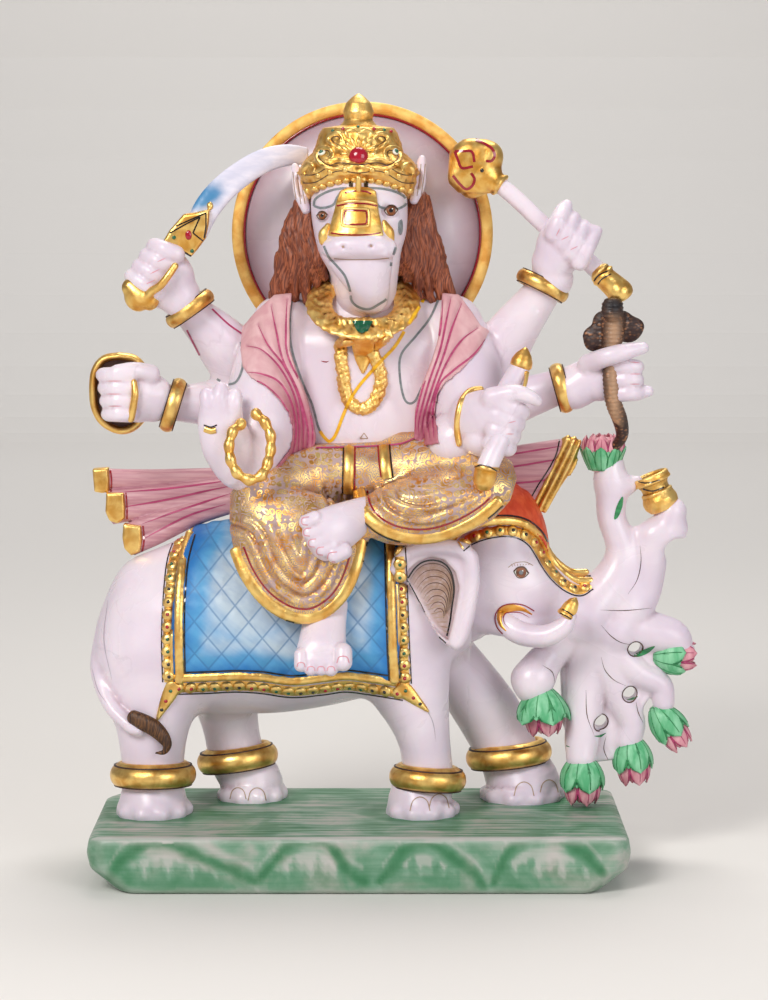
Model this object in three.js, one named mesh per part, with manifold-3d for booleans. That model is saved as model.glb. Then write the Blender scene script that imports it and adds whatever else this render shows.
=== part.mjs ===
// A painted marble carving: a six-armed, boar-faced rider sits on a seven-trunked elephant, and the
// whole group is cut from one block with the slab that it stands on.
// Millimetres, +Z up. +X is the viewer's right and -Y faces the viewer.
// The origin is the middle of the slab's underside.
import * as THREE from "three";
import { mergeVertices } from "three/addons/utils/BufferGeometryUtils.js";
import { LoftGeometry } from "three/addons/geometries/LoftGeometry.js";
import { SimplifyModifier } from "three/addons/modifiers/SimplifyModifier.js";
import Module from "manifold-3d";

// Driving dimensions
const PLINTH = { left: -208, right: 210, depth: 196, height: 43.5, underCut: 26 };
const BODY = { middle: 32, near: 0, far: 62, clothThickness: 6 };
const FAN = { middle: 34, thickness: 20, drillRadius: 5.6 };
const HALO = { x: 3, z: 500, radius: 104, front: 65, back: 79, rim: 5 };
const RIDER = { axis: 6, middle: 32, crownFoot: 530, crownRadius: 47 };
const ANKLET = { grow: 6.5, half: 8.5, tilt: 0.4 };
const BANGLE = { grow: 4, half: 5.5 };
const SCARF_THICKNESS = 11;
const MOST_FACETS = 9500;

const DEPTH_AXIS = new THREE.Vector3(0, 1, 0);
const UP_AXIS = new THREE.Vector3(0, 0, 1);

const wasm = await Module();
wasm.setup();

// A closed three.js geometry as a solid, with its faces turned out.
function solidOf(geometry) {
  const bare = geometry.index ? geometry.toNonIndexed() : geometry.clone();
  bare.deleteAttribute("normal");
  bare.deleteAttribute("uv");
  const merged = mergeVertices(bare, 1e-4);
  const vertProperties = new Float32Array(merged.attributes.position.array);
  const triVerts = new Uint32Array(merged.index.array);
  const made = new wasm.Manifold(new wasm.Mesh({ numProp: 3, vertProperties, triVerts }));
  if (made.volume() > 0) return made;
  for (let i = 0; i < triVerts.length; i += 3) {
    [triVerts[i + 1], triVerts[i + 2]] = [triVerts[i + 2], triVerts[i + 1]];
  }
  return new wasm.Manifold(new wasm.Mesh({ numProp: 3, vertProperties, triVerts }));
}

// Rotation that carries +Z onto a direction.
function turnTo(direction) {
  const aim = new THREE.Vector3(...direction).normalize();
  return new THREE.Quaternion().setFromUnitVectors(UP_AXIS, aim);
}

// An ellipsoid; tilt turns it in the picture plane, in degrees.
function ball([x, y, z], [rx, ry, rz], { tilt = 0, detail = 10 } = {}) {
  const shape = new THREE.SphereGeometry(1, detail, Math.round(detail * 0.67));
  shape.rotateX(Math.PI / 2).scale(rx, ry, rz).rotateY(THREE.MathUtils.degToRad(tilt));
  return solidOf(shape.translate(x, y, z));
}

// A limb through stations [x, y, z, half width, half depth]. Half width lies square to the reference
// axis, and half depth lies along it. The ends are rounded unless told otherwise, and facing keeps
// every section square to one direction.
function limb(stations, options = {}) {
  const { sides = 8, steps = 1, reference = DEPTH_AXIS, roundEnds = true, facing = null } = options;
  const centres = stations.map((s) => new THREE.Vector3(s[0], s[1], s[2]));
  const line = new THREE.CatmullRomCurve3(centres, false, "centripetal");
  const spans = stations.length - 1;
  const rings = [];
  for (let i = 0; i <= spans * steps; i++) {
    const t = i / steps;
    const from = Math.min(Math.floor(t), spans - 1);
    const share = t - from;
    const ease = share * share * (3 - 2 * share);
    const [, , , w0, d0 = w0] = stations[from];
    const [, , , w1, d1 = w1] = stations[from + 1];
    rings.push({
      centre: line.getPoint(t / spans),
      along: facing ?? line.getTangent(t / spans),
      width: THREE.MathUtils.lerp(w0, w1, ease),
      depth: THREE.MathUtils.lerp(d0, d1, ease),
    });
  }
  if (roundEnds) addRoundEnds(rings);
  const sections = rings.map(({ centre, along, width, depth }) => {
    const side = new THREE.Vector3().crossVectors(along, reference).normalize();
    const deep = new THREE.Vector3().crossVectors(along, side).normalize();
    return Array.from({ length: sides }, (_, k) => {
      const a = (2 * Math.PI * (k + 0.5)) / sides;
      const across = side.clone().multiplyScalar(width * Math.cos(a));
      return across.addScaledVector(deep, depth * Math.sin(a)).add(centre);
    });
  });
  return solidOf(new LoftGeometry(sections, { capStart: true, capEnd: true }));
}

// One shrunken ring past each end of a limb.
function addRoundEnds(rings) {
  const slope = THREE.MathUtils.degToRad(52);
  const past = (end, sign) => ({
    centre: end.centre
      .clone()
      .addScaledVector(end.along, sign * Math.min(end.width, end.depth) * Math.sin(slope)),
    along: end.along,
    width: end.width * Math.cos(slope),
    depth: end.depth * Math.cos(slope),
  });
  const [head, tail] = [past(rings[0], -1), past(rings[rings.length - 1], 1)];
  rings.unshift(head);
  rings.push(tail);
}

// Stations that swell a limb into a ring around it.
function band([x, y, z], direction, limbRadius, { grow, half }) {
  const aim = new THREE.Vector3(...direction).normalize();
  const profile = [
    [-half, 0],
    [-half * 0.55, grow],
    [half * 0.55, grow],
    [half, 0],
  ];
  return profile.map(([along, extra]) => {
    const at = aim.clone().multiplyScalar(along).add(new THREE.Vector3(x, y, z));
    return [at.x, at.y, at.z, limbRadius + extra, limbRadius + extra];
  });
}

// A plate whose outline [[x, z], ...] lies in the picture plane, between two depths.
function plate(outline, front, back, bevel = 2) {
  const shape = new THREE.Shape(outline.map(([x, z]) => new THREE.Vector2(x, z)));
  const geometry = new THREE.ExtrudeGeometry(shape, {
    depth: back - front - 2 * bevel,
    bevelThickness: bevel,
    bevelSize: bevel,
    bevelOffset: -bevel,
    bevelSegments: 1,
  });
  return solidOf(geometry.translate(0, 0, bevel - (back - front)).rotateX(Math.PI / 2).translate(0, front, 0));
}

// A ring of round section about an axis.
function ring([x, y, z], axis, radius, thickness, { segments = 12, sides = 5 } = {}) {
  const shape = new THREE.TorusGeometry(radius, thickness, sides, segments);
  return solidOf(shape.applyQuaternion(turnTo(axis)).translate(x, y, z));
}

// A turned form with profile [[radius, height], ...] that rises from a foot along an axis.
function turned([x, y, z], axis, profile, segments = 8) {
  const points = profile.map(([r, h]) => new THREE.Vector2(r, h));
  const shape = new THREE.LatheGeometry(points, segments).rotateX(Math.PI / 2);
  return solidOf(shape.applyQuaternion(turnTo(axis)).translate(x, y, z));
}

// A closed fist: four fingers side by side along what it grips.
function fist(at, grip, size) {
  const centre = new THREE.Vector3(...at);
  const gripped = new THREE.Vector3(...grip).normalize();
  const pitch = size * 0.46;
  const stations = [];
  for (let finger = 0; finger < 4; finger++) {
    const knuckle = size * (0.98 - 0.08 * Math.abs(finger - 1.2));
    const middle = centre.clone().addScaledVector(gripped, (finger - 1.5) * pitch);
    stations.push([...middle, knuckle, knuckle * 0.82]);
    if (finger === 3) break;
    const groove = middle.addScaledVector(gripped, pitch / 2);
    stations.push([...groove, knuckle * 0.84, knuckle * 0.7]);
  }
  return limb(stations, { sides: 7 });
}

// The slab, with its ends and lower edge cut back.
function plinth() {
  const { left, right, depth, height, underCut } = PLINTH;
  const half = depth / 2;
  const levels = [
    [0, underCut, 10],
    [height * 0.42, 3, 9],
    [height * 0.7, 0, 9],
    [height - 2, 2, 10],
    [height, 5, 11],
  ];
  const sections = levels.map(([z, inset, cut]) => {
    const outline = [
      [left + inset + cut, -half],
      [right - inset - cut, -half],
      [right - inset, -half + cut],
      [right - inset, half - cut],
      [right - inset - cut, half],
      [left + inset + cut + 12, half],
      [left + inset, half - cut - 26],
      [left + inset, -half + cut],
    ];
    return outline.map(([x, y]) => new THREE.Vector3(x, y, z));
  });
  return [solidOf(new LoftGeometry(sections, { capStart: true, capEnd: true }))];
}

// The elephant's barrel from rump to shoulder; the cloth is the same form grown outwards.
function barrel(grow) {
  const stations = [
    [-211, 164, 16, 14],
    [-204, 167, 40, 33],
    [-188, 173, 64, 48],
    [-160, 183, 68, 58],
    [-118, 192, 74, 64],
    [-60, 196, 77, 67],
    [0, 205, 75, 66],
    [48, 212, 64, 58],
    [84, 216, 45, 44],
  ];
  return limb(
    stations.map(([x, z, high, deep]) => [x, BODY.middle, z, high + grow, deep + grow]),
    { sides: 18, roundEnds: false, facing: new THREE.Vector3(1, 0, 0) },
  );
}

// A leg from hip to sole, with the ring above its foot.
function elephantLeg({ hip, knee, ankle, foot }) {
  const [ax, az, ankleRadius] = ankle;
  const [fx, fy, footRadius] = foot;
  const lean = [(fx - ax) * ANKLET.tilt, 0, PLINTH.height - az];
  return limb(
    [
      hip,
      knee,
      ...band([ax, fy, az], lean, ankleRadius, ANKLET),
      [fx, fy - 1, 57, footRadius - 1.5, footRadius],
      [fx, fy - 2, 48, footRadius + 1.5, footRadius + 3],
      [fx, fy - 2, 40, footRadius + 1.5, footRadius + 3],
    ],
    { sides: 12, roundEnds: false },
  );
}

const { near, far } = BODY;
const LEGS = [
  { hip: [-158, 6, 164, 46, 34], knee: [-163, near, 110, 31], ankle: [-164, 74, 26], foot: [-163, near, 31] },
  { hip: [-112, 56, 150, 32, 30], knee: [-105, far, 104, 24.5], ankle: [-99, 75, 25], foot: [-88, far, 29] },
  { hip: [30, 8, 176, 46, 34], knee: [48, near, 112, 25], ankle: [55, 71, 22.5], foot: [50, near, 29] },
  { hip: [60, 54, 176, 22, 32], knee: [104, far, 114, 28], ankle: [123, 78, 27], foot: [134, far, 36] },
];

function elephantBody() {
  const { middle } = BODY;
  const tail = [
    [-206, middle - 10, 186, 7],
    [-207, 0, 152, 6],
    [-190, -22, 128, 6],
    [-171, -31, 115, 7],
    [-156, -33, 100, 6],
    [-158, -32, 88, 3],
  ];
  return [barrel(0), ...LEGS.map(elephantLeg), limb(tail, { sides: 6 })];
}

function elephantHead() {
  const { middle } = BODY;
  const ear = [
    [26, 240],
    [36, 255],
    [57, 264],
    [76, 260],
    [85, 250],
    [86, 214],
    [80, 186],
    [73, 178],
    [54, 202],
    [38, 230],
  ];
  const tusk = [
    [114, -6, 199, 9],
    [128, -12, 190, 9.5],
    [147, -16, 191, 9],
    [161, -18, 204, 6],
    [165, -17, 213, 3],
  ];
  return [
    limb(
      [
        [56, middle, 210, 46, 46],
        [96, middle, 222, 42, 43],
        [128, middle, 216, 36, 40],
        [158, middle + 1, 203, 29, 30],
        [182, middle + 2, 194, 26, 22],
      ],
      { sides: 12 },
    ),
    ball([109, middle, 244], [40, 44, 58], { tilt: -8, detail: 14 }),
    plate(ear, -32, -12, 4),
    plate(ear, middle + 46, middle + 60, 4),
    limb(tusk, { sides: 7 }),
  ];
}

// The seven trunks in viewing order, from the upright one round to the one by the foreleg: each run
// as [x, z, radius], then the bud at its tip as { at, aim, length, width } in the picture plane.
const TRUNKS = [
  { run: [[182, 196, 26], [204, 226, 17], [208, 250, 11.5], [201, 275, 11], [199, 300, 10.5], [199, 318, 10]] },
  { run: [[206, 186, 22], [228, 212, 13], [233, 236, 13], [235, 256, 13], [246, 268, 13], [250, 280, 12]] },
  {
    run: [[192, 186, 20], [227, 188, 12], [254, 180, 12], [261, 164, 10]],
    bud: { at: [240, 164], aim: [30, -4], length: 32, width: 14 },
  },
  {
    run: [[196, 172, 18], [224, 150, 12], [242, 140, 10], [245, 126, 9]],
    bud: { at: [241, 124], aim: [17, -32], length: 36, width: 13 },
  },
  {
    run: [[196, 160, 18], [214, 126, 13], [224, 108, 11], [222, 95, 10]],
    bud: { at: [222, 98], aim: [3, -34], length: 34, width: 16 },
  },
  {
    run: [[184, 172, 18], [182, 134, 15], [179, 100, 14], [178, 84, 12]],
    bud: { at: [178, 84], aim: [1, -38], length: 39, width: 17 },
    forward: 14,
  },
  {
    run: [[174, 180, 17], [150, 164, 15], [146, 150, 15], [149, 138, 12]],
    bud: { at: [149, 139], aim: [-1, -38], length: 37, width: 17 },
    forward: 14,
  },
];

function trunks() {
  const y = FAN.middle;
  const web = [
    [172, 204], [212, 206], [244, 196], [256, 176], [240, 140], [224, 114], [214, 80], [180, 76], [164, 108], [162, 150],
  ];
  const parts = [plate(web, y - FAN.thickness / 2, y + FAN.thickness / 2, 3)];
  for (const { run, bud, forward = 0 } of TRUNKS) {
    const last = run.length - 1;
    const stations = run.map(([x, z, r], k) => [x, y - (forward * k) / last, z, r, r]);
    parts.push(limb(stations));
    if (!bud) continue;
    const profile = [
      [0, -2],
      [bud.width * 0.72, 0],
      [bud.width, bud.length * 0.28],
      [bud.width * 0.88, bud.length * 0.7],
      [bud.width * 0.4, bud.length],
      [0, bud.length],
    ];
    const [dx, dz] = bud.aim;
    parts.push(turned([bud.at[0], y - forward, bud.at[1]], [dx, 0, dz], profile));
  }
  const cup = [[0, -2], [11, 0], [15, 8], [18.5, 20], [16, 23], [0, 23]];
  const vessel = [[0, -2], [11, 0], [13, 7], [8.5, 16], [14, 21], [14, 26], [0, 26]];
  parts.push(turned([198, y, 315], [0, 0, 1], cup, 10));
  parts.push(turned([244, y, 283], [-0.3, 0, 1], vessel));
  return parts;
}

// The through holes that part the trunks, one of them between foreleg and fan.
function drillHoles() {
  const places = [[221, 171], [217, 134], [194, 111], [151, 101]];
  return places.map(([x, z]) => {
    const bit = new THREE.CylinderGeometry(FAN.drillRadius, FAN.drillRadius, 160, 10);
    return solidOf(bit.translate(x, FAN.middle, z));
  });
}

// The saddle cloth and the head cloth follow the body beneath, cut to their outlines.
function cloths() {
  const { middle, clothThickness } = BODY;
  const saddle = [
    [-136, 290], [-147, 142], [-158, 121], [-134, 134], [-50, 139], [20, 137], [52, 133], [43, 150], [34, 290],
  ];
  const cap = [
    [70, 330], [70, 258], [92, 266], [124, 264], [142, 250], [160, 224], [178, 205], [190, 214], [190, 330],
  ];
  const headForm = [
    [70, middle, 244, 60, 46],
    [100, middle, 252, 56, 48],
    [122, middle, 240, 30, 46],
    [146, middle + 1, 208, 25, 36],
    [184, middle + 2, 199, 18, 18],
  ];
  const across = (outline) => plate(outline, -70, 160, 1);
  return [
    barrel(clothThickness).intersect(across(saddle)),
    limb(headForm, { sides: 14 }).intersect(across(cap)),
  ];
}

function torso() {
  const { axis, middle } = RIDER;
  const scarf = (side, at) =>
    limb(
      [
        [axis + side * 58, 24, 446, 16, 14],
        [axis + side * at, 8, 406, 15, 17],
        [axis + side * (at - 16), -4, 366, 12, 12],
        [axis + side * (at - 24), -8, 334, 13, 12],
      ],
      { sides: 7 },
    );
  const chain = [
    [-19, -2, 430, 6],
    [-15, -10, 396, 6],
    [-9, -10, 374, 6],
    [7, -8, 364, 6],
    [19, -9, 376, 6],
    [23, -9, 398, 6],
    [25, -2, 430, 6],
  ];
  return [
    limb(
      [
        [axis, middle - 4, 318, 44, 36],
        [axis, middle, 345, 39, 32],
        [axis, middle, 380, 48, 35],
        [axis, middle + 1, 412, 60, 37],
        [axis - 1, middle + 3, 438, 58, 32],
        [axis - 3, middle + 2, 460, 28, 26],
      ],
      { sides: 12 },
    ),
    ball([-57, 36, 424], [25, 26, 27]),
    ball([70, 36, 424], [25, 26, 27]),
    scarf(-1, 64),
    scarf(1, 66),
    ring([5, 4, 447], [0, -0.62, 1], 38, 8.5, { segments: 14 }),
    limb(chain, { sides: 5 }),
  ];
}

function head() {
  const { middle, crownFoot, crownRadius } = RIDER;
  const crown = [
    [0, 0],
    [crownRadius - 3, 0],
    [crownRadius, 6],
    [crownRadius - 2, 36],
    [30, 47],
    [22, 53],
    [12, 58],
    [12, 66],
    [9, 74],
    [0, 80],
  ];
  const ear = [
    [38, 520],
    [47, 526],
    [55, 556],
    [46, 560],
    [38, 545],
  ];
  const mirrored = ear.map(([x, z]) => [-x, z]).reverse();
  const lock = (side) =>
    limb(
      [
        [side * 36, middle + 2, 538, 12, 22],
        [side * 44, middle + 4, 502, 14, 24],
        [side * 50, middle + 4, 472, 18, 24],
        [side * 54, middle + 2, 456, 18, 20],
      ],
      { sides: 8 },
    );
  return [
    limb(
      [
        [0, 20, 540, 36, 34],
        [0, 6, 518, 36, 34],
        [0, -10, 496, 32, 28],
        [0, -14, 478, 30, 22],
        [1, -4, 460, 27, 22],
        [3, 10, 444, 24, 24],
      ],
      { sides: 12 },
    ),
    ball([0, -30, 489], [30, 11, 12]),
    limb([[0, -16, 536, 12, 8], [0, -25, 520, 20, 10], [0, -31, 506, 24, 9]], { sides: 7 }),
    turned([0, 20, crownFoot], [0, 0, 1], crown, 14),
    plate(ear, 8, 22, 2),
    plate(mirrored, 8, 22, 2),
    lock(-1),
    lock(1),
  ];
}

function halo() {
  const { x, z, radius, front, back, rim } = HALO;
  const disc = new THREE.CylinderGeometry(radius - rim, radius - rim, back - front, 36);
  const middle = (front + back) / 2;
  return [
    solidOf(disc.translate(x, middle, z)),
    ring([x, middle, z], [0, 1, 0], radius - rim, rim + 2, { segments: 36 }),
  ];
}

// An arm from shoulder to fist, with a bangle at its wrist.
function raisedArm({ run, wrist, wristRadius, hand, grip, size }) {
  const before = run[run.length - 1];
  const along = [wrist[0] - before[0], wrist[1] - before[1], wrist[2] - before[2]];
  const stations = [...run, ...band(wrist, along, wristRadius, BANGLE), [...hand, size * 0.72, size * 0.66]];
  return [limb(stations), fist(hand, grip, size)];
}

const RAISED_ARMS = [
  {
    run: [[-58, 42, 384, 27, 25], [-92, 38, 398, 24, 22], [-116, 30, 424, 18.5, 18]],
    wrist: [-133, 20, 442], wristRadius: 15, hand: [-153, 6, 470], grip: [-0.62, 0, -0.78], size: 21,
  },
  {
    run: [[-62, 42, 372, 21, 22], [-98, 36, 367, 17, 17], [-124, 28, 367, 15, 15]],
    wrist: [-146, 20, 368], wristRadius: 15, hand: [-184, 4, 376], grip: [0, 0, 1], size: 19,
  },
  {
    run: [[72, 42, 376, 27, 25], [102, 38, 398, 24, 22], [130, 30, 434, 18.5, 18]],
    wrist: [146, 20, 457], wristRadius: 15, hand: [163, 8, 490], grip: [0.78, 0, -0.62], size: 23,
  },
  {
    run: [[76, 42, 362, 21, 22], [114, 36, 364, 17, 17], [140, 28, 374, 15, 15]],
    wrist: [160, 20, 381], wristRadius: 13, hand: [208, 4, 391], grip: [0, 0, 1], size: 19,
  },
];

// The front pair come forward over the thighs.
function frontArms() {
  const rosary = [
    [-98, -64, 366, 3.4],
    [-103, -70, 340, 3.4],
    [-98, -72, 320, 3.4],
    [-86, -72, 313, 3.4],
    [-76, -71, 330, 3.4],
    [-76, -64, 356, 3.4],
    [-84, -60, 374, 3.4],
  ];
  return [
    limb([[-62, 30, 426, 25], [-74, 6, 388, 27], [-82, -14, 350, 26], [-86, -24, 336, 22]]),
    limb([[-88, -28, 334, 18], [-94, -44, 328, 18, 14], [-98, -52, 352, 24, 14], [-100, -54, 372, 19, 10]]),
    limb([[74, 30, 426, 25], [86, 8, 388, 27], [82, -14, 352, 25], [74, -22, 342, 22]]),
    limb([
      [68, -20, 346, 19],
      ...band([82, -33, 356], [0.8, -0.58, 0.2], 18, BANGLE),
      [102, -48, 363, 20],
      [116, -54, 358, 20, 16],
    ]),
    fist([116, -56, 357], [0.25, 0, 1], 18),
    limb([[122, -64, 374, 5], [132, -64, 377, 5], [141, -62, 379, 4]], { sides: 5 }),
    limb(rosary, { sides: 5 }),
    // Fingers raised from the two right hands behind
    limb([[148, 6, 492, 7], [156, 4, 512, 5.5], [159, 4, 521, 4.5]], { sides: 6 }),
    limb([[168, 4, 494, 7], [182, 2, 502, 5.5], [187, 2, 506, 4.5]], { sides: 6 }),
    limb([[205, 0, 405, 6], [219, -2, 410, 5.5], [226, -2, 411, 5]], { sides: 6 }),
    limb([[206, 0, 376, 7], [220, -2, 376, 6.5], [229, -2, 376, 4.5]], { sides: 6 }),
  ];
}

function attributes() {
  const blade = [
    [-136, 6, 490, 12, 5],
    [-120, 12, 516, 10.5, 4],
    [-101, 22, 540, 10, 4],
    [-78, 34, 555, 9, 5],
    [-44, 44, 560, 8, 9],
  ];
  const hilt = [
    [-171, 0, 452, 9, 7],
    [-160, 4, 463, 6],
    [-142, 6, 484, 8, 6],
    [-124, 10, 508, 14, 7],
  ];
  const cobra = [
    [202, 8, 452, 6, 7],
    [203, 8, 438, 15, 7],
    [203, 8, 420, 14, 7],
    [204, 10, 398, 7, 7],
    [207, 14, 372, 7, 7],
    [211, 26, 350, 6, 6],
    [206, 32, 334, 7, 7],
  ];
  const knob = [[0, 0], [9, 0], [10, 8], [5, 18], [0, 20]];
  return [
    limb(blade, { sides: 6 }),
    limb(hilt, { sides: 6 }),
    limb([[-172, -8, 454, 5], [-158, -19, 466, 5], [-146, -14, 480, 5], [-136, 2, 488, 5]], { sides: 5 }),
    // Small round drum behind the middle left fist
    turned([-186, 22, 377], [0, -1, 0], [[0, 0], [24, 0], [28, 5], [24, 10], [0, 10]], 14),
    // Mace with its lobed head against the halo
    limb([[106, 28, 546, 7.5], [146, 14, 511, 7.5], [192, 5, 466, 8]], { sides: 7, roundEnds: false }),
    ball([92, 34, 557], [21, 20, 21]),
    turned([190, 6, 469], [0.72, 0, -0.66], [[0, 0], [10, 0], [11, 8], [8, 16], [0, 17]]),
    // Cobra from its hood, through the hand, to the flower that holds its tail
    limb(cobra, { sides: 7 }),
    // Short mace in the lower right fist
    limb([[122, -44, 400, 4], [112, -56, 360, 4], [99, -62, 326, 6]], { sides: 6 }),
    turned([121, -44, 394], [0.2, 0, 1], knob),
    turned([101, -62, 334], [-0.15, 0, -1], knob),
  ];
}

function drapery() {
  const [scarfFront, scarfBack] = [40 - SCARF_THICKNESS / 2, 40 + SCARF_THICKNESS / 2];
  const pleat = ({ end, root, depth }) => {
    const [x, top, foot] = end;
    const outline = [[-70, root[1]], [-70, root[0]], [x, top], [x, foot]];
    return plate(outline.reverse(), depth, depth + SCARF_THICKNESS, 2);
  };
  const sash = [
    [112, 296], [118, 322], [176, 338], [200, 334], [184, 318], [156, 276], [146, 284], [128, 296],
  ];
  return [
    // Hips, the hanging leg and the folded leg in their wrapped cloth
    ball([4, 16, 314], [70, 44, 30]),
    limb([[-40, 4, 312, 34, 32], [-70, -24, 298, 30, 30], [-62, -44, 262, 38, 24], [-46, -52, 232, 34, 18]], {
      sides: 10,
    }),
    ball([-46, -46, 256], [49, 26, 50], { tilt: -14 }),
    limb([[36, 2, 312, 34, 30], [84, -20, 310, 34, 28], [108, -30, 304, 26, 24]], { sides: 10, reference: UP_AXIS }),
    ball([56, -42, 294], [62, 28, 27], { tilt: -14 }),
    limb([[10, -58, 290, 16], [-18, -70, 276, 15, 13], [-38, -76, 266, 18, 10]]),
    limb([[-30, -58, 214, 14], [-27, -64, 196, 15, 13], [-27, -70, 180, 22, 9]]),
    plate([[-12, 300], [30, 300], [30, 340], [-12, 340]], -34, 0, 2),
    pleat({ end: [-213, 314, 297], root: [314, 303], depth: 46 }),
    pleat({ end: [-203, 299, 270], root: [306, 290], depth: 41 }),
    pleat({ end: [-187, 272, 245], root: [296, 284], depth: 36 }),
    plate(sash, scarfFront, scarfBack, 2),
    // The block left behind the knees ties the rider to the cloth beneath
    ball([0, 24, 282], [92, 40, 26]),
  ];
}

const everything = [
  ...plinth(),
  ...elephantBody(),
  ...elephantHead(),
  ...trunks(),
  ...cloths(),
  ...torso(),
  ...head(),
  ...halo(),
  ...RAISED_ARMS.flatMap(raisedArm),
  ...frontArms(),
  ...attributes(),
  ...drapery(),
];
const block = wasm.Manifold.union(everything);
const carved = block.subtract(wasm.Manifold.union(drillHoles()));

// The solid back as a three.js geometry, with its smallest facets merged.
async function geometryOf(solid) {
  const mesh = solid.getMesh();
  const positions = new Float32Array(mesh.numVert * 3);
  for (let i = 0; i < mesh.numVert; i++) {
    positions.set(mesh.vertProperties.subarray(i * mesh.numProp, i * mesh.numProp + 3), i * 3);
  }
  const geometry = new THREE.BufferGeometry();
  geometry.setAttribute("position", new THREE.BufferAttribute(positions, 3));
  geometry.setIndex(new THREE.BufferAttribute(mesh.triVerts, 1));
  const surplus = Math.max(0, Math.ceil((mesh.numTri - MOST_FACETS) / 2));
  const merged = mergeVertices(await new SimplifyModifier().modify(geometry, surplus));
  merged.computeVertexNormals();
  return merged;
}

const marble = new THREE.MeshStandardMaterial({ color: 0xe3d5da, roughness: 0.35, metalness: 0 });
const figure = new THREE.Mesh(await geometryOf(carved), marble);
figure.name = "carved_marble_group";

const group = new THREE.Group();
group.add(figure);
export default group;
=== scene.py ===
"""Looks of a painted marble carving: a six-armed, boar-faced rider on a seven-trunked elephant.

Sizes are in millimetres until a piece is made, +Z is up and -Y faces the viewer, as in the solid
model. Carved forms are modelled as distance fields and skinned; painted lines, hems and beads are
drawn from the viewpoint onto the carved surface.
"""

import logging
import math
from collections.abc import Callable, Sequence
from dataclasses import dataclass, field
from enum import Enum

import bpy
import numpy as np
from mathutils import Euler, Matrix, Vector
from mathutils.bvhtree import BVHTree
from mathutils.geometry import delaunay_2d_cdt


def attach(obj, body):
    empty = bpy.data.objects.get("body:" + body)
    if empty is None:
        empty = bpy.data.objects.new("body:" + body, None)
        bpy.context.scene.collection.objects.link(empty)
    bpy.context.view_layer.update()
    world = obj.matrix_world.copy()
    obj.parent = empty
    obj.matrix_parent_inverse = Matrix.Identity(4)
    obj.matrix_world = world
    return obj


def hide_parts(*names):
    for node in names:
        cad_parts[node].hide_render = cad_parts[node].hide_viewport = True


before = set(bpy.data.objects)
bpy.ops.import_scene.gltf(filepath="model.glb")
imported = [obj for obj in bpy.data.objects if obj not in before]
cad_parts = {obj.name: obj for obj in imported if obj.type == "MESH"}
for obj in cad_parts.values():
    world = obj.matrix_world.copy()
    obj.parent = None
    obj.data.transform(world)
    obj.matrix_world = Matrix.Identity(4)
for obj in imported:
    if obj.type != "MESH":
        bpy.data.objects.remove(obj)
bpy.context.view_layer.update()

LOG = logging.getLogger("marble_group")
MM = 0.001
CARVED_NODE = "carved_marble_group"
FAR = 60.0
TINY = 1e-6
NEARLY_NONE = 1e-3
UP = (0.0, 0.0, 1.0)
DEPTH = (0.0, 1.0, 0.0)
Array = np.ndarray
Point = tuple[float, float, float]
Flat = tuple[float, float]
Plug = bpy.types.NodeSocket | float | tuple


# Forms


def unit(vector: Sequence[float]) -> Array:
    """Returns the vector at length one."""
    made = np.asarray(vector, dtype=float)
    return made / np.linalg.norm(made)


def run_along(line: Array) -> Array:
    """Returns how far each point of a line lies along it."""
    return np.concatenate([[0.0], np.cumsum(np.linalg.norm(np.diff(line, axis=0), axis=1))])


def circle(u: float, v: float, radius: float, count: int) -> list[Flat]:
    """Returns points evenly round a circle.

    Args:
        u: the middle's first measure.
        v: its second.
        radius: its radius.
        count: how many points there are.

    Returns:
        The points.
    """
    return [(
        u + radius * math.cos(a), v + radius * math.sin(a),
    ) for a in np.linspace(0, 2 * math.pi, count + 1)[:-1]]


def oval_gap(gap: Array, stretch: Array) -> Array:
    """Returns about how far points lie outside an oval.

    Args:
        gap: their distances from its middle.
        stretch: the same as shares of its radius that way.

    Returns:
        The distance at each point, less than nothing inside.
    """
    return gap * (1 - 1 / np.maximum(stretch, NEARLY_NONE))


def smooth_line(points: Sequence[Sequence[float]], steps: int, closed: bool = False) -> Array:
    """Runs a Catmull-Rom curve through points of any width.

    Args:
        points: rows of coordinates, radii or both.
        steps: samples for each span.
        closed: whether the last point joins the first.

    Returns:
        The sampled rows.
    """
    rows = np.asarray(points, dtype=float)
    count = len(rows)
    if count < 3 and not closed:
        share = np.linspace(0.0, 1.0, steps * (count - 1) + 1)[:, None]
        return rows[0] + share * (rows[-1] - rows[0])
    spans = count if closed else count - 1
    out = []
    for i in range(spans):
        if closed:
            p0, p1, p2, p3 = (rows[(i + k) % count] for k in (-1, 0, 1, 2))
        else:
            p1, p2 = rows[i], rows[i + 1]
            p0 = rows[i - 1] if i > 0 else 2 * p1 - p2
            p3 = rows[i + 2] if i + 2 < count else 2 * p2 - p1
        for t in np.arange(steps) / steps:
            out.append(
                0.5
                * (
                    2 * p1
                    + (p2 - p0) * t
                    + (2 * p0 - 5 * p1 + 4 * p2 - p3) * t * t
                    + (3 * p1 - p0 - 3 * p2 + p3) * t**3
                )
            )
    if not closed:
        out.append(rows[-1])
    return np.array(out)


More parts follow.
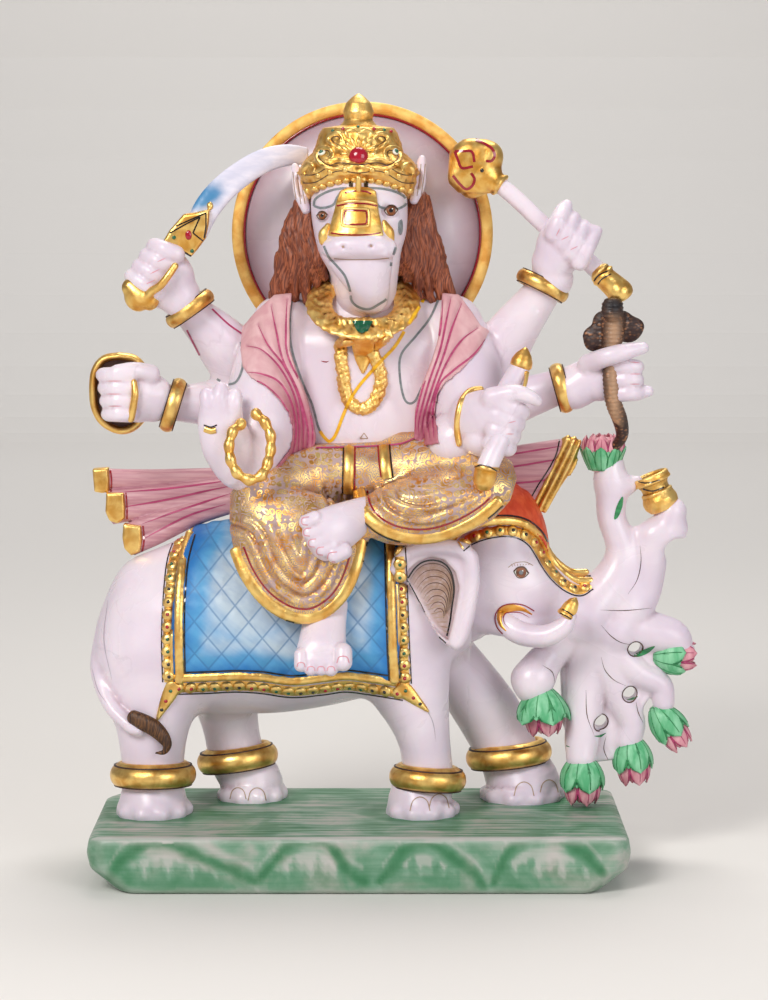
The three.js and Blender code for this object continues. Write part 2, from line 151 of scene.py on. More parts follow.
def outline_distance(outline: Sequence[Flat], u: Array, v: Array) -> Array:
    """Signed distance to a flat outline, negative inside.

    Args:
        outline: its corners in order.
        u: first coordinate of the points asked about.
        v: second coordinate of them.

    Returns:
        The distances, shaped as u and v together.
    """
    corners = np.asarray(outline, dtype=np.float32)
    nearest = None
    inside = None
    for (ax, ay), (bx, by) in zip(corners, np.roll(corners, -1, axis=0)):
        ex, ey = bx - ax, by - ay
        wx, wy = u - ax, v - ay
        t = np.clip((wx * ex + wy * ey) / max(ex * ex + ey * ey, TINY), 0, 1)
        gap = (wx - ex * t) ** 2 + (wy - ey * t) ** 2
        nearest = gap if nearest is None else np.minimum(nearest, gap)
        rises = (v >= ay) & (v < by) & (ex * wy - ey * wx > 0)
        falls = (v < ay) & (v >= by) & (ex * wy - ey * wx < 0)
        crossed = rises | falls
        inside = crossed if inside is None else inside ^ crossed
    return np.where(inside, -1.0, 1.0) * np.sqrt(nearest)


class Form:
    """A closed shape, known by its distance from any point."""

    def reach(self) -> tuple[Array, Array]:
        """Returns the low and high corner of its box."""
        raise NotImplementedError

    def distance(self, x: Array, y: Array, z: Array) -> Array:
        """Returns the signed distance at the points, negative inside."""
        raise NotImplementedError


@dataclass
class Limb(Form):
    """A rounded bar along stations (x, y, z, half width, half depth).

    Half width lies square to the depth axis and half depth along it; cap tells how far the ends
    bulge, as a share of a half ball.
    """

    stations: Sequence[Sequence[float]]
    steps: int = 4
    cap: float = 1.0

    def axis(self) -> Array:
        """Returns the sampled rows along the bar.

        Returns:
            One row for each sample.
        """
        rows = [tuple(s) if len(s) == 5 else (*s, s[3]) for s in self.stations]
        made = smooth_line(rows, self.steps)
        made[:, 3:] = np.maximum(made[:, 3:], 0.3)
        return made

    def reach(self) -> tuple[Array, Array]:
        """Returns the low and high corner of its box.

        Returns:
            The two corners.
        """
        axis = self.axis()
        size = axis[:, 3:].max(axis=1)[:, None]
        return (axis[:, :3] - size).min(axis=0), (axis[:, :3] + size).max(axis=0)

    def distance(self, x: Array, y: Array, z: Array) -> Array:
        """Returns the signed distance at the points, negative inside.

        Args:
            x: how far across the points lie.
            y: how far back they lie.
            z: how high they lie.

        Returns:
            The distance at each point.
        """
        axis = self.axis()
        best = stretch = None
        for a, b in zip(axis[:-1], axis[1:]):
            along = b[:3] - a[:3]
            length = float(np.linalg.norm(along))
            if length < TINY:
                continue
            t = along / length
            s = unit(np.cross(t, DEPTH))
            n = np.cross(t, s)
            px, py, pz = x - a[0], y - a[1], z - a[2]
            h = np.clip((px * t[0] + py * t[1] + pz * t[2]) / length, 0, 1)
            qx, qy, qz = px - h * along[0], py - h * along[1], pz - h * along[2]
            gap = qx * qx + qy * qy + qz * qz
            w = a[3] + h * (b[3] - a[3])
            d = a[4] + h * (b[4] - a[4])
            across = (qx * s[0] + qy * s[1] + qz * s[2]) / w
            deep = (qx * n[0] + qy * n[1] + qz * n[2]) / d
            past = (qx * t[0] + qy * t[1] + qz * t[2]) / (self.cap * np.minimum(w, d))
            e = across * across + deep * deep + past * past
            if best is None:
                best, stretch = gap, e
            else:
                closer = gap < best
                best = np.where(closer, gap, best)
                stretch = np.where(closer, e, stretch)
        return oval_gap(np.sqrt(best), np.sqrt(stretch))


@dataclass
class Ball(Form):
    """An ellipsoid, turned by angles in degrees about X, Y and Z."""

    centre: Point
    radii: Sequence[float]
    turn: Point = (0.0, 0.0, 0.0)

    def reach(self) -> tuple[Array, Array]:
        """Returns the low and high corner of its box."""
        size = max(self.radii)
        return np.array(self.centre) - size, np.array(self.centre) + size

    def distance(self, x: Array, y: Array, z: Array) -> Array:
        """Returns the signed distance at the points, negative inside.

        Args:
            x: how far across the points lie.
            y: how far back they lie.
            z: how high they lie.

        Returns:
            The distance at each point.
        """
        axes = np.array(Euler([math.radians(a) for a in self.turn]).to_matrix()).T
        q = (x - self.centre[0], y - self.centre[1], z - self.centre[2])
        gap = np.sqrt(q[0] ** 2 + q[1] ** 2 + q[2] ** 2)
        e = 0.0
        for row, radius in zip(axes, self.radii):
            e = e + ((q[0] * row[0] + q[1] * row[1] + q[2] * row[2]) / radius) ** 2
        return oval_gap(gap, np.sqrt(e))


@dataclass
class Plate(Form):
    """A plate whose outline (x, z) stands between two depths, with rounded edges."""

    outline: Sequence[Flat]
    front: float
    back: float
    edge: float = 1.5

    def reach(self) -> tuple[Array, Array]:
        """Returns the low and high corner of its box.

        Returns:
            The two corners.
        """
        corners = np.array(self.outline, dtype=float)
        low, high = corners.min(axis=0), corners.max(axis=0)
        return np.array([low[0], self.front, low[1]]), np.array([high[0], self.back, high[1]])

    def distance(self, x: Array, y: Array, z: Array) -> Array:
        """Returns the signed distance at the points, negative inside.

        Args:
            x: how far across the points lie.
            y: how far back they lie.
            z: how high they lie.

        Returns:
            The distance at each point.
        """
        flat = outline_distance(self.outline, x, z) + self.edge
        deep = np.maximum(self.front - y, y - self.back) + self.edge
        past = np.sqrt(np.maximum(flat, 0) ** 2 + np.maximum(deep, 0) ** 2)
        return past + np.minimum(np.maximum(flat, deep), 0) - self.edge


@dataclass
class Turned(Form):
    """A turned form: its profile (radius, height) rises from a foot along an axis."""

    foot: Point
    axis: Point
    profile: Sequence[Flat]

    def reach(self) -> tuple[Array, Array]:
        """Returns the low and high corner of its box.

        Returns:
            The two corners.
        """
        wide = max(r for r, _ in self.profile)
        ends = [np.array(self.foot) + unit(self.axis) * h for _, h in self.profile]
        return np.min(ends, axis=0) - wide, np.max(ends, axis=0) + wide

    def distance(self, x: Array, y: Array, z: Array) -> Array:
        """Returns the signed distance at the points, negative inside.

        Args:
            x: how far across the points lie.
            y: how far back they lie.
            z: how high they lie.

        Returns:
            The distance at each point.
        """
        t = unit(self.axis)
        side = unit(np.cross(t, DEPTH if abs(t[1]) < 0.9 else UP))
        deep = np.cross(t, side)
        q = (x - self.foot[0], y - self.foot[1], z - self.foot[2])
        height = q[0] * t[0] + q[1] * t[1] + q[2] * t[2]
        a = q[0] * side[0] + q[1] * side[1] + q[2] * side[2]
        b = q[0] * deep[0] + q[1] * deep[1] + q[2] * deep[2]
        radius = np.sqrt(a * a + b * b)
        mirrored = [(-r, h) for r, h in reversed(self.profile) if r > TINY]
        return outline_distance([*self.profile, *mirrored], radius, height)


@dataclass
class Ring(Form):
    """A ring about an axis, with an oval section (across the axis, along the axis)."""

    centre: Point
    axis: Point
    radius: float
    section: Flat

    def reach(self) -> tuple[Array, Array]:
        """Returns the low and high corner of its box."""
        size = self.radius + max(self.section)
        return np.array(self.centre) - size, np.array(self.centre) + size

    def distance(self, x: Array, y: Array, z: Array) -> Array:
        """Returns the signed distance at the points, negative inside.

        Args:
            x: how far across the points lie.
            y: how far back they lie.
            z: how high they lie.

        Returns:
            The distance at each point.
        """
        t = unit(self.axis)
        q = (x - self.centre[0], y - self.centre[1], z - self.centre[2])
        height = q[0] * t[0] + q[1] * t[1] + q[2] * t[2]
        radius = np.sqrt(np.maximum(q[0] ** 2 + q[1] ** 2 + q[2] ** 2 - height**2, 0))
        a, b = (radius - self.radius), height
        gap = np.sqrt(a * a + b * b)
        e = np.sqrt((a / self.section[0]) ** 2 + (b / self.section[1]) ** 2)
        return oval_gap(gap, e)


@dataclass
class Barrel(Form):
    """A body along X through stations (x, z, half height, half depth) about one depth."""

    stations: Sequence[Sequence[float]]
    middle: float
    grow: float = 0.0
    steepest: float = 3.0

    def reach(self) -> tuple[Array, Array]:
        """Returns the low and high corner of its box.

        Returns:
            The two corners.
        """
        rows = np.array(self.stations)
        high, deep = rows[:, 2] + self.grow, rows[:, 3] + self.grow
        low = [rows[0, 0], self.middle - deep.max(), (rows[:, 1] - high).min()]
        top = [rows[-1, 0], self.middle + deep.max(), (rows[:, 1] + high).max()]
        return np.array(low), np.array(top)

    def distance(self, x: Array, y: Array, z: Array) -> Array:
        """Returns the signed distance at the points, negative inside.

        Args:
            x: how far across the points lie.
            y: how far back they lie.
            z: how high they lie.

        Returns:
            The distance at each point.
        """
        rows = smooth_line(self.stations, 8)
        flat = x.ravel()
        centre, high, deep = (np.interp(flat, rows[:, 0], rows[:, k]) for k in (1, 2, 3))
        shape = x.shape
        centre, high, deep = (v.reshape(shape) for v in (centre, high, deep))
        high, deep = high + self.grow, deep + self.grow
        slope = np.gradient(high.ravel(), flat).reshape(shape)
        b, a = z - centre, y - self.middle
        gap = np.sqrt(a * a + b * b)
        e = np.sqrt((a / deep) ** 2 + (b / high) ** 2)
        side = oval_gap(gap, e) / np.sqrt(1 + np.minimum(slope**2, self.steepest**2))
        ends = np.maximum(rows[0, 0] - x, x - rows[-1, 0])
        return np.maximum(side, ends + 0 * side)


@dataclass
class Made(Form):
    """A form given by its box and a distance function of its own."""

    low: Point
    high: Point
    rule: Callable[[Array, Array, Array], Array]

    def reach(self) -> tuple[Array, Array]:
        """Returns the low and high corner of its box."""
        return np.array(self.low), np.array(self.high)

    def distance(self, x: Array, y: Array, z: Array) -> Array:
        """Returns the signed distance at the points, negative inside."""
        return self.rule(x, y, z)


class Clay:
    """A block of clay on a regular grid, to which forms are added and from which they are cut."""

    MARGIN = 2.5
    RELAX_IN = 0.5
    RELAX_OUT = -0.52
    KEPT_SHARE = 0.47

    def __init__(self, low: Point, high: Point, pitch: float) -> None:
        """Lays out the grid.

        Args:
            low: low corner of the block.
            high: high corner of it.
            pitch: grid spacing.
        """
        self.pitch = pitch
        self.lines = [
            np.arange(a - 2 * pitch, b + 3 * pitch, pitch, dtype=np.float32) for a, b in zip(low, high)
        ]
        self.field = np.full([len(line) for line in self.lines], FAR, dtype=np.float32)

    def window(self, form: Form, margin: float) -> tuple[tuple[slice, ...], list[Array]]:
        """The part of the grid near a form.

        Args:
            form: what it is near to.
            margin: how near.

        Returns:
            Slices of the grid, and its open coordinates there.
        """
        cuts = []
        for line, low, high in zip(self.lines, *form.reach()):
            start, stop = np.searchsorted(line, (low - margin, high + margin))
            cuts.append(slice(int(start), int(stop)))
        return tuple(cuts), list(np.ix_(*(line[cut] for line, cut in zip(self.lines, cuts))))

    def add(self, form: Form, blend: float = 2.0) -> None:
        """Adds a form, with a fillet about as wide as blend.

        Args:
            form: the form.
            blend: about how wide the fillet is.
        """
        cuts, axes = self.window(form, blend + self.MARGIN * self.pitch)
        if 0 in self.field[cuts].shape:
            return
        new, old = form.distance(*axes).astype(np.float32), self.field[cuts]
        ease = np.maximum(blend - np.abs(new - old), 0) / max(blend, TINY)
        self.field[cuts] = np.minimum(new, old) - ease * ease * blend * 0.25

    def add_all(self, forms: Sequence[Form], blend: float = 2.0) -> None:
        """Adds forms in turn with the same fillet."""
        for form in forms:
            self.add(form, blend)

    def cut(self, form: Form, blend: float = 1.0) -> None:
        """Cuts a form away, with an edge rounded by about blend.

        Args:
            form: the form.
            blend: about how wide the fillet is.
        """
        cuts, axes = self.window(form, blend + self.MARGIN * self.pitch)
        if 0 in self.field[cuts].shape:
            return
        new, old = -form.distance(*axes).astype(np.float32), self.field[cuts]
        ease = np.maximum(blend - np.abs(new - old), 0) / max(blend, TINY)
        self.field[cuts] = np.maximum(new, old) + ease * ease * blend * 0.25

    def keep(self, rule: Callable[[Array, Array, Array], Array]) -> None:
        """Keeps only what lies where the rule is negative."""
        self.field = np.maximum(self.field, rule(*self.axes())).astype(np.float32)

    def swell(self, rule: Callable[[Array, Array, Array], Array]) -> None:
        """Moves the surface outwards by the rule's millimetres."""
        self.field = (self.field - rule(*self.axes())).astype(np.float32)

    def axes(self) -> list[Array]:
        """Returns the open coordinates of the whole grid."""
        return list(np.ix_(*self.lines))

    def skin(self, ease: int = 2, share: float = KEPT_SHARE) -> "Shell":
        """Skins the clay with quads, one corner in each grid cell that the surface crosses.

        Args:
            ease: rounds of smoothing.
            share: of the faces that stays when they are thinned.

        Returns:
            The skin.
        """
        grid = self.field
        for k in range(3):
            ends = [slice(None)] * 3
            for ends[k] in (0, -1):
                grid[tuple(ends)] = np.maximum(grid[tuple(ends)], 0.5 * self.pitch)
        inside = grid < 0
        shape = grid.shape
        stride = (shape[1] * shape[2], shape[2], 1)
        cells, places, quads = [], [], []
        for k in range(3):
            near, far = [slice(None)] * 3, [slice(None)] * 3
            near[k], far[k] = slice(None, -1), slice(1, None)
            first = inside[tuple(near)]
            found = np.nonzero(first != inside[tuple(far)])
            after = list(found)
            after[k] = found[k] + 1
            a, b = grid[found], grid[tuple(after)]
            place = np.stack([self.lines[j][found[j]] for j in range(3)], axis=1).astype(float)
            place[:, k] += a / (a - b) * self.pitch
            home = sum(found[j].astype(np.int64) * stride[j] for j in range(3))
            u, v = stride[(k + 1) % 3], stride[(k + 2) % 3]
            four = np.stack([home, home - u, home - u - v, home - v], axis=1)
            four[~first[found]] = four[~first[found]][:, ::-1]
            quads.append(four)
            cells.append(four.ravel())
            places.append(np.repeat(place, 4, axis=0))
        used, where = np.unique(np.concatenate(cells), return_inverse=True)
        where = where.ravel()
        place = np.concatenate(places)
        count = np.bincount(where)
        corners = np.stack([np.bincount(where, place[:, j]) / count for j in range(3)], axis=1)
        faces = np.searchsorted(used, np.concatenate(quads))
        shell = Shell(corners, faces)
        for _ in range(ease):
            shell.relax(self.RELAX_IN)
            shell.relax(self.RELAX_OUT)
        return shell.thinned(share) if share < 1 else shell


@dataclass
class Shell:
    """Corners in millimetres and quads, before they become a piece."""

    corners: Array
    faces: Array

    def relax(self, amount: float) -> None:
        """Moves each corner towards the mean of its neighbours.

        Args:
            amount: the share of the way that they move.
        """
        a = self.faces.ravel()
        b = np.roll(self.faces, -1, axis=1).ravel()
        total = len(self.corners)
        near = np.bincount(a, minlength=total) + np.bincount(b, minlength=total)
        near = np.maximum(near, 1)
        for j in range(3):
            held = self.corners[:, j]
            mean = np.bincount(a, held[b], total) + np.bincount(b, held[a], total)
            self.corners[:, j] = held + amount * (mean / near - held)

    def thinned(self, share: float) -> "Shell":
        """Returns the skin with fewer faces, kept where it bends most.

        Args:
            share: of the faces that stays.

        Returns:
            The lighter skin.
        """
        mesh = bpy.data.meshes.new("thinning")
        mesh.from_pydata(self.corners.tolist(), [], self.faces.tolist())
        made = bpy.data.objects.new("thinning", mesh)
        bpy.context.scene.collection.objects.link(made)
        modifier = made.modifiers.new("thinning", "DECIMATE")
        modifier.ratio = share
        modifier.use_collapse_triangulate = True
        lighter = bpy.data.meshes.new_from_object(made.evaluated_get(bpy.context.evaluated_depsgraph_get()))
        corners = np.empty(len(lighter.vertices) * 3)
        faces = np.empty(len(lighter.loops), dtype=np.int32)
        lighter.vertices.foreach_get("co", corners)
        lighter.loops.foreach_get("vertex_index", faces)
        bpy.data.objects.remove(made)
        for spent in (mesh, lighter):
            bpy.data.meshes.remove(spent)
        return Shell(corners.reshape(-1, 3), faces.reshape(-1, 3).astype(np.int64))

    def tree(self) -> BVHTree:
        """Returns a search tree of its faces."""
        return BVHTree.FromPolygons(self.corners.tolist(), self.faces.tolist())


class Heap:
    """Meshes gathered into one piece."""

    def __init__(self) -> None:
        """Starts empty."""
        self.corners: list[Array] = []
        self.faces: list[tuple[int, ...]] = []
        self.total = 0

    def put(self, corners: Array, faces: Sequence[Sequence[int]]) -> None:
        """Adds corners and the faces between them.

        Args:
            corners: the corners, one a row.
            faces: each face as the numbers of its corners.
        """
        if not len(corners):
            return
        self.corners.append(np.asarray(corners, dtype=float))
        self.faces.extend(tuple(int(i) + self.total for i in face) for face in faces)
        self.total += len(corners)

    def put_shell(self, shell: Shell) -> None:
        """Adds a skin."""
        self.put(shell.corners, shell.faces)

    def put_ball(self, at: Array, facing: Array, radii: Point, rings: int = 6, sides: int = 12) -> None:
        """Adds a ball flattened along the direction that it faces.

        Args:
            at: its centre.
            facing: the direction.
            radii: along its side, along its other side, and along the direction.
            rings: rows of faces.
            sides: faces round it.
        """
        w = unit(facing)
        u = unit(np.cross(w, UP if abs(w[2]) < 0.9 else DEPTH))
        v = np.cross(w, u)
        rows = []
        for i in range(1, rings):
            tilt = math.pi * i / rings
            turns = 2 * math.pi * np.arange(sides) / sides
            ring = (
                np.outer(np.cos(turns) * math.sin(tilt) * radii[0], u)
                + np.outer(np.sin(turns) * math.sin(tilt) * radii[1], v)
                + w * math.cos(tilt) * radii[2]
            )
            rows.append(ring + at)
        corners = np.vstack([np.array([at + w * radii[2]]), *rows, np.array([at - w * radii[2]])])
        faces: list[tuple[int, ...]] = []
        for j in range(sides):
            nxt = (j + 1) % sides
            faces.append((0, 1 + j, 1 + nxt))
            for i in range(rings - 2):
                a, b = 1 + i * sides, 1 + (i + 1) * sides
                faces.append((a + j, b + j, b + nxt, a + nxt))
            last = 1 + (rings - 2) * sides
            faces.append((last + j, len(corners) - 1, last + nxt))
        self.put(corners, faces)

    def put_sheet(self, grid: Array, thickness: float) -> None:
        """Adds a closed sheet over a grid of points.

        Args:
            grid: rows of points, rows by columns by three.
            thickness: how thick it is, behind the grid.
        """
        along = np.gradient(grid, axis=0)
        across = np.gradient(grid, axis=1)
        square = np.cross(along, across)
        square /= np.maximum(np.linalg.norm(square, axis=2, keepdims=True), TINY)
        rows, columns = grid.shape[:2]
        both = np.vstack([grid.reshape(-1, 3), (grid - square * thickness).reshape(-1, 3)])
        half = rows * columns
        faces = []
        for i in range(rows - 1):
            for j in range(columns - 1):
                a = i * columns + j
                b, c, d = a + columns, a + columns + 1, a + 1
                faces.append((a, b, c, d))
                faces.append((half + d, half + c, half + b, half + a))
        border = [j for j in range(columns)]
        border += [i * columns + columns - 1 for i in range(1, rows)]
        border += [(rows - 1) * columns + j for j in range(columns - 2, -1, -1)]
        border += [i * columns for i in range(rows - 2, 0, -1)]
        for a, b in zip(border, border[1:] + border[:1]):
            faces.append((a, b, half + b, half + a))
        self.put(both, faces)

    def tree(self) -> BVHTree:
        """Returns a search tree of its faces."""
        return BVHTree.FromPolygons(np.vstack(self.corners).tolist(), self.faces)

    def put_turned(self, foot: Point, axis: Point, profile: Sequence[Flat], sides: int) -> None:
        """Adds a turned form.

        Args:
            foot: where its profile starts.
            axis: the way that it rises.
            profile: its corners (radius, height); it closes back onto its start.
            sides: faces round it.
        """
        w = unit(axis)
        u = unit(np.cross(w, UP if abs(w[2]) < 0.9 else DEPTH))
        v = np.cross(w, u)
        turns = 2 * math.pi * np.arange(sides) / sides
        rows = [
            np.array(foot) + w * h + np.outer(np.cos(turns) * r, u) + np.outer(np.sin(turns) * r, v)
            for r, h in profile
        ]
        faces = []
        count = len(profile)
        for i in range(count):
            a, b = i * sides, ((i + 1) % count) * sides
            for j in range(sides):
                nxt = (j + 1) % sides
                faces.append((a + j, b + j, b + nxt, a + nxt))
        self.put(np.vstack(rows), faces)


# Drawing on the carved surface


class Sight:
    """A way of looking: turns a flat mark into a ray."""

    def ray(self, u: float, v: float) -> tuple[Vector, Vector]:
        """Returns where the ray through a mark starts and where it points."""
        raise NotImplementedError


@dataclass(frozen=True)
class Eye(Sight):
    """The viewpoint; marks are pixels of a 768 by 1000 picture."""

    place: Point = (20.3, -2280.0, 531.8)
    droop: float = 0.1044018
    focal: float = 2915.3
    middle: Flat = (384.0, 500.0)

    def ray(self, u: float, v: float) -> tuple[Vector, Vector]:
        """Returns where the ray through a mark starts and where it points.

        Args:
            u: the mark across the picture.
            v: the mark down the picture.

        Returns:
            The start and the direction.
        """
        right, down = u - self.middle[0], v - self.middle[1]
        ahead = Vector((0.0, math.cos(self.droop), -math.sin(self.droop)))
        above = Vector((0.0, math.sin(self.droop), math.cos(self.droop)))
        aim = ahead * self.focal + Vector((right, 0.0, 0.0)) - above * down
        return Vector(self.place), aim.normalized()


@dataclass(frozen=True)
class Straight(Sight):
    """Straight on, from the front (way 1) or behind (way -1); marks are (x, z) in millimetres."""

    way: float
    stand_off: float = 1500.0

    def ray(self, u: float, v: float) -> tuple[Vector, Vector]:
        """Returns where the ray through a mark starts and where it points."""
        return Vector((u, -self.stand_off * self.way, v)), Vector((0.0, self.way, 0.0))


class Ground:
    """The carved surfaces that a brush may touch."""

    def __init__(self, *shells: Shell | Heap) -> None:
        """Builds a search tree for each of them."""
        self.trees = [shell.tree() for shell in shells]

    def also(self, *others: "Ground") -> "Ground":
        """Returns a ground with the surfaces of others too.

        Args:
            others: the grounds whose surfaces are added.

        Returns:
            The joined ground.
        """
        made = Ground()
        made.trees = [*self.trees, *(tree for other in others for tree in other.trees)]
        return made

    def meet(self, sight: Sight, u: float, v: float) -> tuple[Array, Array] | None:
        """Where the ray through a mark first meets a surface.

        Args:
            sight: the way of looking.
            u: the mark's first coordinate.
            v: its second.

        Returns:
            The place and the surface's direction there, or None past its edge.
        """
        start, aim = sight.ray(u, v)
        best = None
        for tree in self.trees:
            place, square, _, gap = tree.ray_cast(start, aim)
            if place is not None and (best is None or gap < best[2]):
                if square.dot(aim) > 0:
                    square = -square
                best = (np.array(place), np.array(square), gap)
        return None if best is None else best[:2]


class Brush:
    """Draws bands, patches and beads onto a ground, as seen one way."""

    def __init__(self, ground: Ground, sight: Sight, step: float = 1.3) -> None:
        """Takes up the brush.

        Args:
            ground: what it draws on.
            sight: from where.
            step: spacing of its samples, in the sight's own units.
        """
        self.ground, self.sight, self.step = ground, sight, step

    def trail(
        self, path: Sequence[Flat], closed: bool = False, straight: bool = False,
    ) -> tuple[Array, Array]:
        """Samples a path evenly.

        Args:
            path: its marks.
            closed: whether it comes back to its start.
            straight: whether its corners stay sharp.

        Returns:
            The samples, and the direction across the path at each.
        """
        if straight:
            line = np.asarray([*path, path[0]] if closed else path, dtype=float)
        else:
            line = smooth_line(path, 12, closed)
            if closed:
                line = np.vstack([line, line[:1]])
        run = run_along(line)
        count = max(3, int(round(run[-1] / self.step)) + 1)
        at = np.linspace(0.0, run[-1], count)
        made = np.stack([np.interp(at, run, line[:, k]) for k in range(2)], axis=1)
        along = np.gradient(made, axis=0)
        along /= np.maximum(np.linalg.norm(along, axis=1, keepdims=True), TINY)
        return made, np.stack([-along[:, 1], along[:, 0]], axis=1)

    def band(
        self,
        heap: Heap,
        path: Sequence[Flat],
        width: float,
        rise: float = 0.0,
        lift: float = 0.25,
        across: int = 3,
        closed: bool = False,
        straight: bool = False,
        taper: float = 0.0,
        shift: float = 0.0,
        jump: float = 5.0,
    ) -> None:
        """Lays a band along a path: a painted line, or a raised one.

        Args:
            heap: takes the mesh.
            path: its marks.
            width: its width, in the sight's units.
            rise: how high its middle stands.
            lift: how far its edges stand off the ground; less than none sinks them.
            across: corners across it.
            closed: whether it comes back to its start.
            straight: whether its corners stay sharp.
            taper: share of its length over which each end thins out.
            shift: moves it sideways.
            jump: breaks it where the ground steps back by more than this.
        """
        marks, side = self.trail(path, closed, straight)
        shares = np.linspace(-1.0, 1.0, across)
        crown = np.sqrt(np.maximum(1 - shares**2, 0))
        run: list[Array] = []
        last = None
        for i, (mark, normal) in enumerate(zip(marks, side)):
            end = min(i, len(marks) - 1 - i) / max(len(marks) - 1, 1)
            thin = 1.0 if taper <= 0 or closed else min(1.0, 0.15 + 0.85 * end / taper)
            hits = []
            for share in shares:
                spot = mark + normal * (share * width * 0.5 * thin + shift)
                hits.append(self.ground.meet(self.sight, *spot))
            row = None
            if all(hits):
                places = np.array([hit[0] for hit in hits])
                facing = unit(np.sum([hit[1] for hit in hits], axis=0))
                flat = np.abs(np.diff(places[:, 1])).max() < jump
                if flat and (last is None or abs(places[across // 2, 1] - last) < jump):
                    row = places + np.outer(lift + rise * crown * min(1.0, thin), facing)
                    last = places[across // 2, 1]
            if row is None:
                self.close_run(heap, run)
                run, last = [], None
            else:
                run.append(row)
        self.close_run(heap, run)

    @staticmethod
    def close_run(heap: Heap, run: list[Array]) -> None:
        """Turns rows of corners into faces.

        Args:
            heap: takes the faces.
            run: the rows of corners.
        """
        if len(run) < 2:
            return
        across = len(run[0])
        faces = []
        for i in range(len(run) - 1):
            for j in range(across - 1):
                a = i * across + j
                faces.append((a, a + 1, a + across + 1, a + across))
        heap.put(np.vstack(run), faces)

    def patch(self, heap: Heap, outline: Sequence[Flat], lift: float = 0.2, straight: bool = False) -> None:
        """Covers the area inside an outline.

        Args:
            heap: takes the mesh.
            outline: its marks.
            lift: how far it stands off the ground.
            straight: whether its corners stay sharp.
        """
        edge, _ = self.trail(outline, True, straight)
        edge = edge[:-1]
        low, high = edge.min(axis=0), edge.max(axis=0)
        step = self.step * 1.6
        u, v = np.meshgrid(np.arange(low[0], high[0], step), np.arange(low[1], high[1], step))
        inner = np.stack([u.ravel(), v.ravel()], axis=1)
        gap = outline_distance([tuple(e) for e in edge], inner[:, 0], inner[:, 1])
        inner = inner[gap < -step * 0.45]
        marks = [Vector(p) for p in np.vstack([edge, inner]).tolist()]
        loop = list(range(len(edge)))
        ends = [(i, (i + 1) % len(edge)) for i in loop]
        flat, _, faces, _, _, _ = delaunay_2d_cdt(marks, ends, [loop], 1, 1e-4)
        hits = [self.ground.meet(self.sight, p[0], p[1]) for p in flat]
        corners = np.array([h[0] + h[1] * lift if h else (0.0, 0.0, 0.0) for h in hits])
        kept = []
        for face in faces:
            if all(hits[i] for i in face):
                depths = [hits[i][0][1] for i in face]
                if max(depths) - min(depths) < 5.0:
                    kept.append(face)
        heap.put(corners, kept)

    def beads(
        self,
        heap: Heap,
        path: Sequence[Flat],
        pitch: float,
        radii: Point,
        lift: float = 0.0,
        pick: Callable[[int], bool] | None = None,
    ) -> None:
        """Strings beads along a path.

        Args:
            heap: takes the mesh.
            path: its marks.
            pitch: spacing of the beads, in the sight's units.
            radii: of each bead, two along the ground and one off it.
            lift: how far their middles stand off the ground.
            pick: tells which beads are made, by number.
        """
        marks, _ = self.trail(path)
        run = run_along(marks)
        count = max(1, int(round(run[-1] / pitch)))
        for number in range(count):
            at = (number + 0.5) * run[-1] / count
            if pick is not None and not pick(number):
                continue
            mark = [np.interp(at, run, marks[:, k]) for k in range(2)]
            hit = self.ground.meet(self.sight, *mark)
            if hit is not None:
                heap.put_ball(hit[0] + hit[1] * lift, hit[1], radii)


# Finishes


class Wires:
    """Short calls that add nodes to a tree and join them."""

    COLOUR_SOCKETS = (6, 7, 2)

    def __init__(self, tree: bpy.types.NodeTree) -> None:
        """Starts on a tree."""
        self.tree = tree

    def node(self, kind: str, ins: dict | None = None, **props: object) -> bpy.types.Node:
        """Adds a node.

        Args:
            kind: its type, without the shader prefix.
            ins: values or sockets for its inputs, by name or number.
            props: its own settings.

        Returns:
            The node.
        """
        made = self.tree.nodes.new(kind if kind.startswith("Node") else "ShaderNode" + kind)
        for name, value in props.items():
            setattr(made, name, value)
        for key, value in (ins or {}).items():
            if isinstance(value, bpy.types.NodeSocket):
                self.tree.links.new(value, made.inputs[key])
            else:
                made.inputs[key].default_value = value
        return made

    def sum(
        self, operation: str, a: Plug, b: Plug = 0.0, c: Plug = 0.0, clamp: bool = False,
    ) -> bpy.types.NodeSocket:
        """Returns the outcome of a sum on up to three values."""
        ins = {0: a, 1: b, 2: c}
        return self.node("Math", ins, operation=operation, use_clamp=clamp).outputs[0]

    def between(self, value: Plug, low: float, high: float) -> bpy.types.NodeSocket:
        """Returns how far a value is from low to high, from 0 to 1, with soft ends."""
        ins = {"Value": value, "From Min": low, "From Max": high}
        return self.node("MapRange", ins, interpolation_type="SMOOTHSTEP").outputs["Result"]

    def mix(self, share: Plug, a: Plug, b: Plug) -> bpy.types.NodeSocket:
        """Returns two colours mixed."""
        first, second, mixed = self.COLOUR_SOCKETS
        return self.node("Mix", {0: share, first: a, second: b}, data_type="RGBA").outputs[mixed]

    def place(self) -> bpy.types.NodeSocket:
        """Returns the place on the object."""
        return self.node("TexCoord").outputs["Object"]

    def stretched(self, scale: Point) -> bpy.types.NodeSocket:
        """Returns the place on the object, scaled."""
        return self.node("Mapping", {"Vector": self.place(), "Scale": scale}).outputs[0]

    def noise(
        self, scale: float, detail: float = 4.0, where: Plug | None = None, swirl: float = 0.0,
    ) -> bpy.types.NodeSocket:
        """Returns noise at the place, about 0.5."""
        ins = {"Vector": where or self.place(), "Scale": scale, "Detail": detail, "Distortion": swirl}
        return self.node("TexNoise", ins).outputs[0]

    def parts(self, where: Plug) -> list[bpy.types.NodeSocket]:
        """Returns the three parts of a place."""
        return list(self.node("SeparateXYZ", {0: where}).outputs)


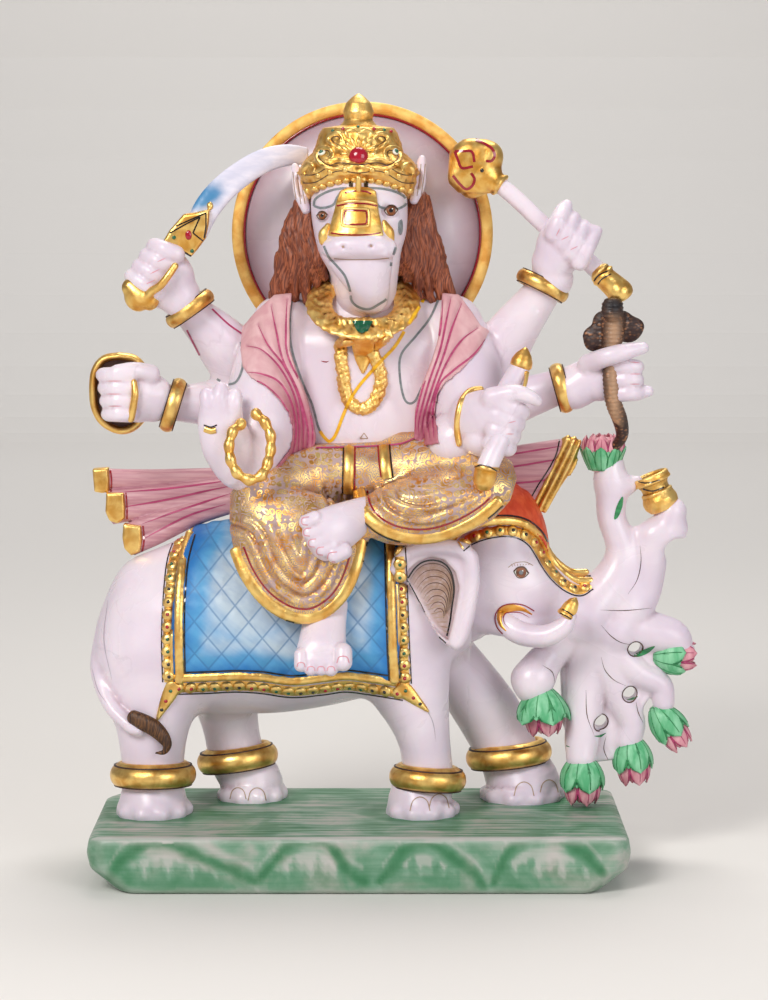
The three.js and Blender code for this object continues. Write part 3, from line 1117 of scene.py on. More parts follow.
class Effects:
    """Node groups that several finishes share, each built once."""

    made: dict[str, bpy.types.NodeTree] = {}

    @classmethod
    def begin(
        cls, name: str, ins: dict[str, float], outs: dict[str, str],
    ) -> tuple[Wires, dict, bpy.types.Node]:
        """Starts a group.

        Args:
            name: its name.
            ins: its inputs and their usual values.
            outs: its outputs and their socket types.

        Returns:
            Its wires, its inputs by name, and its output node.
        """
        tree = bpy.data.node_groups.new(name, "ShaderNodeTree")
        for key, value in ins.items():
            socket = tree.interface.new_socket(key, in_out="INPUT", socket_type="NodeSocketFloat")
            socket.default_value = value
        for key, kind in outs.items():
            tree.interface.new_socket(key, in_out="OUTPUT", socket_type=kind)
        cls.made[name] = tree
        wires = Wires(tree)
        gate = wires.node("NodeGroupInput")
        return wires, {key: gate.outputs[key] for key in ins}, wires.node("NodeGroupOutput")

    @classmethod
    def stone_grain(cls) -> bpy.types.NodeTree:
        """Clouds, thin veins and a fine tooth, as in polished marble.

        Returns:
            The shared group.
        """
        name = "stone grain"
        if name in cls.made:
            return cls.made[name]
        outs = {"Cloud": "NodeSocketFloat", "Vein": "NodeSocketFloat", "Height": "NodeSocketFloat"}
        w, ins, out = cls.begin(name, {"Scale": 14.0, "Vein Width": 0.02}, outs)
        cloud = w.noise(1.0, 5.0, swirl=0.6)
        w.tree.links.new(ins["Scale"], cloud.node.inputs["Scale"])
        wander = w.noise(1.0, 7.0, swirl=1.6)
        wander.node.inputs["Scale"].default_value = 9.0
        off = w.sum("ABSOLUTE", w.sum("SUBTRACT", wander, 0.5))
        vein = w.sum("SUBTRACT", 1.0, w.sum("DIVIDE", off, ins["Vein Width"], clamp=True), clamp=True)
        tooth = w.noise(900.0, 2.0)
        w.tree.links.new(w.between(cloud, 0.3, 0.7), out.inputs["Cloud"])
        w.tree.links.new(w.sum("MULTIPLY", vein, w.between(w.noise(22.0), 0.45, 0.7)), out.inputs["Vein"])
        w.tree.links.new(tooth, out.inputs["Height"])
        return w.tree

    @classmethod
    def ridge_light_hollow_shade(cls) -> bpy.types.NodeTree:
        """Where a surface stands out and where it lies deep, in patches; the finishes paint a highlight on
        the ridges and shade in the hollows from it.

        Returns:
            The shared group.
        """
        name = "ridge light hollow shade"
        if name in cls.made:
            return cls.made[name]
        outs = {"Ridge": "NodeSocketFloat", "Hollow": "NodeSocketFloat"}
        w, ins, out = cls.begin(name, {"Reach": 0.06, "Patchiness": 0.5}, outs)
        point = w.node("NewGeometry").outputs["Pointiness"]
        patches = w.sum("MULTIPLY_ADD", w.sum("SUBTRACT", w.noise(120.0), 0.5), ins["Patchiness"], 1.0)
        high = w.sum("DIVIDE", w.sum("SUBTRACT", point, 0.5), ins["Reach"])
        low = w.sum("DIVIDE", w.sum("SUBTRACT", 0.5, point), ins["Reach"])
        w.tree.links.new(w.sum("MULTIPLY", high, patches, clamp=True), out.inputs["Ridge"])
        w.tree.links.new(w.sum("MULTIPLY", low, patches, clamp=True), out.inputs["Hollow"])
        return w.tree

    @classmethod
    def leaf_crinkle(cls) -> bpy.types.NodeTree:
        """Tone, dullness and height of hand-laid gold leaf.

        Returns:
            The shared group.
        """
        name = "leaf crinkle"
        if name in cls.made:
            return cls.made[name]
        outs = {"Tone": "NodeSocketFloat", "Dull": "NodeSocketFloat", "Height": "NodeSocketFloat"}
        w, ins, out = cls.begin(name, {"Scale": 260.0}, outs)
        tone = w.noise(95.0, 5.0, swirl=0.4)
        fine = w.noise(1.0, 3.0, swirl=1.0)
        w.tree.links.new(ins["Scale"], fine.node.inputs["Scale"])
        w.tree.links.new(w.between(tone, 0.32, 0.68), out.inputs["Tone"])
        w.tree.links.new(w.between(w.noise(60.0, 3.0), 0.3, 0.75), out.inputs["Dull"])
        w.tree.links.new(fine, out.inputs["Height"])
        return w.tree

    @classmethod
    def brush_strokes(cls) -> bpy.types.NodeTree:
        """Streaks left by a brush drawn along X, and the ridges of the paint.

        Returns:
            The shared group.
        """
        name = "brush strokes"
        if name in cls.made:
            return cls.made[name]
        outs = {"Tone": "NodeSocketFloat", "Height": "NodeSocketFloat"}
        w, ins, out = cls.begin(name, {"Along": 25.0, "Across": 260.0, "Upright": 0.0}, outs)
        x, y, z = w.parts(w.place())
        along = w.sum(
            "ADD", w.sum("MULTIPLY", x, w.sum("SUBTRACT", 1.0, ins["Upright"])),
            w.sum("MULTIPLY", z, ins["Upright"]),
        )
        across = w.sum(
            "ADD", w.sum("MULTIPLY", z, w.sum("SUBTRACT", 1.0, ins["Upright"])),
            w.sum("MULTIPLY", x, ins["Upright"]),
        )
        joined = w.node(
            "CombineXYZ",
            {
                0: w.sum("MULTIPLY", along, ins["Along"]),
                1: w.sum("MULTIPLY", across, ins["Across"]),
                2: w.sum("MULTIPLY", y, ins["Across"]),
            },
        ).outputs[0]
        streak = w.noise(1.0, 3.0, where=joined, swirl=0.3)
        w.tree.links.new(w.between(streak, 0.3, 0.7), out.inputs["Tone"])
        w.tree.links.new(streak, out.inputs["Height"])
        return w.tree


def colour(red: int, green: int, blue: int) -> tuple[float, float, float, float]:
    """Returns a colour given in the usual 0 to 255 as the shader wants it.

    Args:
        red: its red.
        green: its green.
        blue: its blue.

    Returns:
        The colour with its cover.
    """
    parts = [c / 255 for c in (red, green, blue)]
    line = [c / 12.92 if c <= 0.04045 else ((c + 0.055) / 1.055) ** 2.4 for c in parts]
    return (*line, 1.0)


class Finish:
    """A finish: builds its material the first time that it is asked for."""

    name: str
    built: dict[str, bpy.types.Material] = {}

    def material(self) -> bpy.types.Material:
        """Returns the material, building it if it is new.

        Returns:
            The material.
        """
        if self.name not in Finish.built:
            made = bpy.data.materials.new(self.name)
            made.use_nodes = True
            made.node_tree.nodes.clear()
            wires = Wires(made.node_tree)
            shader = wires.node("BsdfPrincipled")
            out = wires.node("OutputMaterial")
            made.node_tree.links.new(shader.outputs[0], out.inputs["Surface"])
            self.wire(wires, shader)
            Finish.built[self.name] = made
        return Finish.built[self.name]

    def wire(self, w: Wires, shader: bpy.types.Node) -> None:
        """Joins the finish's nodes to the shader."""
        raise NotImplementedError

    @staticmethod
    def bump(w: Wires, shader: bpy.types.Node, height: Plug, strength: float, distance: float) -> None:
        """Puts a height onto the shader's normal."""
        ins = {"Strength": strength, "Distance": distance, "Height": height}
        w.tree.links.new(w.node("Bump", ins).outputs[0], shader.inputs["Normal"])

    @staticmethod
    def group(w: Wires, tree: bpy.types.NodeTree, **values: float) -> bpy.types.Node:
        """Places a shared group with its own values.

        Args:
            w: adds the nodes.
            tree: the group's tree.
            values: its own values, by the name of the input.

        Returns:
            The node that holds the group.
        """
        made = w.node("Group", node_tree=tree)
        for key, value in values.items():
            made.inputs[key.replace("_", " ")].default_value = value
        return made

    @staticmethod
    def tint(w: Wires, name: str) -> bpy.types.NodeSocket:
        """Returns a value painted onto the mesh."""
        return w.node("Attribute", attribute_name=name).outputs["Fac"]


@dataclass(frozen=True)
class Marble(Finish):
    """Polished marble with lilac clouds, faint veins and a painted warm shade in its hollows."""

    name: str = "polished_marble"
    light: tuple = colour(232, 220, 228)
    cloud: tuple = colour(214, 199, 213)
    vein: tuple = colour(176, 160, 172)
    # The colour of the painted shade in the hollows.
    hollow: tuple = colour(172, 136, 146)
    soft: float = 0.12
    blush: tuple | None = None

    def wire(self, w: Wires, shader: bpy.types.Node) -> None:
        """Joins the finish's nodes to the shader.

        Args:
            w: adds the nodes.
            shader: the node that they feed.
        """
        grain = self.group(w, Effects.stone_grain(), Scale=14.0, Vein_Width=0.012)
        relief_shading = self.group(w, Effects.ridge_light_hollow_shade(), Reach=0.07, Patchiness=0.3)
        base = w.mix(grain.outputs["Cloud"], self.light, self.cloud)
        base = w.mix(w.sum("MULTIPLY", grain.outputs["Vein"], 0.22), base, self.vein)
        # Painted shade: the hollows go over to the warm darker colour.
        base = w.mix(w.sum("MULTIPLY", relief_shading.outputs["Hollow"], 0.75), base, self.hollow)
        if self.blush is not None:
            ragged = w.sum(
                "MULTIPLY", self.tint(w, "blush"),
                w.sum("MULTIPLY_ADD", w.between(w.noise(260.0, 4.0), 0.2, 0.6), 0.3, 0.7),
            )
            base = w.mix(ragged, base, self.blush)
        rough = w.sum("MULTIPLY_ADD", grain.outputs["Cloud"], 0.1, 0.24)
        w.tree.links.new(base, shader.inputs["Base Color"])
        w.tree.links.new(rough, shader.inputs["Roughness"])
        shader.inputs["Specular IOR Level"].default_value = 0.5
        shader.inputs["Subsurface Weight"].default_value = self.soft
        shader.inputs["Subsurface Scale"].default_value = 0.004
        self.bump(w, shader, grain.outputs["Height"], 0.04, 0.0002)


@dataclass(frozen=True)
class GoldLeaf(Finish):
    """Gold leaf with crinkles, a painted highlight on its ridges and painted umber shade in its hollows."""

    name: str = "gold_leaf"
    bright: tuple = colour(252, 211, 124)
    deep: tuple = colour(220, 156, 64)
    # The colour of the painted shade in the hollows.
    umber: tuple = colour(96, 52, 14)
    relief: float = 0.35
    rough: float = 0.31
    hollow_shade: float = 0.85
    reach: float = 0.045
    ridge_highlight: tuple = colour(255, 226, 150)

    def wire(self, w: Wires, shader: bpy.types.Node) -> None:
        """Joins the finish's nodes to the shader.

        Args:
            w: adds the nodes.
            shader: the node that they feed.
        """
        leaf = self.group(w, Effects.leaf_crinkle(), Scale=260.0)
        relief_shading = self.group(w, Effects.ridge_light_hollow_shade(), Reach=self.reach, Patchiness=0.6)
        base = w.mix(leaf.outputs["Tone"], self.deep, self.bright)
        # Painted highlight on the ridges and painted shade in the hollows.
        base = w.mix(w.sum("MULTIPLY", relief_shading.outputs["Ridge"], 0.5), base, self.ridge_highlight)
        base = w.mix(w.sum("MULTIPLY", relief_shading.outputs["Hollow"], self.hollow_shade), base, self.umber)
        rough = w.sum("MULTIPLY_ADD", leaf.outputs["Dull"], 0.14, self.rough)
        rough = w.sum("ADD", rough, w.sum("MULTIPLY", relief_shading.outputs["Hollow"], 0.25))
        w.tree.links.new(base, shader.inputs["Base Color"])
        w.tree.links.new(rough, shader.inputs["Roughness"])
        shader.inputs["Metallic"].default_value = 1.0
        self.bump(w, shader, leaf.outputs["Height"], self.relief, 0.0006)


@dataclass(frozen=True)
class Painted(Finish):
    """Brushed paint on stone, in two tones, with painted shade in its hollows.

    Tinted pieces go over to the third colour where their tint says so.
    """

    name: str = "paint"
    light: tuple = colour(210, 160, 170)
    dark: tuple = colour(180, 120, 135)
    # The colour of the painted shade in the hollows; depth says how strong it is.
    hollow: tuple = colour(120, 50, 80)
    third: tuple | None = None
    along: float = 25.0
    across: float = 260.0
    upright: float = 0.0
    depth: float = 0.6
    rough: float = 0.42

    def wire(self, w: Wires, shader: bpy.types.Node) -> None:
        """Joins the finish's nodes to the shader.

        Args:
            w: adds the nodes.
            shader: the node that they feed.
        """
        values = {"Along": self.along, "Across": self.across, "Upright": self.upright}
        strokes = self.group(w, Effects.brush_strokes(), **values)
        relief_shading = self.group(w, Effects.ridge_light_hollow_shade(), Reach=0.08, Patchiness=0.4)
        base = w.mix(strokes.outputs["Tone"], self.light, self.dark)
        if self.third is not None:
            ragged = w.sum("MULTIPLY_ADD", w.sum("SUBTRACT", w.noise(140.0), 0.5), 0.35, self.tint(w, "tint"))
            base = w.mix(w.between(ragged, 0.08, 0.92), base, self.third)
        # Painted shade in the hollows.
        base = w.mix(w.sum("MULTIPLY", relief_shading.outputs["Hollow"], self.depth), base, self.hollow)
        rough = w.sum("MULTIPLY_ADD", strokes.outputs["Tone"], 0.12, self.rough)
        w.tree.links.new(base, shader.inputs["Base Color"])
        w.tree.links.new(rough, shader.inputs["Roughness"])
        self.bump(w, shader, strokes.outputs["Height"], 0.15, 0.0003)


@dataclass(frozen=True)
class Enamel(Finish):
    """A glossy drop of enamel, with painted shade at its rim."""

    name: str = "enamel"
    light: tuple = colour(190, 20, 45)
    deep: tuple = colour(110, 0, 20)

    def wire(self, w: Wires, shader: bpy.types.Node) -> None:
        """Joins the finish's nodes to the shader.

        Args:
            w: adds the nodes.
            shader: the node that they feed.
        """
        relief_shading = self.group(w, Effects.ridge_light_hollow_shade(), Reach=0.1, Patchiness=0.4)
        base = w.mix(w.noise(420.0, 2.0), self.light, self.deep)
        # Painted shade where the drop meets the surface.
        base = w.mix(relief_shading.outputs["Hollow"], base, self.deep)
        w.tree.links.new(base, shader.inputs["Base Color"])
        w.tree.links.new(w.sum("MULTIPLY_ADD", w.noise(300.0), 0.1, 0.12), shader.inputs["Roughness"])
        shader.inputs["Coat Weight"].default_value = 0.5


@dataclass(frozen=True)
class Brocade(Finish):
    """Gold flowers, scales and scrolls painted on a mauve-grey ground."""

    name: str = "brocade"
    ground: tuple = colour(176, 150, 148)
    cloth_hollow_shade: tuple = colour(134, 96, 84)
    bright: tuple = colour(255, 222, 146)
    deep: tuple = colour(214, 150, 70)
    flower: float = 92.0
    scale: float = 205.0
    gold_hollow_shade: tuple = colour(140, 74, 28)

    def wire(self, w: Wires, shader: bpy.types.Node) -> None:
        """Joins the finish's nodes to the shader.

        Args:
            w: adds the nodes.
            shader: the node that they feed.
        """
        drift = w.node(
            "VectorMath",
            {0: w.node("TexNoise", {"Vector": w.place(), "Scale": 60.0}).outputs["Color"], "Scale": 0.006},
            operation="SCALE",
        ).outputs[0]
        where = w.node("VectorMath", {0: w.place(), 1: drift}, operation="ADD").outputs[0]
        cell = w.node("TexVoronoi", {"Vector": where, "Scale": self.flower, "Randomness": 0.75})
        local = w.node("VectorMath", {0: where, 1: cell.outputs["Position"]}, operation="SUBTRACT").outputs[0]
        lx, ly, lz = w.parts(local)
        turn = w.sum("ARCTAN2", lz, w.sum("ADD", lx, w.sum("MULTIPLY", ly, 0.4)))
        gap = cell.outputs["Distance"]
        petal = w.sum("MULTIPLY_ADD", w.sum("COSINE", w.sum("MULTIPLY", turn, 5.0)), 0.12, gap)
        rings = w.sum("SINE", w.sum("MULTIPLY_ADD", petal, 30.0, w.sum("MULTIPLY", turn, 1.0)))
        curls = w.between(rings, -0.55, -0.15)
        small = w.node(
            "TexVoronoi", {"Vector": where, "Scale": self.scale, "Randomness": 0.4},
        ).outputs["Distance"]
        ring = w.between(w.sum("ABSOLUTE", w.sum("SUBTRACT", small, 0.27)), 0.07, 0.03)
        scales = w.sum("MULTIPLY", w.between(small, 0.56, 0.48), w.sum("MULTIPLY_ADD", ring, -0.75, 1.0))
        chosen = w.between(w.noise(38.0, 1.0), 0.46, 0.54)
        gold = w.sum(
            "ADD", w.sum("MULTIPLY", curls, chosen),
            w.sum("MULTIPLY", scales, w.sum("SUBTRACT", 1.0, chosen)),
        )
        rubbed = w.sum("MULTIPLY", gold, w.between(w.noise(170.0, 4.0), 0.22, 0.4))
        leaf = self.group(w, Effects.leaf_crinkle(), Scale=300.0)
        relief_shading = self.group(w, Effects.ridge_light_hollow_shade(), Reach=0.05, Patchiness=0.4)
        base = w.mix(leaf.outputs["Tone"], self.deep, self.bright)
        # Painted shade in the hollows of the folds, on the gold and on the cloth.
        base = w.mix(w.sum("MULTIPLY", relief_shading.outputs["Hollow"], 0.7), base, self.gold_hollow_shade)
        cloth = w.mix(relief_shading.outputs["Hollow"], self.ground, self.cloth_hollow_shade)
        w.tree.links.new(w.mix(rubbed, cloth, base), shader.inputs["Base Color"])
        w.tree.links.new(w.sum("MULTIPLY", rubbed, 0.96), shader.inputs["Metallic"])
        rough = w.sum("MULTIPLY_ADD", leaf.outputs["Dull"], 0.12, w.sum("MULTIPLY_ADD", rubbed, -0.2, 0.5))
        w.tree.links.new(rough, shader.inputs["Roughness"])
        height = w.sum("MULTIPLY_ADD", leaf.outputs["Height"], 0.3, rubbed)
        self.bump(w, shader, height, 0.24, 0.0004)


@dataclass(frozen=True)
class QuiltedBlue(Finish):
    """Blue wash, deep at the edges and pale in the middle, ruled into diamonds."""

    name: str = "quilted_blue"
    deep: tuple = colour(8, 104, 180)
    middle: tuple = colour(84, 158, 206)
    pale: tuple = colour(184, 202, 216)
    line: tuple = colour(50, 104, 156)
    pitch: tuple = (21.2, 25.2)

    def wire(self, w: Wires, shader: bpy.types.Node) -> None:
        """Joins the finish's nodes to the shader.

        Args:
            w: adds the nodes.
            shader: the node that they feed.
        """
        strokes = self.group(w, Effects.brush_strokes(), Along=90.0, Across=190.0, Upright=0.4)
        wash = w.sum("MULTIPLY_ADD", w.sum("SUBTRACT", w.noise(75.0, 3.0), 0.5), 0.3, self.tint(w, "tint"))
        base = w.mix(w.between(wash, -0.05, 0.4), self.deep, self.middle)
        base = w.mix(w.between(wash, 0.34, 0.85), base, self.pale)
        base = w.mix(w.sum("MULTIPLY", strokes.outputs["Tone"], 0.22), base, self.deep)
        x, _, z = w.parts(w.place())
        a, b = w.sum("DIVIDE", x, self.pitch[0] * MM), w.sum("DIVIDE", z, self.pitch[1] * MM)
        seams = []
        for ruled in (w.sum("ADD", a, b), w.sum("SUBTRACT", a, b)):
            off = w.sum("ABSOLUTE", w.sum("SUBTRACT", ruled, w.sum("ROUND", ruled)))
            seams.append(w.between(off, 0.075, 0.0))
        base = w.mix(w.sum("MULTIPLY", w.sum("MAXIMUM", *seams), 0.6), base, self.line)
        w.tree.links.new(base, shader.inputs["Base Color"])
        w.tree.links.new(
            w.sum("MULTIPLY_ADD", strokes.outputs["Tone"], 0.12, 0.46), shader.inputs["Roughness"],
        )
        self.bump(w, shader, strokes.outputs["Height"], 0.12, 0.0003)


@dataclass(frozen=True)
class Strands(Finish):
    """Brown paint combed into strands that follow the hair down."""

    name: str = "hair_brown"
    light: tuple = colour(176, 100, 66)
    dark: tuple = colour(92, 38, 22)
    turn: float = 0.0

    def wire(self, w: Wires, shader: bpy.types.Node) -> None:
        """Joins the finish's nodes to the shader.

        Args:
            w: adds the nodes.
            shader: the node that they feed.
        """
        wave = w.sum("MULTIPLY", w.sum("SINE", w.sum("MULTIPLY", w.parts(w.place())[2], 140.0)), 0.0022)
        bent = w.node("CombineXYZ", {0: wave, 1: 0.0, 2: 0.0}).outputs[0]
        moved = w.node("VectorMath", {0: w.place(), 1: bent}, operation="ADD").outputs[0]
        ins = {"Vector": moved, "Rotation": (0.0, self.turn, 0.0), "Scale": (1100.0, 600.0, 60.0)}
        streak = w.noise(1.0, 3.0, where=w.node("Mapping", ins).outputs[0], swirl=0.4)
        base = w.mix(w.between(streak, 0.35, 0.68), self.dark, self.light)
        lock = w.between(w.noise(90.0, 2.0), 0.3, 0.7)
        base = w.mix(w.sum("MULTIPLY", lock, 0.35), base, self.dark)
        w.tree.links.new(base, shader.inputs["Base Color"])
        w.tree.links.new(w.sum("MULTIPLY_ADD", streak, 0.2, 0.4), shader.inputs["Roughness"])
        self.bump(w, shader, streak, 0.6, 0.0007)


@dataclass(frozen=True)
class Scales(Finish):
    """A snake's scales in brown and black over a paler belly."""

    name: str = "snake_scales"
    light: tuple = colour(160, 108, 72)
    dark: tuple = colour(48, 26, 22)
    belly: tuple = colour(190, 150, 116)
    night: tuple = colour(22, 16, 20)

    def wire(self, w: Wires, shader: bpy.types.Node) -> None:
        """Joins the finish's nodes to the shader.

        Args:
            w: adds the nodes.
            shader: the node that they feed.
        """
        cell = w.node("TexVoronoi", {"Vector": w.stretched((1.0, 1.0, 1.5)), "Scale": 300.0})
        blot = w.between(w.noise(150.0, 2.0), 0.36, 0.52)
        base = w.mix(w.between(cell.outputs["Distance"], 0.2, 0.6), self.light, self.dark)
        base = w.mix(w.sum("MULTIPLY", blot, 0.82), base, self.dark)
        base = w.mix(w.sum("MULTIPLY", self.tint(w, "tint"), 0.8), base, self.belly)
        base = w.mix(self.tint(w, "hill"), base, self.night)
        w.tree.links.new(base, shader.inputs["Base Color"])
        w.tree.links.new(w.sum("MULTIPLY_ADD", blot, 0.15, 0.35), shader.inputs["Roughness"])
        self.bump(w, shader, w.sum("SUBTRACT", 1.0, cell.outputs["Distance"]), 0.5, 0.0005)


@dataclass(frozen=True)
class GreenWash(Finish):
    """Thin green washes brushed over pale stone, with painted hills on the front and a painted highlight on
    its edges.
    """

    name: str = "green_wash"
    stone: tuple = colour(178, 172, 166)
    pale: tuple = colour(116, 154, 130)
    green: tuple = colour(50, 118, 76)
    dark: tuple = colour(18, 78, 40)
    bare_stone_and_highlight: tuple = colour(202, 194, 192)

    def wire(self, w: Wires, shader: bpy.types.Node) -> None:
        """Joins the finish's nodes to the shader.

        Args:
            w: adds the nodes.
            shader: the node that they feed.
        """
        strokes = self.group(w, Effects.brush_strokes(), Along=14.0, Across=300.0, Upright=0.0)
        grain = self.group(w, Effects.stone_grain(), Scale=22.0, Vein_Width=0.03)
        lying = w.between(w.parts(w.node("NewGeometry").outputs["Normal"])[2], 0.3, 0.8)
        relief_shading = self.group(w, Effects.ridge_light_hollow_shade(), Reach=0.05, Patchiness=0.8)
        brushed = w.sum("MULTIPLY", strokes.outputs["Tone"], w.sum("MULTIPLY_ADD", lying, 0.43, 0.12))
        wash = w.sum(
            "MULTIPLY_ADD", grain.outputs["Cloud"], 0.5,
            w.sum("ADD", brushed, w.sum("MULTIPLY_ADD", lying, -0.16, 0.2)),
        )
        base = w.mix(w.between(wash, 0.1, 0.62), self.stone, self.pale)
        base = w.mix(w.between(wash, 0.45, 1.0), base, self.green)
        smear = w.sum("MULTIPLY", w.sum("SUBTRACT", w.noise(110.0, 4.0), 0.5), 0.45)
        hill = w.sum("ADD", self.tint(w, "hill"), smear)
        base = w.mix(w.between(self.tint(w, "bare_stone_and_highlight"), 0.1, 0.9), base, self.bare_stone_and_highlight)
        base = w.mix(w.sum("MULTIPLY", w.between(hill, 0.25, 1.0), 0.92), base, self.green)
        base = w.mix(w.sum("MULTIPLY", w.between(hill, 0.75, 1.35), 0.8), base, self.dark)
        # Painted highlight: the raised edges go pale.
        base = w.mix(w.sum("MULTIPLY", relief_shading.outputs["Ridge"], 0.35), base, self.bare_stone_and_highlight)
        w.tree.links.new(base, shader.inputs["Base Color"])
        w.tree.links.new(
            w.sum("MULTIPLY_ADD", strokes.outputs["Tone"], 0.15, 0.38), shader.inputs["Roughness"],
        )
        self.bump(w, shader, strokes.outputs["Height"], 0.25, 0.0004)


MARBLE = Marble()
GOLD = GoldLeaf()
RELIEF_GOLD = GoldLeaf(
    name="relief_gold", bright=colour(255, 216, 132), deep=colour(232, 172, 80), relief=0.6, rough=0.36,
    hollow_shade=1.0, reach=0.045,
)
RIM_GOLD = GoldLeaf(
    name="rim_gold", bright=colour(255, 224, 146), deep=colour(240, 190, 104), relief=0.3, rough=0.45,
    hollow_shade=0.0,
)
ORANGE_GOLD = GoldLeaf(name="orange_gold", bright=colour(240, 168, 60), deep=colour(204, 112, 30))


class Tone(Enum):
    """Line and spot colours."""

    BLACK = Enamel("black_line", colour(34, 22, 22), colour(16, 10, 10))
    UMBER = Painted("umber_line", colour(92, 58, 40), colour(62, 36, 24), colour(40, 20, 14))
    RED = Enamel("red_line", colour(164, 28, 44), colour(120, 10, 28))
    RUBY = Enamel("ruby", colour(196, 10, 44), colour(120, 0, 24))
    EMERALD = Enamel("emerald", colour(10, 110, 70), colour(0, 60, 40))
    MAGENTA = Painted("magenta_line", colour(188, 72, 116), colour(156, 44, 92), colour(110, 24, 64))
    ROSE = Painted("rose_line", colour(222, 160, 170), colour(208, 136, 150), colour(180, 100, 120))
    TAN = Painted("tan_line", colour(178, 150, 128), colour(156, 126, 104), colour(120, 90, 70))
    GREY = Painted("grey_line", colour(138, 144, 146), colour(112, 118, 122), colour(84, 90, 94))
    FAINT = Painted("faint_line", colour(190, 176, 186), colour(176, 162, 174), colour(150, 130, 146))
    BROWN = Painted("iris_brown", colour(150, 84, 40), colour(96, 50, 24), colour(50, 24, 14))
    YELLOW = Painted("yellow_thread", colour(244, 192, 30), colour(226, 164, 16), colour(170, 110, 10))
    LEAF = Painted("leaf_green", colour(60, 150, 92), colour(28, 112, 66), colour(10, 76, 40))
    WHITE = Painted("white_spot", colour(240, 240, 232), colour(214, 220, 210), colour(150, 170, 150))


def piece(
    name: str,
    source: Shell | Heap,
    finish: Finish,
    tints: dict[str, Array] | None = None,
) -> None:
    """Makes a piece of the model.

    Args:
        name: its name.
        source: its corners and faces, in millimetres.
        finish: what it is finished with.
        tints: values from 0 to 1 for each corner, by name.
    """
    corners = source.corners if isinstance(source, Shell) else np.vstack(source.corners)
    faces = source.faces
    sizes = [len(face) for face in faces]
    flat = np.asarray(faces).ravel() if isinstance(source, Shell) else [i for f in faces for i in f]
    mesh = bpy.data.meshes.new(name)
    mesh.vertices.add(len(corners))
    mesh.vertices.foreach_set("co", (np.asarray(corners) * MM).astype(np.float32).ravel())
    mesh.loops.add(len(flat))
    mesh.loops.foreach_set("vertex_index", np.asarray(flat, dtype=np.int32))
    mesh.polygons.add(len(sizes))
    mesh.polygons.foreach_set("loop_start", np.cumsum([0, *sizes[:-1]]).astype(np.int32))
    mesh.update(calc_edges=True)
    mesh.validate()
    mesh.shade_smooth()
    for key, values in (tints or {}).items():
        layer = mesh.attributes.new(key, "FLOAT", "POINT")
        layer.data.foreach_set("value", np.clip(values, 0, 1).astype(np.float32))
    mesh.materials.append(finish.material())
    made = bpy.data.objects.new(name, mesh)
    bpy.context.scene.collection.objects.link(made)
    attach(made, "root")
    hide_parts(CARVED_NODE)
    LOG.info("%s: %d triangles", name, sum(s - 2 for s in sizes))


# The carving, part by part


EYE = Eye()
FRONT = Straight(1.0)
BEHIND = Straight(-1.0)
PIXELS_TO_MM = 0.78
CROWN_MIDDLE = 358.5
BODY_MIDDLE = 32.0
SADDLE_FRONT = -38.0
HEAD_CLOTH_FRONT = -12.0
SLAB_TOP = 43.5


def seen(rows: Sequence[Sequence[float]]) -> list[tuple[float, ...]]:
    """Turns rows (pixel, pixel, depth, ...) into rows (x, y, z, ...).

    Args:
        rows: marks of the picture with the depth that each lies at; further values stay.

    Returns:
        The rows in millimetres.
    """
    made = []
    for u, v, depth, *rest in rows:
        start, aim = EYE.ray(u, v)
        spot = start + aim * ((depth - start.y) / aim.y)
        made.append((spot.x, depth, spot.z, *rest))
    return made


def traced(marks: Sequence[Flat], depth: float) -> list[Flat]:
    """Turns picture marks into an outline (x, z) at one depth."""
    return [(x, z) for x, _, z in seen([(u, v, depth) for u, v in marks])]


def marks_of(corners: Array) -> Array:
    """Returns the picture marks of corners in millimetres.

    Args:
        corners: the corners, one a row.

    Returns:
        One mark a corner, across and down.
    """
    away = corners - np.array(EYE.place)
    ahead = away[:, 1] * math.cos(EYE.droop) - away[:, 2] * math.sin(EYE.droop)
    above = away[:, 1] * math.sin(EYE.droop) + away[:, 2] * math.cos(EYE.droop)
    right = away[:, 0] / ahead * EYE.focal + EYE.middle[0]
    return np.stack([right, EYE.middle[1] - above / ahead * EYE.focal], axis=1)


def path_distance(path: Sequence[Flat], u: Array, v: Array) -> Array:
    """Returns how far marks lie from an open path.

    Args:
        path: the open path.
        u: the marks across.
        v: the marks down.

    Returns:
        The distance at each mark.
    """
    nearest = np.full(u.shape, np.inf)
    for (ax, ay), (bx, by) in zip(path[:-1], path[1:]):
        ex, ey = bx - ax, by - ay
        t = np.clip(((u - ax) * ex + (v - ay) * ey) / max(ex * ex + ey * ey, TINY), 0, 1)
        nearest = np.minimum(nearest, np.hypot(u - ax - ex * t, v - ay - ey * t))
    return nearest


def spot_light(marks: Array, middle: Flat, radii: Flat) -> Array:
    """Returns 1 at a picture mark, fading to 0 about an oval round it."""
    away = ((marks[:, 0] - middle[0]) / radii[0]) ** 2 + ((marks[:, 1] - middle[1]) / radii[1]) ** 2
    return np.exp(-away)


def bore(x: float, z: float, radius: float) -> Made:
    """Returns a round hole through the carving, from front to back.

    Args:
        x: where it is across.
        z: how high it is.
        radius: its radius.

    Returns:
        The form to cut away.
    """

    def rule(px: Array, py: Array, pz: Array) -> Array:
        """Returns the distance to the hole."""
        return np.hypot(px - x, pz - z) - radius + 0 * py

    return Made((x - radius, -150.0, z - radius), (x + radius, 150.0, z + radius), rule)


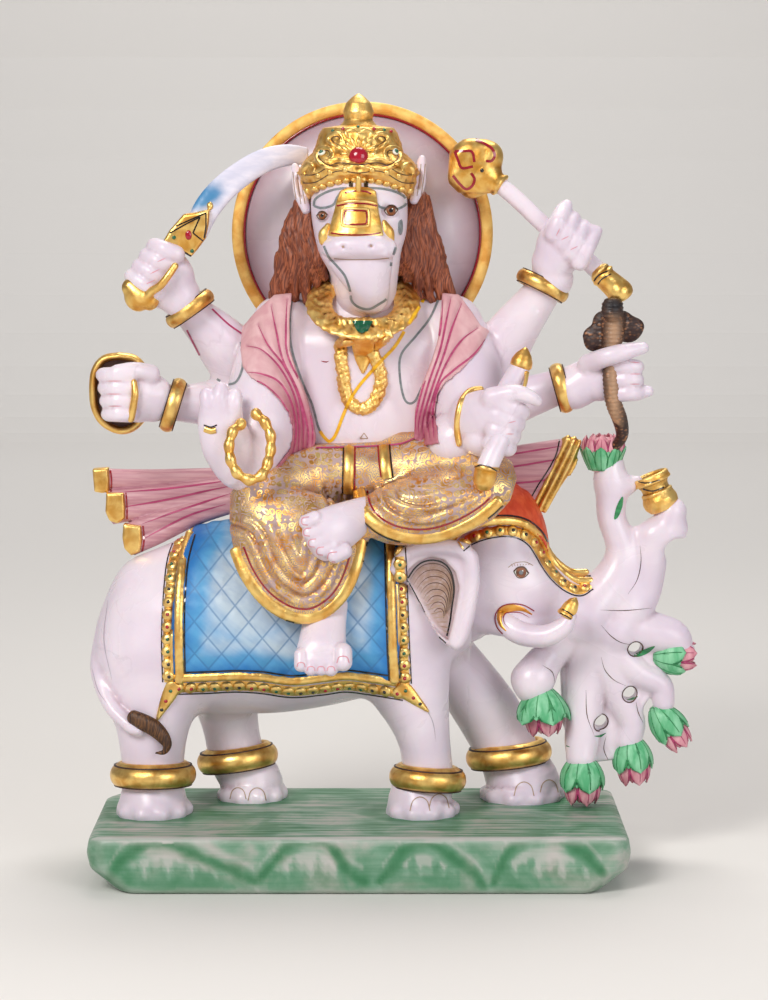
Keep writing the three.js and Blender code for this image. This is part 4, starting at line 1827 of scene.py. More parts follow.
def laid(
    ground: Ground,
    sight: Sight,
    path: Sequence[Flat],
    half_width: float | Sequence[float],
    half_depth: float,
    spacing: float = 6.0,
    sink: float = 0.0,
) -> list[Form]:
    """A flat raised strip that follows the ground beneath a path.

    Args:
        ground: what it lies on.
        sight: from where the path is drawn.
        path: its marks.
        half_width: half its width in millimetres, or several values along it.
        half_depth: half its thickness.
        spacing: of its samples, in the sight's units.
        sink: how far its middle lies below the ground.

    Returns:
        Its forms, one for each sample.
    """
    marks, _ = Brush(ground, sight, spacing).trail(path)
    hits = [ground.meet(sight, *mark) for mark in marks]
    met = [i for i, hit in enumerate(hits) if hit is not None]
    if not met:
        return []
    numbers = np.arange(len(marks))
    depths = np.interp(numbers, met, [hits[i][0][1] for i in met])
    padded = np.concatenate([depths[:1], depths[:1], depths, depths[-1:], depths[-1:]])
    depths = np.convolve(padded, np.ones(5) / 5, "valid")
    widths = np.atleast_1d(half_width)
    widths = np.interp(np.linspace(0, 1, len(marks)), np.linspace(0, 1, len(widths)), widths)
    rows = []
    for (u, v), depth, wide in zip(marks, depths, widths):
        if isinstance(sight, Eye):
            rows.append((*seen([(u, v, depth + sink)])[0], wide, half_depth))
        else:
            rows.append((u, depth - sink, v, wide, half_depth))
    return [Limb(rows[i : i + 2], steps=1) for i in range(len(rows) - 1)]


@dataclass
class Slab:
    """The slab underfoot, with cut-back ends, green washes and painted hills."""

    left: float = -208.0
    right: float = 210.0
    half_depth: float = 98.0
    pitch: float = 2.6
    insets: tuple[Flat, ...] = ((0.0, 26.0), (18.0, 3.0), (30.0, 0.0), (41.5, 2.0), (43.5, 5.0))
    hills: tuple[tuple[Flat, ...], ...] = (
        ((108, 880), (124, 857), (147, 845), (170, 843), (190, 852), (213, 863), (236, 872), (254, 881)),
        ((257, 881), (274, 862), (286, 847), (305, 839), (324, 842), (339, 858), (348, 872), (364, 881)),
        ((380, 881), (393, 866), (405, 849), (420, 842), (436, 846), (455, 860), (474, 874), (484, 887)),
        ((494, 883), (505, 858), (517, 843), (536, 836), (559, 840), (582, 852), (603, 874)),
    )
    valleys: tuple[Flat, ...] = ((238, 855), (364, 858), (480, 850), (96, 856), (606, 848))

    def build(self) -> Shell:
        """Returns the slab's skin.

        Returns:
            The skin.
        """
        clay = Clay((self.left, -self.half_depth, 0), (self.right, self.half_depth, SLAB_TOP), self.pitch)
        clay.add(Made((self.left - 2, -100, -2), (self.right + 2, 100, 46), self.rule), 0.0)
        return clay.skin(1, 1.0)

    def rule(self, x: Array, y: Array, z: Array) -> Array:
        """Returns the distance to the slab.

        Args:
            x: how far across the points lie.
            y: how far back they lie.
            z: how high they lie.

        Returns:
            The distance at each point.
        """
        inset = np.interp(z.ravel(), *zip(*self.insets)).reshape(z.shape)
        chip = 0.5 * np.sin(x / 11.0) * np.sin(z / 6.0 + x / 23.0) * np.cos(y / 17.0)
        sides = [
            self.left + inset - x,
            x - self.right + inset,
            np.abs(y) - self.half_depth,
            (-36.0 * (x - self.left - inset) + 22.0 * (y - self.half_depth + 36.0)) / 42.2,
            (np.abs(x - 1.0) + inset + np.abs(y) - 209.0 - self.half_depth + 10.0) * 0.7,
            z - SLAB_TOP + 0 * x,
            -z + 0 * x,
        ]
        made = sides[0] + 0 * (x + y + z)
        blend = 3.0
        for side in sides[1:]:
            wide = side + 0 * made
            ease = np.maximum(blend - np.abs(made - wide), 0) / blend
            made = np.maximum(made, wide) + ease * ease * blend * 0.25
        return made + np.where((z > 4) & (z < 41), chip, 0)

    def paint(self, corners: Array) -> dict[str, Array]:
        """Returns how much hill green each corner shows, and how pale it is from unpainted stone and from a
        painted highlight along the top front edge.

        Args:
            corners: the corners of the skin.

        Returns:
            The values at each corner, by name.
        """
        marks = marks_of(corners)
        u, v = marks[:, 0], marks[:, 1]
        front = (corners[:, 1] < -self.half_depth + 8).astype(float)
        hill = np.zeros(len(corners))
        # A painted highlight: a pale line along the slab's top front edge.
        bare_stone_and_highlight = 0.6 * np.exp(-(((v - 838) / 3.0) ** 2))
        finger = 869 + 5 * np.sin(u / 3.7) + 4 * np.sin(u / 1.9 + 1.0)
        for path in self.hills:
            line = smooth_line(path, 6)
            gap = path_distance([tuple(p) for p in line], u, v)
            crest = np.interp(u, line[:, 0], line[:, 1], left=1e3, right=1e3)
            below = v - crest
            soft = 9.5 + 2.0 * np.sin(u / 9.0) + 1.2 * np.sin(u / 4.1)
            hill = np.maximum(hill, 0.92 * np.exp(-((gap / soft) ** 2)))
            haze = np.clip((below - 8) / 6.0, 0, 1) * np.clip((finger - v) / 7.0, 0, 1)
            bare_stone_and_highlight = np.maximum(bare_stone_and_highlight, 0.48 * haze)
            hill = np.maximum(hill, 0.62 * np.clip((v - finger + 4) / 8.0, 0, 1) * (below > 8))
            bare_stone_and_highlight = np.maximum(bare_stone_and_highlight, 0.4 * np.exp(-(((below + 13) / 5.0) ** 2)))
        for at in self.valleys:
            hill = np.maximum(hill, 0.55 * spot_light(marks, at, (20, 15)))
        top = corners[:, 2] > SLAB_TOP - 3
        shade = np.zeros(len(corners))
        for x, y in ((-163, -4), (-88, 60), (50, -4), (134, 60), (215, 30)):
            reach = np.hypot(corners[:, 0] - x, (corners[:, 1] - y) * 1.3)
            shade = np.maximum(shade, 0.85 * np.exp(-(((reach - 38) / 16.0) ** 2)))
        return {"hill": np.where(top, shade, hill * front), "bare_stone_and_highlight": bare_stone_and_highlight * front}

    def dress(self) -> None:
        """Makes the slab's piece."""
        shell = self.build()
        piece("slab", shell, GreenWash(), self.paint(shell.corners))


@dataclass
class Elephant:
    """The elephant: barrel, legs, head, ears, tusk, tail and the fan of seven trunks."""

    barrel: tuple[tuple[float, ...], ...] = (
        (-211, 164, 16, 14),
        (-204, 167, 40, 33),
        (-188, 173, 64, 48),
        (-160, 183, 68, 58),
        (-118, 192, 74, 64),
        (-60, 196, 77, 67),
        (0, 205, 75, 66),
        (48, 212, 64, 58),
        (84, 216, 45, 44),
    )
    legs: tuple[dict[str, tuple[float, ...]], ...] = (
        {
            "hip": (-160, 6, 164, 44, 34), "knee": (-163, 0, 110, 28.5), "ankle": (-163, 74, 24),
            "foot": (-163, 0, 27.5),
        },
        {
            "hip": (-112, 56, 150, 32, 30), "knee": (-105, 62, 104, 23), "ankle": (-99, 75, 23),
            "foot": (-88, 62, 26),
        },
        {
            "hip": (30, 8, 176, 46, 34), "knee": (50, 0, 112, 22.5), "ankle": (55, 71, 20.5),
            "foot": (50, 0, 26.5),
        },
        {
            "hip": (60, 54, 176, 22, 32), "knee": (104, 62, 114, 26.5), "ankle": (122, 78, 25),
            "foot": (132, 62, 32),
        },
    )
    trunks: tuple[tuple[tuple[float, ...], ...], ...] = (
        ((182, 196, 26), (204, 226, 17), (210, 250, 12.5), (202, 276, 11.5), (202, 298, 13), (200, 317, 12)),
        ((206, 186, 22), (228, 212, 13), (233, 236, 13), (235, 256, 13), (246, 268, 13), (250, 280, 12)),
        ((192, 186, 20), (226, 184, 16), (250, 179, 15), (259, 167, 11)),
        ((196, 172, 18), (224, 150, 12), (242, 140, 10), (245, 126, 9)),
        ((196, 160, 18), (211, 128, 13), (219, 110, 11.5), (217, 95, 11)),
        ((184, 172, 18), (182, 134, 15), (179, 100, 14), (178, 84, 12)),
        ((172, 182, 16), (158, 170, 13), (144, 154, 15.5), (139, 142, 15)),
    )
    forward: tuple[float, ...] = (0, 0, 0, 0, 0, 14, 14)
    holes: tuple[Flat, ...] = ((221, 171), (217, 134), (194, 111), (151, 101))
    web: tuple[Flat, ...] = (
        (172, 204), (212, 206), (244, 196), (256, 176), (240, 140), (224, 114), (214, 80), (180, 76),
        (164, 108), (162, 150),
    )
    ear: tuple[Flat, ...] = (
        (389, 570), (399, 556), (408, 547), (425, 542), (447, 541), (467, 545), (478, 556), (479, 585),
        (474, 620), (468, 640), (456, 652), (442, 643), (432, 628), (425, 615), (417, 600), (407, 585),
        (395, 578),
    )
    hollow: tuple[Flat, ...] = (
        (404, 579), (409, 570), (418, 562), (431, 557), (444, 560), (455, 572), (459, 587), (456, 606),
        (452, 625), (448, 641), (437, 632), (429, 622), (425, 614), (415, 597),
    )
    folds: tuple[tuple[Flat, ...], ...] = (
        ((640, 545), (641, 562), (637, 580), (628, 594)),
        ((600, 610), (625, 610.5), (652, 608)),
        ((601, 625), (610, 635), (620, 642), (632, 645)),
        ((601, 657), (605, 670), (614, 680), (626, 686)),
        ((636, 702), (638, 712), (643, 723)),
        ((586, 690), (587, 715), (594, 735)),
        ((606, 736), (604, 750), (611, 765)),
        ((542, 665), (552, 672), (555, 683)),
    )
    middle: float = BODY_MIDDLE
    fan: float = 34.0
    ear_front: float = -41.0
    parting: float = 88.0
    ground: Ground | None = None
    cone: Ground | None = None

    def leg(self, sizes: dict[str, tuple[float, ...]]) -> list[Form]:
        """Returns a leg with its foot and the swellings of its toes.

        Args:
            sizes: the leg's sizes by name.

        Returns:
            The forms of the leg.
        """
        (ax, az, ar), (fx, fy, fr) = sizes["ankle"], sizes["foot"]
        rows = [
            sizes["hip"],
            sizes["knee"],
            (ax, fy, az, ar),
            (fx, fy - 1, 57, fr - 1.5, fr),
            (fx, fy - 2, 48, fr + 1.5, fr + 3),
            (fx, fy - 2, 40, fr + 1.5, fr + 3),
        ]
        toes = []
        for angle in (-140, -105, -70, -35, 0):
            a = math.radians(angle)
            spot = (fx + math.cos(a) * (fr - 3), fy - 2 + math.sin(a) * (fr - 1), 47)
            toes.append(Ball(spot, (7.5, 7.5, 6.5)))
        return [Limb(rows), *toes]

    def bulk(self) -> list[tuple[Form, float]]:
        """Returns the forms of the body and the head, each with its fillet.

        Returns:
            Pairs of a form and its fillet.
        """
        y = self.middle
        forms: list[tuple[Form, float]] = [(Barrel(self.barrel, y), 0.0)]
        for sizes in self.legs:
            limb, *toes = self.leg(sizes)
            forms.append((limb, 14.0))
            forms += [(toe, 3.0) for toe in toes]
        head = (
            (56, y, 210, 46, 46), (96, y, 222, 42, 43), (128, y, 216, 36, 40), (158, y + 1, 203, 29, 30),
            (182, y + 2, 194, 26, 22),
        )
        forms += [
            (Limb(head), 12.0),
            (Ball((109, y, 244), (40, 44, 58), (0, 8, 0)), 10.0),
            (Ball((126, y - 26, 222), (26, 16, 24)), 10.0),
            (Limb(((112, y - 24, 243, 5), (124, y - 32, 245, 6), (137, y - 30, 240, 5))), 6.0),
            (Limb(((100, 2, 196, 9), (122, -2, 193, 9), (146, 6, 193, 8))), 8.0),
            (Limb(((134, 14, 192, 10), (150, 20, 184, 11), (164, 30, 174, 12))), 6.0),
        ]
        return forms

    def trunk_forms(self) -> list[Form]:
        """Returns the seven trunks.

        Returns:
            One form for each trunk.
        """
        made = []
        for run, forward in zip(self.trunks, self.forward):
            last = len(run) - 1
            made.append(
                Limb([(x, self.fan - forward * k / last, z, r) for k, (x, z, r) in enumerate(run)], steps=5)
            )
        return made

    def build_body(self) -> Shell:
        """Returns the skin of the body behind the ears.

        Returns:
            The skin.
        """
        clay = Clay((-218, -42, 38), (self.parting + 4, 108, 290), 2.4)
        for form, blend in self.bulk():
            clay.add(form, blend)
        tail = (
            (-200, 24, 190, 8), (-206, 2, 160, 6.5), (-196, -18, 134, 5.5), (-180, -28, 119, 5.5),
            (-172, -30, 115, 5),
        )
        clay.add(Limb(tail), 5.0)
        clay.keep(lambda x, y, z: np.maximum(38.0 - z, x - self.parting - 2.0) + 0 * y)
        return clay.skin()

    def build_head(self) -> Shell:
        """Returns the skin of the head, the far foreleg and the trunks.

        Returns:
            The skin.
        """
        clay = Clay((self.parting - 4, -40, 38), (276, 108, 330), 1.6)
        for form, blend in self.bulk():
            clay.add(form, blend)
        y = self.fan
        clay.add(Plate(self.web, y - 4, y + 12, 3.0), 6.0)
        for form in self.trunk_forms():
            clay.add(form, 3.5)
        clay.add(Ball((139, 20, 148), (17.5, 15, 14)), 5.0)
        clay.add(Limb(((214, y, 205, 18), (220, y, 235, 12), (222, y, 262, 6))), 6.0)
        clay.add(Limb(((200, y, 304, 12), (214, y, 302, 9), (222, y, 304, 5))), 5.0)
        clay.add(Limb(((236, y, 262, 12), (250, y, 261, 11.5), (254, y, 266, 9))), 6.0)
        (notch,) = seen([(677, 549, y)])
        clay.cut(Ball(notch, (9.5, 26, 9.0)), 6.0)
        for x, z in self.holes:
            clay.cut(bore(x, z, 5.6), 1.5)
        clay.keep(lambda px, py, pz: np.maximum(38.0 - pz, self.parting - 2.0 - px) + 0 * py)
        return clay.skin()

    def build_ears(self) -> Shell:
        """Returns the skin of both ears.

        Returns:
            The skin.
        """
        front = self.ear_front
        clay = Clay((20, front - 6, 172), (96, 102, 272), 1.25)
        outline = traced(self.ear, front)
        clay.add(Plate(outline, front, front + 24, 4.5), 0.0)
        rim = seen([
            (398, 562, front + 3, 4.6), (410, 551, front + 1, 5.2), (427, 547, front, 5.4),
            (450, 547, front, 5.6), (469, 556, front + 1, 5.8), (472, 585, front + 2, 5.0),
            (466, 620, front + 2, 4.2), (458, 643, front + 3, 3.4),
        ])
        clay.add(Limb(rim), 4.0)
        clay.cut(Plate(traced(self.hollow, front), front - 12, front + 7.5, 3.0), 2.0)
        clay.add(Plate(outline, self.middle + 46, self.middle + 60, 4.5), 0.0)
        return clay.skin()

    def build_tusk(self) -> Shell:
        """Returns the skin of the tusk.

        Returns:
            The skin.
        """
        clay = Clay((100, -36, 176), (182, 12, 224), 1.0)
        clay.add(
            Limb((
                (112, -2, 200, 8.5), (120, -9, 193, 9.2), (131, -13, 188, 9.2), (147, -17, 187.5, 8.8),
                (160, -20, 194.5, 7.6), (166, -20, 203, 5.4),
            )),
            0.0,
        )
        return clay.skin()

    def tusk_tip(self) -> Shell:
        """Returns the skin of the gold cone on the tusk.

        Returns:
            The skin.
        """
        clay = Clay((148, -34, 186), (184, -6, 226), 0.7)
        (foot,) = seen([(565, 616.5, -20)])
        clay.add(
            Turned(
                foot, (0.5, 0, 0.86),
                ((0, 0), (7.2, 0), (7.4, 2.5), (6.6, 3.4), (6.2, 9), (4.2, 14), (0.8, 17.5), (0, 17.5)),
            ),
            0.0,
        )
        return clay.skin(1)

    def tuft(self) -> Shell:
        """Returns the skin of the brown tuft of the tail.

        Returns:
            The skin.
        """
        clay = Clay((-184, -44, 80), (-144, -20, 132), 0.9)
        rows = seen([
            (133, 717, -32, 5.6, 4.5), (143, 722, -33, 6.6, 5), (154, 728, -33, 6.6, 5),
            (163, 737, -33, 5.4, 4.5), (167, 745, -33, 3.8, 3.5), (164, 752, -33, 2.2),
            (156, 753, -33, 0.9),
        ])
        clay.add(Limb(rows), 0.0)
        return clay.skin()

    def dress(self) -> None:
        """Makes the elephant's pieces."""
        body, head, ears, tusk = self.build_body(), self.build_head(), self.build_ears(), self.build_tusk()
        piece("elephant_body", body, MARBLE)
        piece("elephant_head_and_trunks", head, MARBLE)
        marks = marks_of(ears.corners)
        inside = outline_distance(self.hollow, marks[:, 0], marks[:, 1])
        deep = np.clip(-inside / 7.0 + 0.15, 0, 1) * (ears.corners[:, 1] < self.ear_front + 16)
        brown = deep * np.clip(0.95 - (marks[:, 1] - 565) / 150.0 + (marks[:, 0] - 430) / 90.0, 0.25, 0.95)
        rim = 0.3 * np.exp(-((inside / 3.0) ** 2)) * (ears.corners[:, 1] < self.ear_front + 8)
        piece(
            "elephant_ears", ears, Marble(name="shaded_marble", blush=colour(150, 112, 84)),
            {"blush": np.maximum(brown, rim)},
        )
        piece("tusk", tusk, MARBLE)
        tip = self.tusk_tip()
        piece("tusk_cone", tip, GOLD)
        self.cone = Ground(tip)
        piece("tail_tuft", self.tuft(), Strands("tuft_brown", colour(120, 78, 40), colour(48, 24, 12), 0.8))
        self.ground = Ground(body, head, ears, tusk)


class LineBook:
    """Painted lines and spots, gathered by colour until the carving is whole."""

    def __init__(self) -> None:
        """Starts with no lines."""
        self.heaps: dict[Tone, Heap] = {}

    def page(self, tone: Tone) -> Heap:
        """Returns the heap for a colour."""
        return self.heaps.setdefault(tone, Heap())

    def line(
        self, ground: Ground, tone: Tone, path: Sequence[Flat], width: float, **more: float | bool,
    ) -> None:
        """Paints a line seen in the picture, in pixels."""
        Brush(ground, EYE).band(self.page(tone), path, width, **more)

    def spot(
        self, ground: Ground, tone: Tone, at: Flat, radii: Point, lift: float = 0.2,
        facing: Point | None = None,
    ) -> None:
        """Sets a drop of colour seen at a mark, with radii in millimetres.

        Args:
            ground: what it lies on.
            tone: its colour.
            at: its mark in the picture.
            radii: its radii in millimetres.
            lift: how far it stands off.
            facing: the way that it faces.
        """
        hit = ground.meet(EYE, *at)
        if hit is not None:
            way = hit[1] if facing is None else unit(facing)
            self.page(tone).put_ball(hit[0] + way * lift, way, radii, 6, 16)

    def dress(self) -> None:
        """Makes a piece of each colour."""
        for tone, heap in self.heaps.items():
            if heap.total:
                piece(f"painted_{tone.name.lower()}", heap, tone.value)


@dataclass(frozen=True)
class JewelledBorder:
    """A gold strip with a black line on one side and a row of jewelled beads on the other."""

    strips: tuple[tuple[Flat, ...], ...]
    beads: tuple[tuple[Flat, ...], ...]
    width: float = 9.5
    pitch: float = 12.4
    bead: Point = (5.2, 5.0, 2.4)
    inner: float = 5.4
    outer: float = -6.4

    def turned(self, depth: float) -> "JewelledBorder":
        """Returns the same border for the far side, from marks that lie at a depth.

        Args:
            depth: the depth of the marks.

        Returns:
            The border for the far side.
        """
        strips, beads = (
            tuple(tuple(traced(row, depth)) for row in rows) for rows in (self.strips, self.beads)
        )
        return JewelledBorder(strips, beads, self.width, self.pitch, self.bead, -self.inner, -self.outer)

    def lay(self, ground: Ground, sight: Sight, gold: Heap, book: LineBook, units: float = 1.0) -> None:
        """Lays the border.

        Args:
            ground: the cloth beneath.
            sight: from where it is drawn.
            gold: takes the gold.
            book: takes the jewels and the line.
            units: the sight's units in a picture pixel.
        """
        brush = Brush(ground, sight, 1.3 * units)
        for strip in self.strips:
            marks = np.array(strip)
            low, high = marks.min(axis=0) - 12, marks.max(axis=0) + 12
            if isinstance(sight, Eye):
                corners = seen([(*low, 0), (high[0], low[1], 0), (low[0], high[1], 0), (*high, 0)])
                xs, zs = [c[0] for c in corners], [c[2] for c in corners]
            else:
                xs, zs = (low[0], high[0]), (low[1], high[1])
            forms = laid(ground, sight, strip, self.width * 0.39, 2.3, 7.0 * units)
            ends = [form.reach() for form in forms]
            front, back = min(e[0][1] for e in ends), max(e[1][1] for e in ends)
            clay = Clay((min(xs), front - 2, min(zs)), (max(xs), back + 2, max(zs)), 1.15)
            clay.add_all(forms, 1.0)
            gold.put_shell(clay.skin(1))
            brush.band(
                book.page(Tone.BLACK), strip, 1.6 * units, lift=0.35, shift=self.inner * units, jump=7.0,
            )
        for row in self.beads:
            brush.band(gold, row, 9.5 * units, rise=0.9, lift=0.25, across=7, jump=7.0)
            brush.beads(gold, row, self.pitch * units, self.bead, lift=0.7)
            for number, tone in enumerate((Tone.RUBY, Tone.EMERALD, Tone.BLACK)):
                pick = lambda k, n=number: (k * 7 // 2) % 3 == n
                brush.beads(book.page(tone), row, self.pitch * units, (1.5, 1.5, 0.9), lift=2.9, pick=pick)
            brush.band(book.page(Tone.BLACK), row, 1.2 * units, lift=0.3, shift=self.outer * units, jump=7.0)


@dataclass
class SaddleCloth:
    """The quilted blue cloth over the elephant's back, with its jewelled border and tassels."""

    outline: tuple[Flat, ...] = (
        (190, 530), (178, 565), (172, 605), (170, 645), (170, 686), (205, 684), (235, 682), (262, 684),
        (292, 688), (322, 685), (345, 682), (368, 684), (397, 684), (400, 645), (399, 592), (397, 535),
        (397, 440), (190, 440),
    )
    border: JewelledBorder = JewelledBorder(
        strips=(
            ((190, 533), (183, 560), (179.5, 600), (179, 640), (180, 682)),
            (
                (177, 678), (210, 677), (235, 676), (262, 677), (292, 681), (322, 678), (345, 675.5),
                (368, 678), (395.5, 682),
            ),
            ((394.5, 681.5), (392.5, 645), (391, 592), (390, 539)),
        ),
        beads=(
            ((182, 537), (173.5, 562), (169.5, 600), (168, 640), (169, 682)),
            (
                (172, 688), (205, 687), (235, 685.5), (262, 687), (292, 691), (322, 688.5), (345, 685.5),
                (368, 688), (404, 694),
            ),
            ((405, 684), (403, 645), (401, 592), (399, 545)),
        ),
        inner=-5.4,
        outer=6.4,
    )
    tassels: tuple[tuple[Flat, Flat], ...] = (((174, 684), (157, 720)), ((400, 686), (428, 711)))
    grow: float = 6.0
    pitch: Flat = (21.2, 25.2)

    def build(self, barrel: Sequence[Sequence[float]]) -> Shell:
        """Returns the cloth's skin, puffed between its seams.

        Args:
            barrel: the rows of the elephant's barrel.

        Returns:
            The skin.
        """
        outline = traced(self.outline, SADDLE_FRONT)
        clay = Clay((-160, -46, 132), (46, 112, 292), 1.6)
        clay.add(Barrel(barrel, BODY_MIDDLE, self.grow), 0.0)
        clay.add(Limb(((30, 8, 176, 52, 40), (48, 0, 112, 30))), 14.0)
        wide, high = self.pitch

        def seams(x: Array, y: Array, z: Array) -> Array:
            """Returns how deep the seams lie.

            Args:
                x: how far across the points lie.
                y: how far back they lie.
                z: how high they lie.

            Returns:
                The height at each point.
            """
            a, b = x / wide + z / high, x / wide - z / high
            off = np.minimum(np.abs(a - np.round(a)), np.abs(b - np.round(b))) * wide * 0.75
            return 1.1 * (1 - np.exp(-((off / 3.0) ** 2))) - 0.8 + 0 * y

        clay.swell(seams)
        plate = Plate(outline, -80, 170, 1.0)
        clay.keep(plate.distance)
        return clay.skin(1)

    def paint(self, corners: Array) -> dict[str, Array]:
        """Returns how pale the wash is at each corner.

        Args:
            corners: the corners of the skin.

        Returns:
            The values at each corner, by name.
        """
        marks = marks_of(corners)
        pale = 1.0 * spot_light(marks, (255, 592), (48, 52))
        pale = np.maximum(pale, 0.8 * spot_light(marks, (300, 645), (62, 24)))
        pale = np.maximum(pale, 0.72 * spot_light(marks, (366, 590), (20, 62)))
        pale = np.maximum(pale, 0.5 * spot_light(marks, (225, 650), (40, 26)))
        inside = -outline_distance(self.outline, marks[:, 0], marks[:, 1])
        return {"tint": np.clip((inside - 7.0) / 30.0, 0, 1) * (0.42 + 0.62 * pale)}

    def dress(self, elephant: Elephant, book: LineBook) -> None:
        """Makes the cloth's pieces.

        Args:
            elephant: the elephant underneath.
            book: takes the painted lines.
        """
        shell = self.build(elephant.barrel)
        piece("saddle_cloth", shell, QuiltedBlue(), self.paint(shell.corners))
        under = Ground(shell).also(elephant.ground)
        gold = Heap()
        self.border.lay(under, EYE, gold, book)
        self.border.turned(SADDLE_FRONT).lay(under, BEHIND, gold, book, PIXELS_TO_MM)
        for root, tip in self.tassels:
            self.tassel(under, root, tip, gold, book)
        piece("saddle_border", gold, GOLD)

    @staticmethod
    def tassel(ground: Ground, root: Flat, tip: Flat, gold: Heap, book: LineBook) -> None:
        """Hangs a pointed leaf from a corner of the cloth.

        Args:
            ground: what it lies on.
            root: where it hangs.
            tip: where it points.
            gold: takes the gold.
            book: takes the painted lines.
        """
        a, b = np.array(root, dtype=float), np.array(tip, dtype=float)
        path = [tuple(a), tuple((a + b) / 2), tuple(b)]
        forms = laid(ground, EYE, path, (6.5, 6.2, 4.6, 2.8, 1.0), 2.6, 4.0)
        ends = [form.reach() for form in forms]
        low, high = np.min([e[0] for e in ends], axis=0) - 2, np.max([e[1] for e in ends], axis=0) + 2
        clay = Clay(tuple(low), tuple(high), 0.9)
        clay.add_all(forms, 1.0)
        shell = clay.skin(1)
        gold.put_shell(shell)
        leaf = Ground(shell)
        for share, tone in ((0.2, Tone.EMERALD), (0.48, Tone.RUBY), (0.72, Tone.BLACK)):
            book.spot(leaf, tone, tuple(a + (b - a) * share), (1.5, 1.4, 0.8), lift=0.2)
        side = unit((b - a)[::-1] * (1, -1)) * 6.5
        for way in (1, -1):
            book.line(
                ground, Tone.BLACK,
                (tuple(a + way * side), tuple((a + b) / 2 + way * side * 0.8), tuple(b)), 1.2, lift=0.3,
            )


@dataclass
class HeadCloth:
    """The orange cloth on the elephant's head, with its jewelled border."""

    form: tuple[tuple[float, ...], ...] = (
        (70, 32, 244, 60, 46), (100, 32, 252, 56, 48), (122, 32, 240, 30, 46), (146, 33, 208, 25, 36),
        (184, 34, 199, 18, 18),
    )
    outline: tuple[Flat, ...] = (
        (448, 545), (465, 532), (485, 524), (505, 523), (522, 525), (535, 533), (545, 546), (552, 561),
        (562, 574),
        (575, 586), (590, 586), (597, 575), (585, 540), (560, 470), (448, 430),
    )
    border: JewelledBorder = JewelledBorder(
        strips=(
            (
                (448, 541), (462, 530.5), (477, 524), (495, 521), (512, 521), (526, 525), (537, 534),
                (545, 547),
                (553, 562), (563, 573), (576, 581), (591, 581),
            ),
        ),
        beads=(
            (
                (460, 546), (471, 538.5), (487, 533), (505, 530.5), (520, 533), (532, 540.5), (539.5, 551),
                (547, 564),
                (556, 576), (568, 586), (580, 590), (590, 584),
            ),
        ),
        width=8.5,
        pitch=12.6,
        bead=(4.8, 4.6, 2.3),
        inner=-5.0,
        outer=6.0,
    )

    def dress(self, elephant: Elephant, book: LineBook) -> None:
        """Makes the cloth's pieces.

        Args:
            elephant: the elephant underneath.
            book: takes the painted lines.
        """
        clay = Clay((62, -26, 190), (196, 92, 316), 1.5)
        clay.add(Limb(self.form), 0.0)
        clay.add(Ball((109, 32, 246), (43, 47, 60), (0, 8, 0)), 6.0)
        clay.add(Ball((80, 40, 280), (30, 40, 26)), 8.0)
        folds = [traced(path, -10) for path in (
            ((520, 480), (528, 505), (540, 530)), ((534, 490), (545, 520), (556, 550)),
            ((505, 478), (508, 500), (512, 518)),
        )]

        def creases(x: Array, y: Array, z: Array) -> Array:
            """Returns how deep the creases lie.

            Args:
                x: how far across the points lie.
                y: how far back they lie.
                z: how high they lie.

            Returns:
                The height at each point.
            """
            sunk = 0.0
            for path in folds:
                sunk = sunk + 1.0 * np.exp(-((path_distance(path, x + 0 * z, z + 0 * x) / 2.4) ** 2))
            return -sunk + 0 * y

        clay.swell(creases)
        clay.keep(Plate(traced(self.outline, HEAD_CLOTH_FRONT), -80, 170, 1.0).distance)
        shell = clay.skin()
        finish = Painted(
            "orange_cloth", colour(232, 96, 52), colour(214, 70, 34), colour(150, 30, 20), along=120,
            across=190, upright=1.0,
        )
        piece("head_cloth", shell, finish)
        gold = Heap()
        under = Ground(shell).also(elephant.ground)
        self.border.lay(under, EYE, gold, book)
        self.border.turned(HEAD_CLOTH_FRONT).lay(under, BEHIND, gold, book, PIXELS_TO_MM)
        piece("head_border", gold, GOLD)


@dataclass
class Anklets:
    """The gilded rings above the elephant's feet."""

    grow: float = 4.6
    section: Flat = (6.6, 8.6)
    lean: float = 0.4
    lined: float = 0.9

    def dress(self, elephant: Elephant, book: LineBook) -> None:
        """Makes the rings, each leaning with its leg.

        Args:
            elephant: the elephant underneath.
            book: takes the painted lines.
        """
        clay = Clay((-202, -42, 52), (170, 104, 96), 1.5)
        for sizes in elephant.legs:
            (x, z, radius), (fx, y, _) = sizes["ankle"], sizes["foot"]
            axis = ((fx - x) * self.lean, -2.0, SLAB_TOP - z)
            clay.add(Ring((x, y - 1, z), axis, radius + self.grow - 1.0, self.section), 0.0)
            step = Ring((x, y - 1, z + 8.0), axis, radius + 1.2, (3.0, 3.0))
            clay.add(step, 1.5)
            across, along = self.section
            edge = radius + self.grow - 1.0 + across * math.sqrt(1 - self.lined**2) + 0.5
            for way in (-1, 1):
                at = np.array((x, y - 1, z)) + unit(axis) * way * along * self.lined
                washer = ((edge - 3.0, -0.6), (edge, -0.6), (edge, 0.6), (edge - 3.0, 0.6))
                book.page(Tone.UMBER).put_turned(tuple(at), axis, washer, 72)
        shell = clay.skin()
        piece("anklets", shell, GoldLeaf(name="anklet_gold", deep=colour(206, 140, 50), relief=0.3))


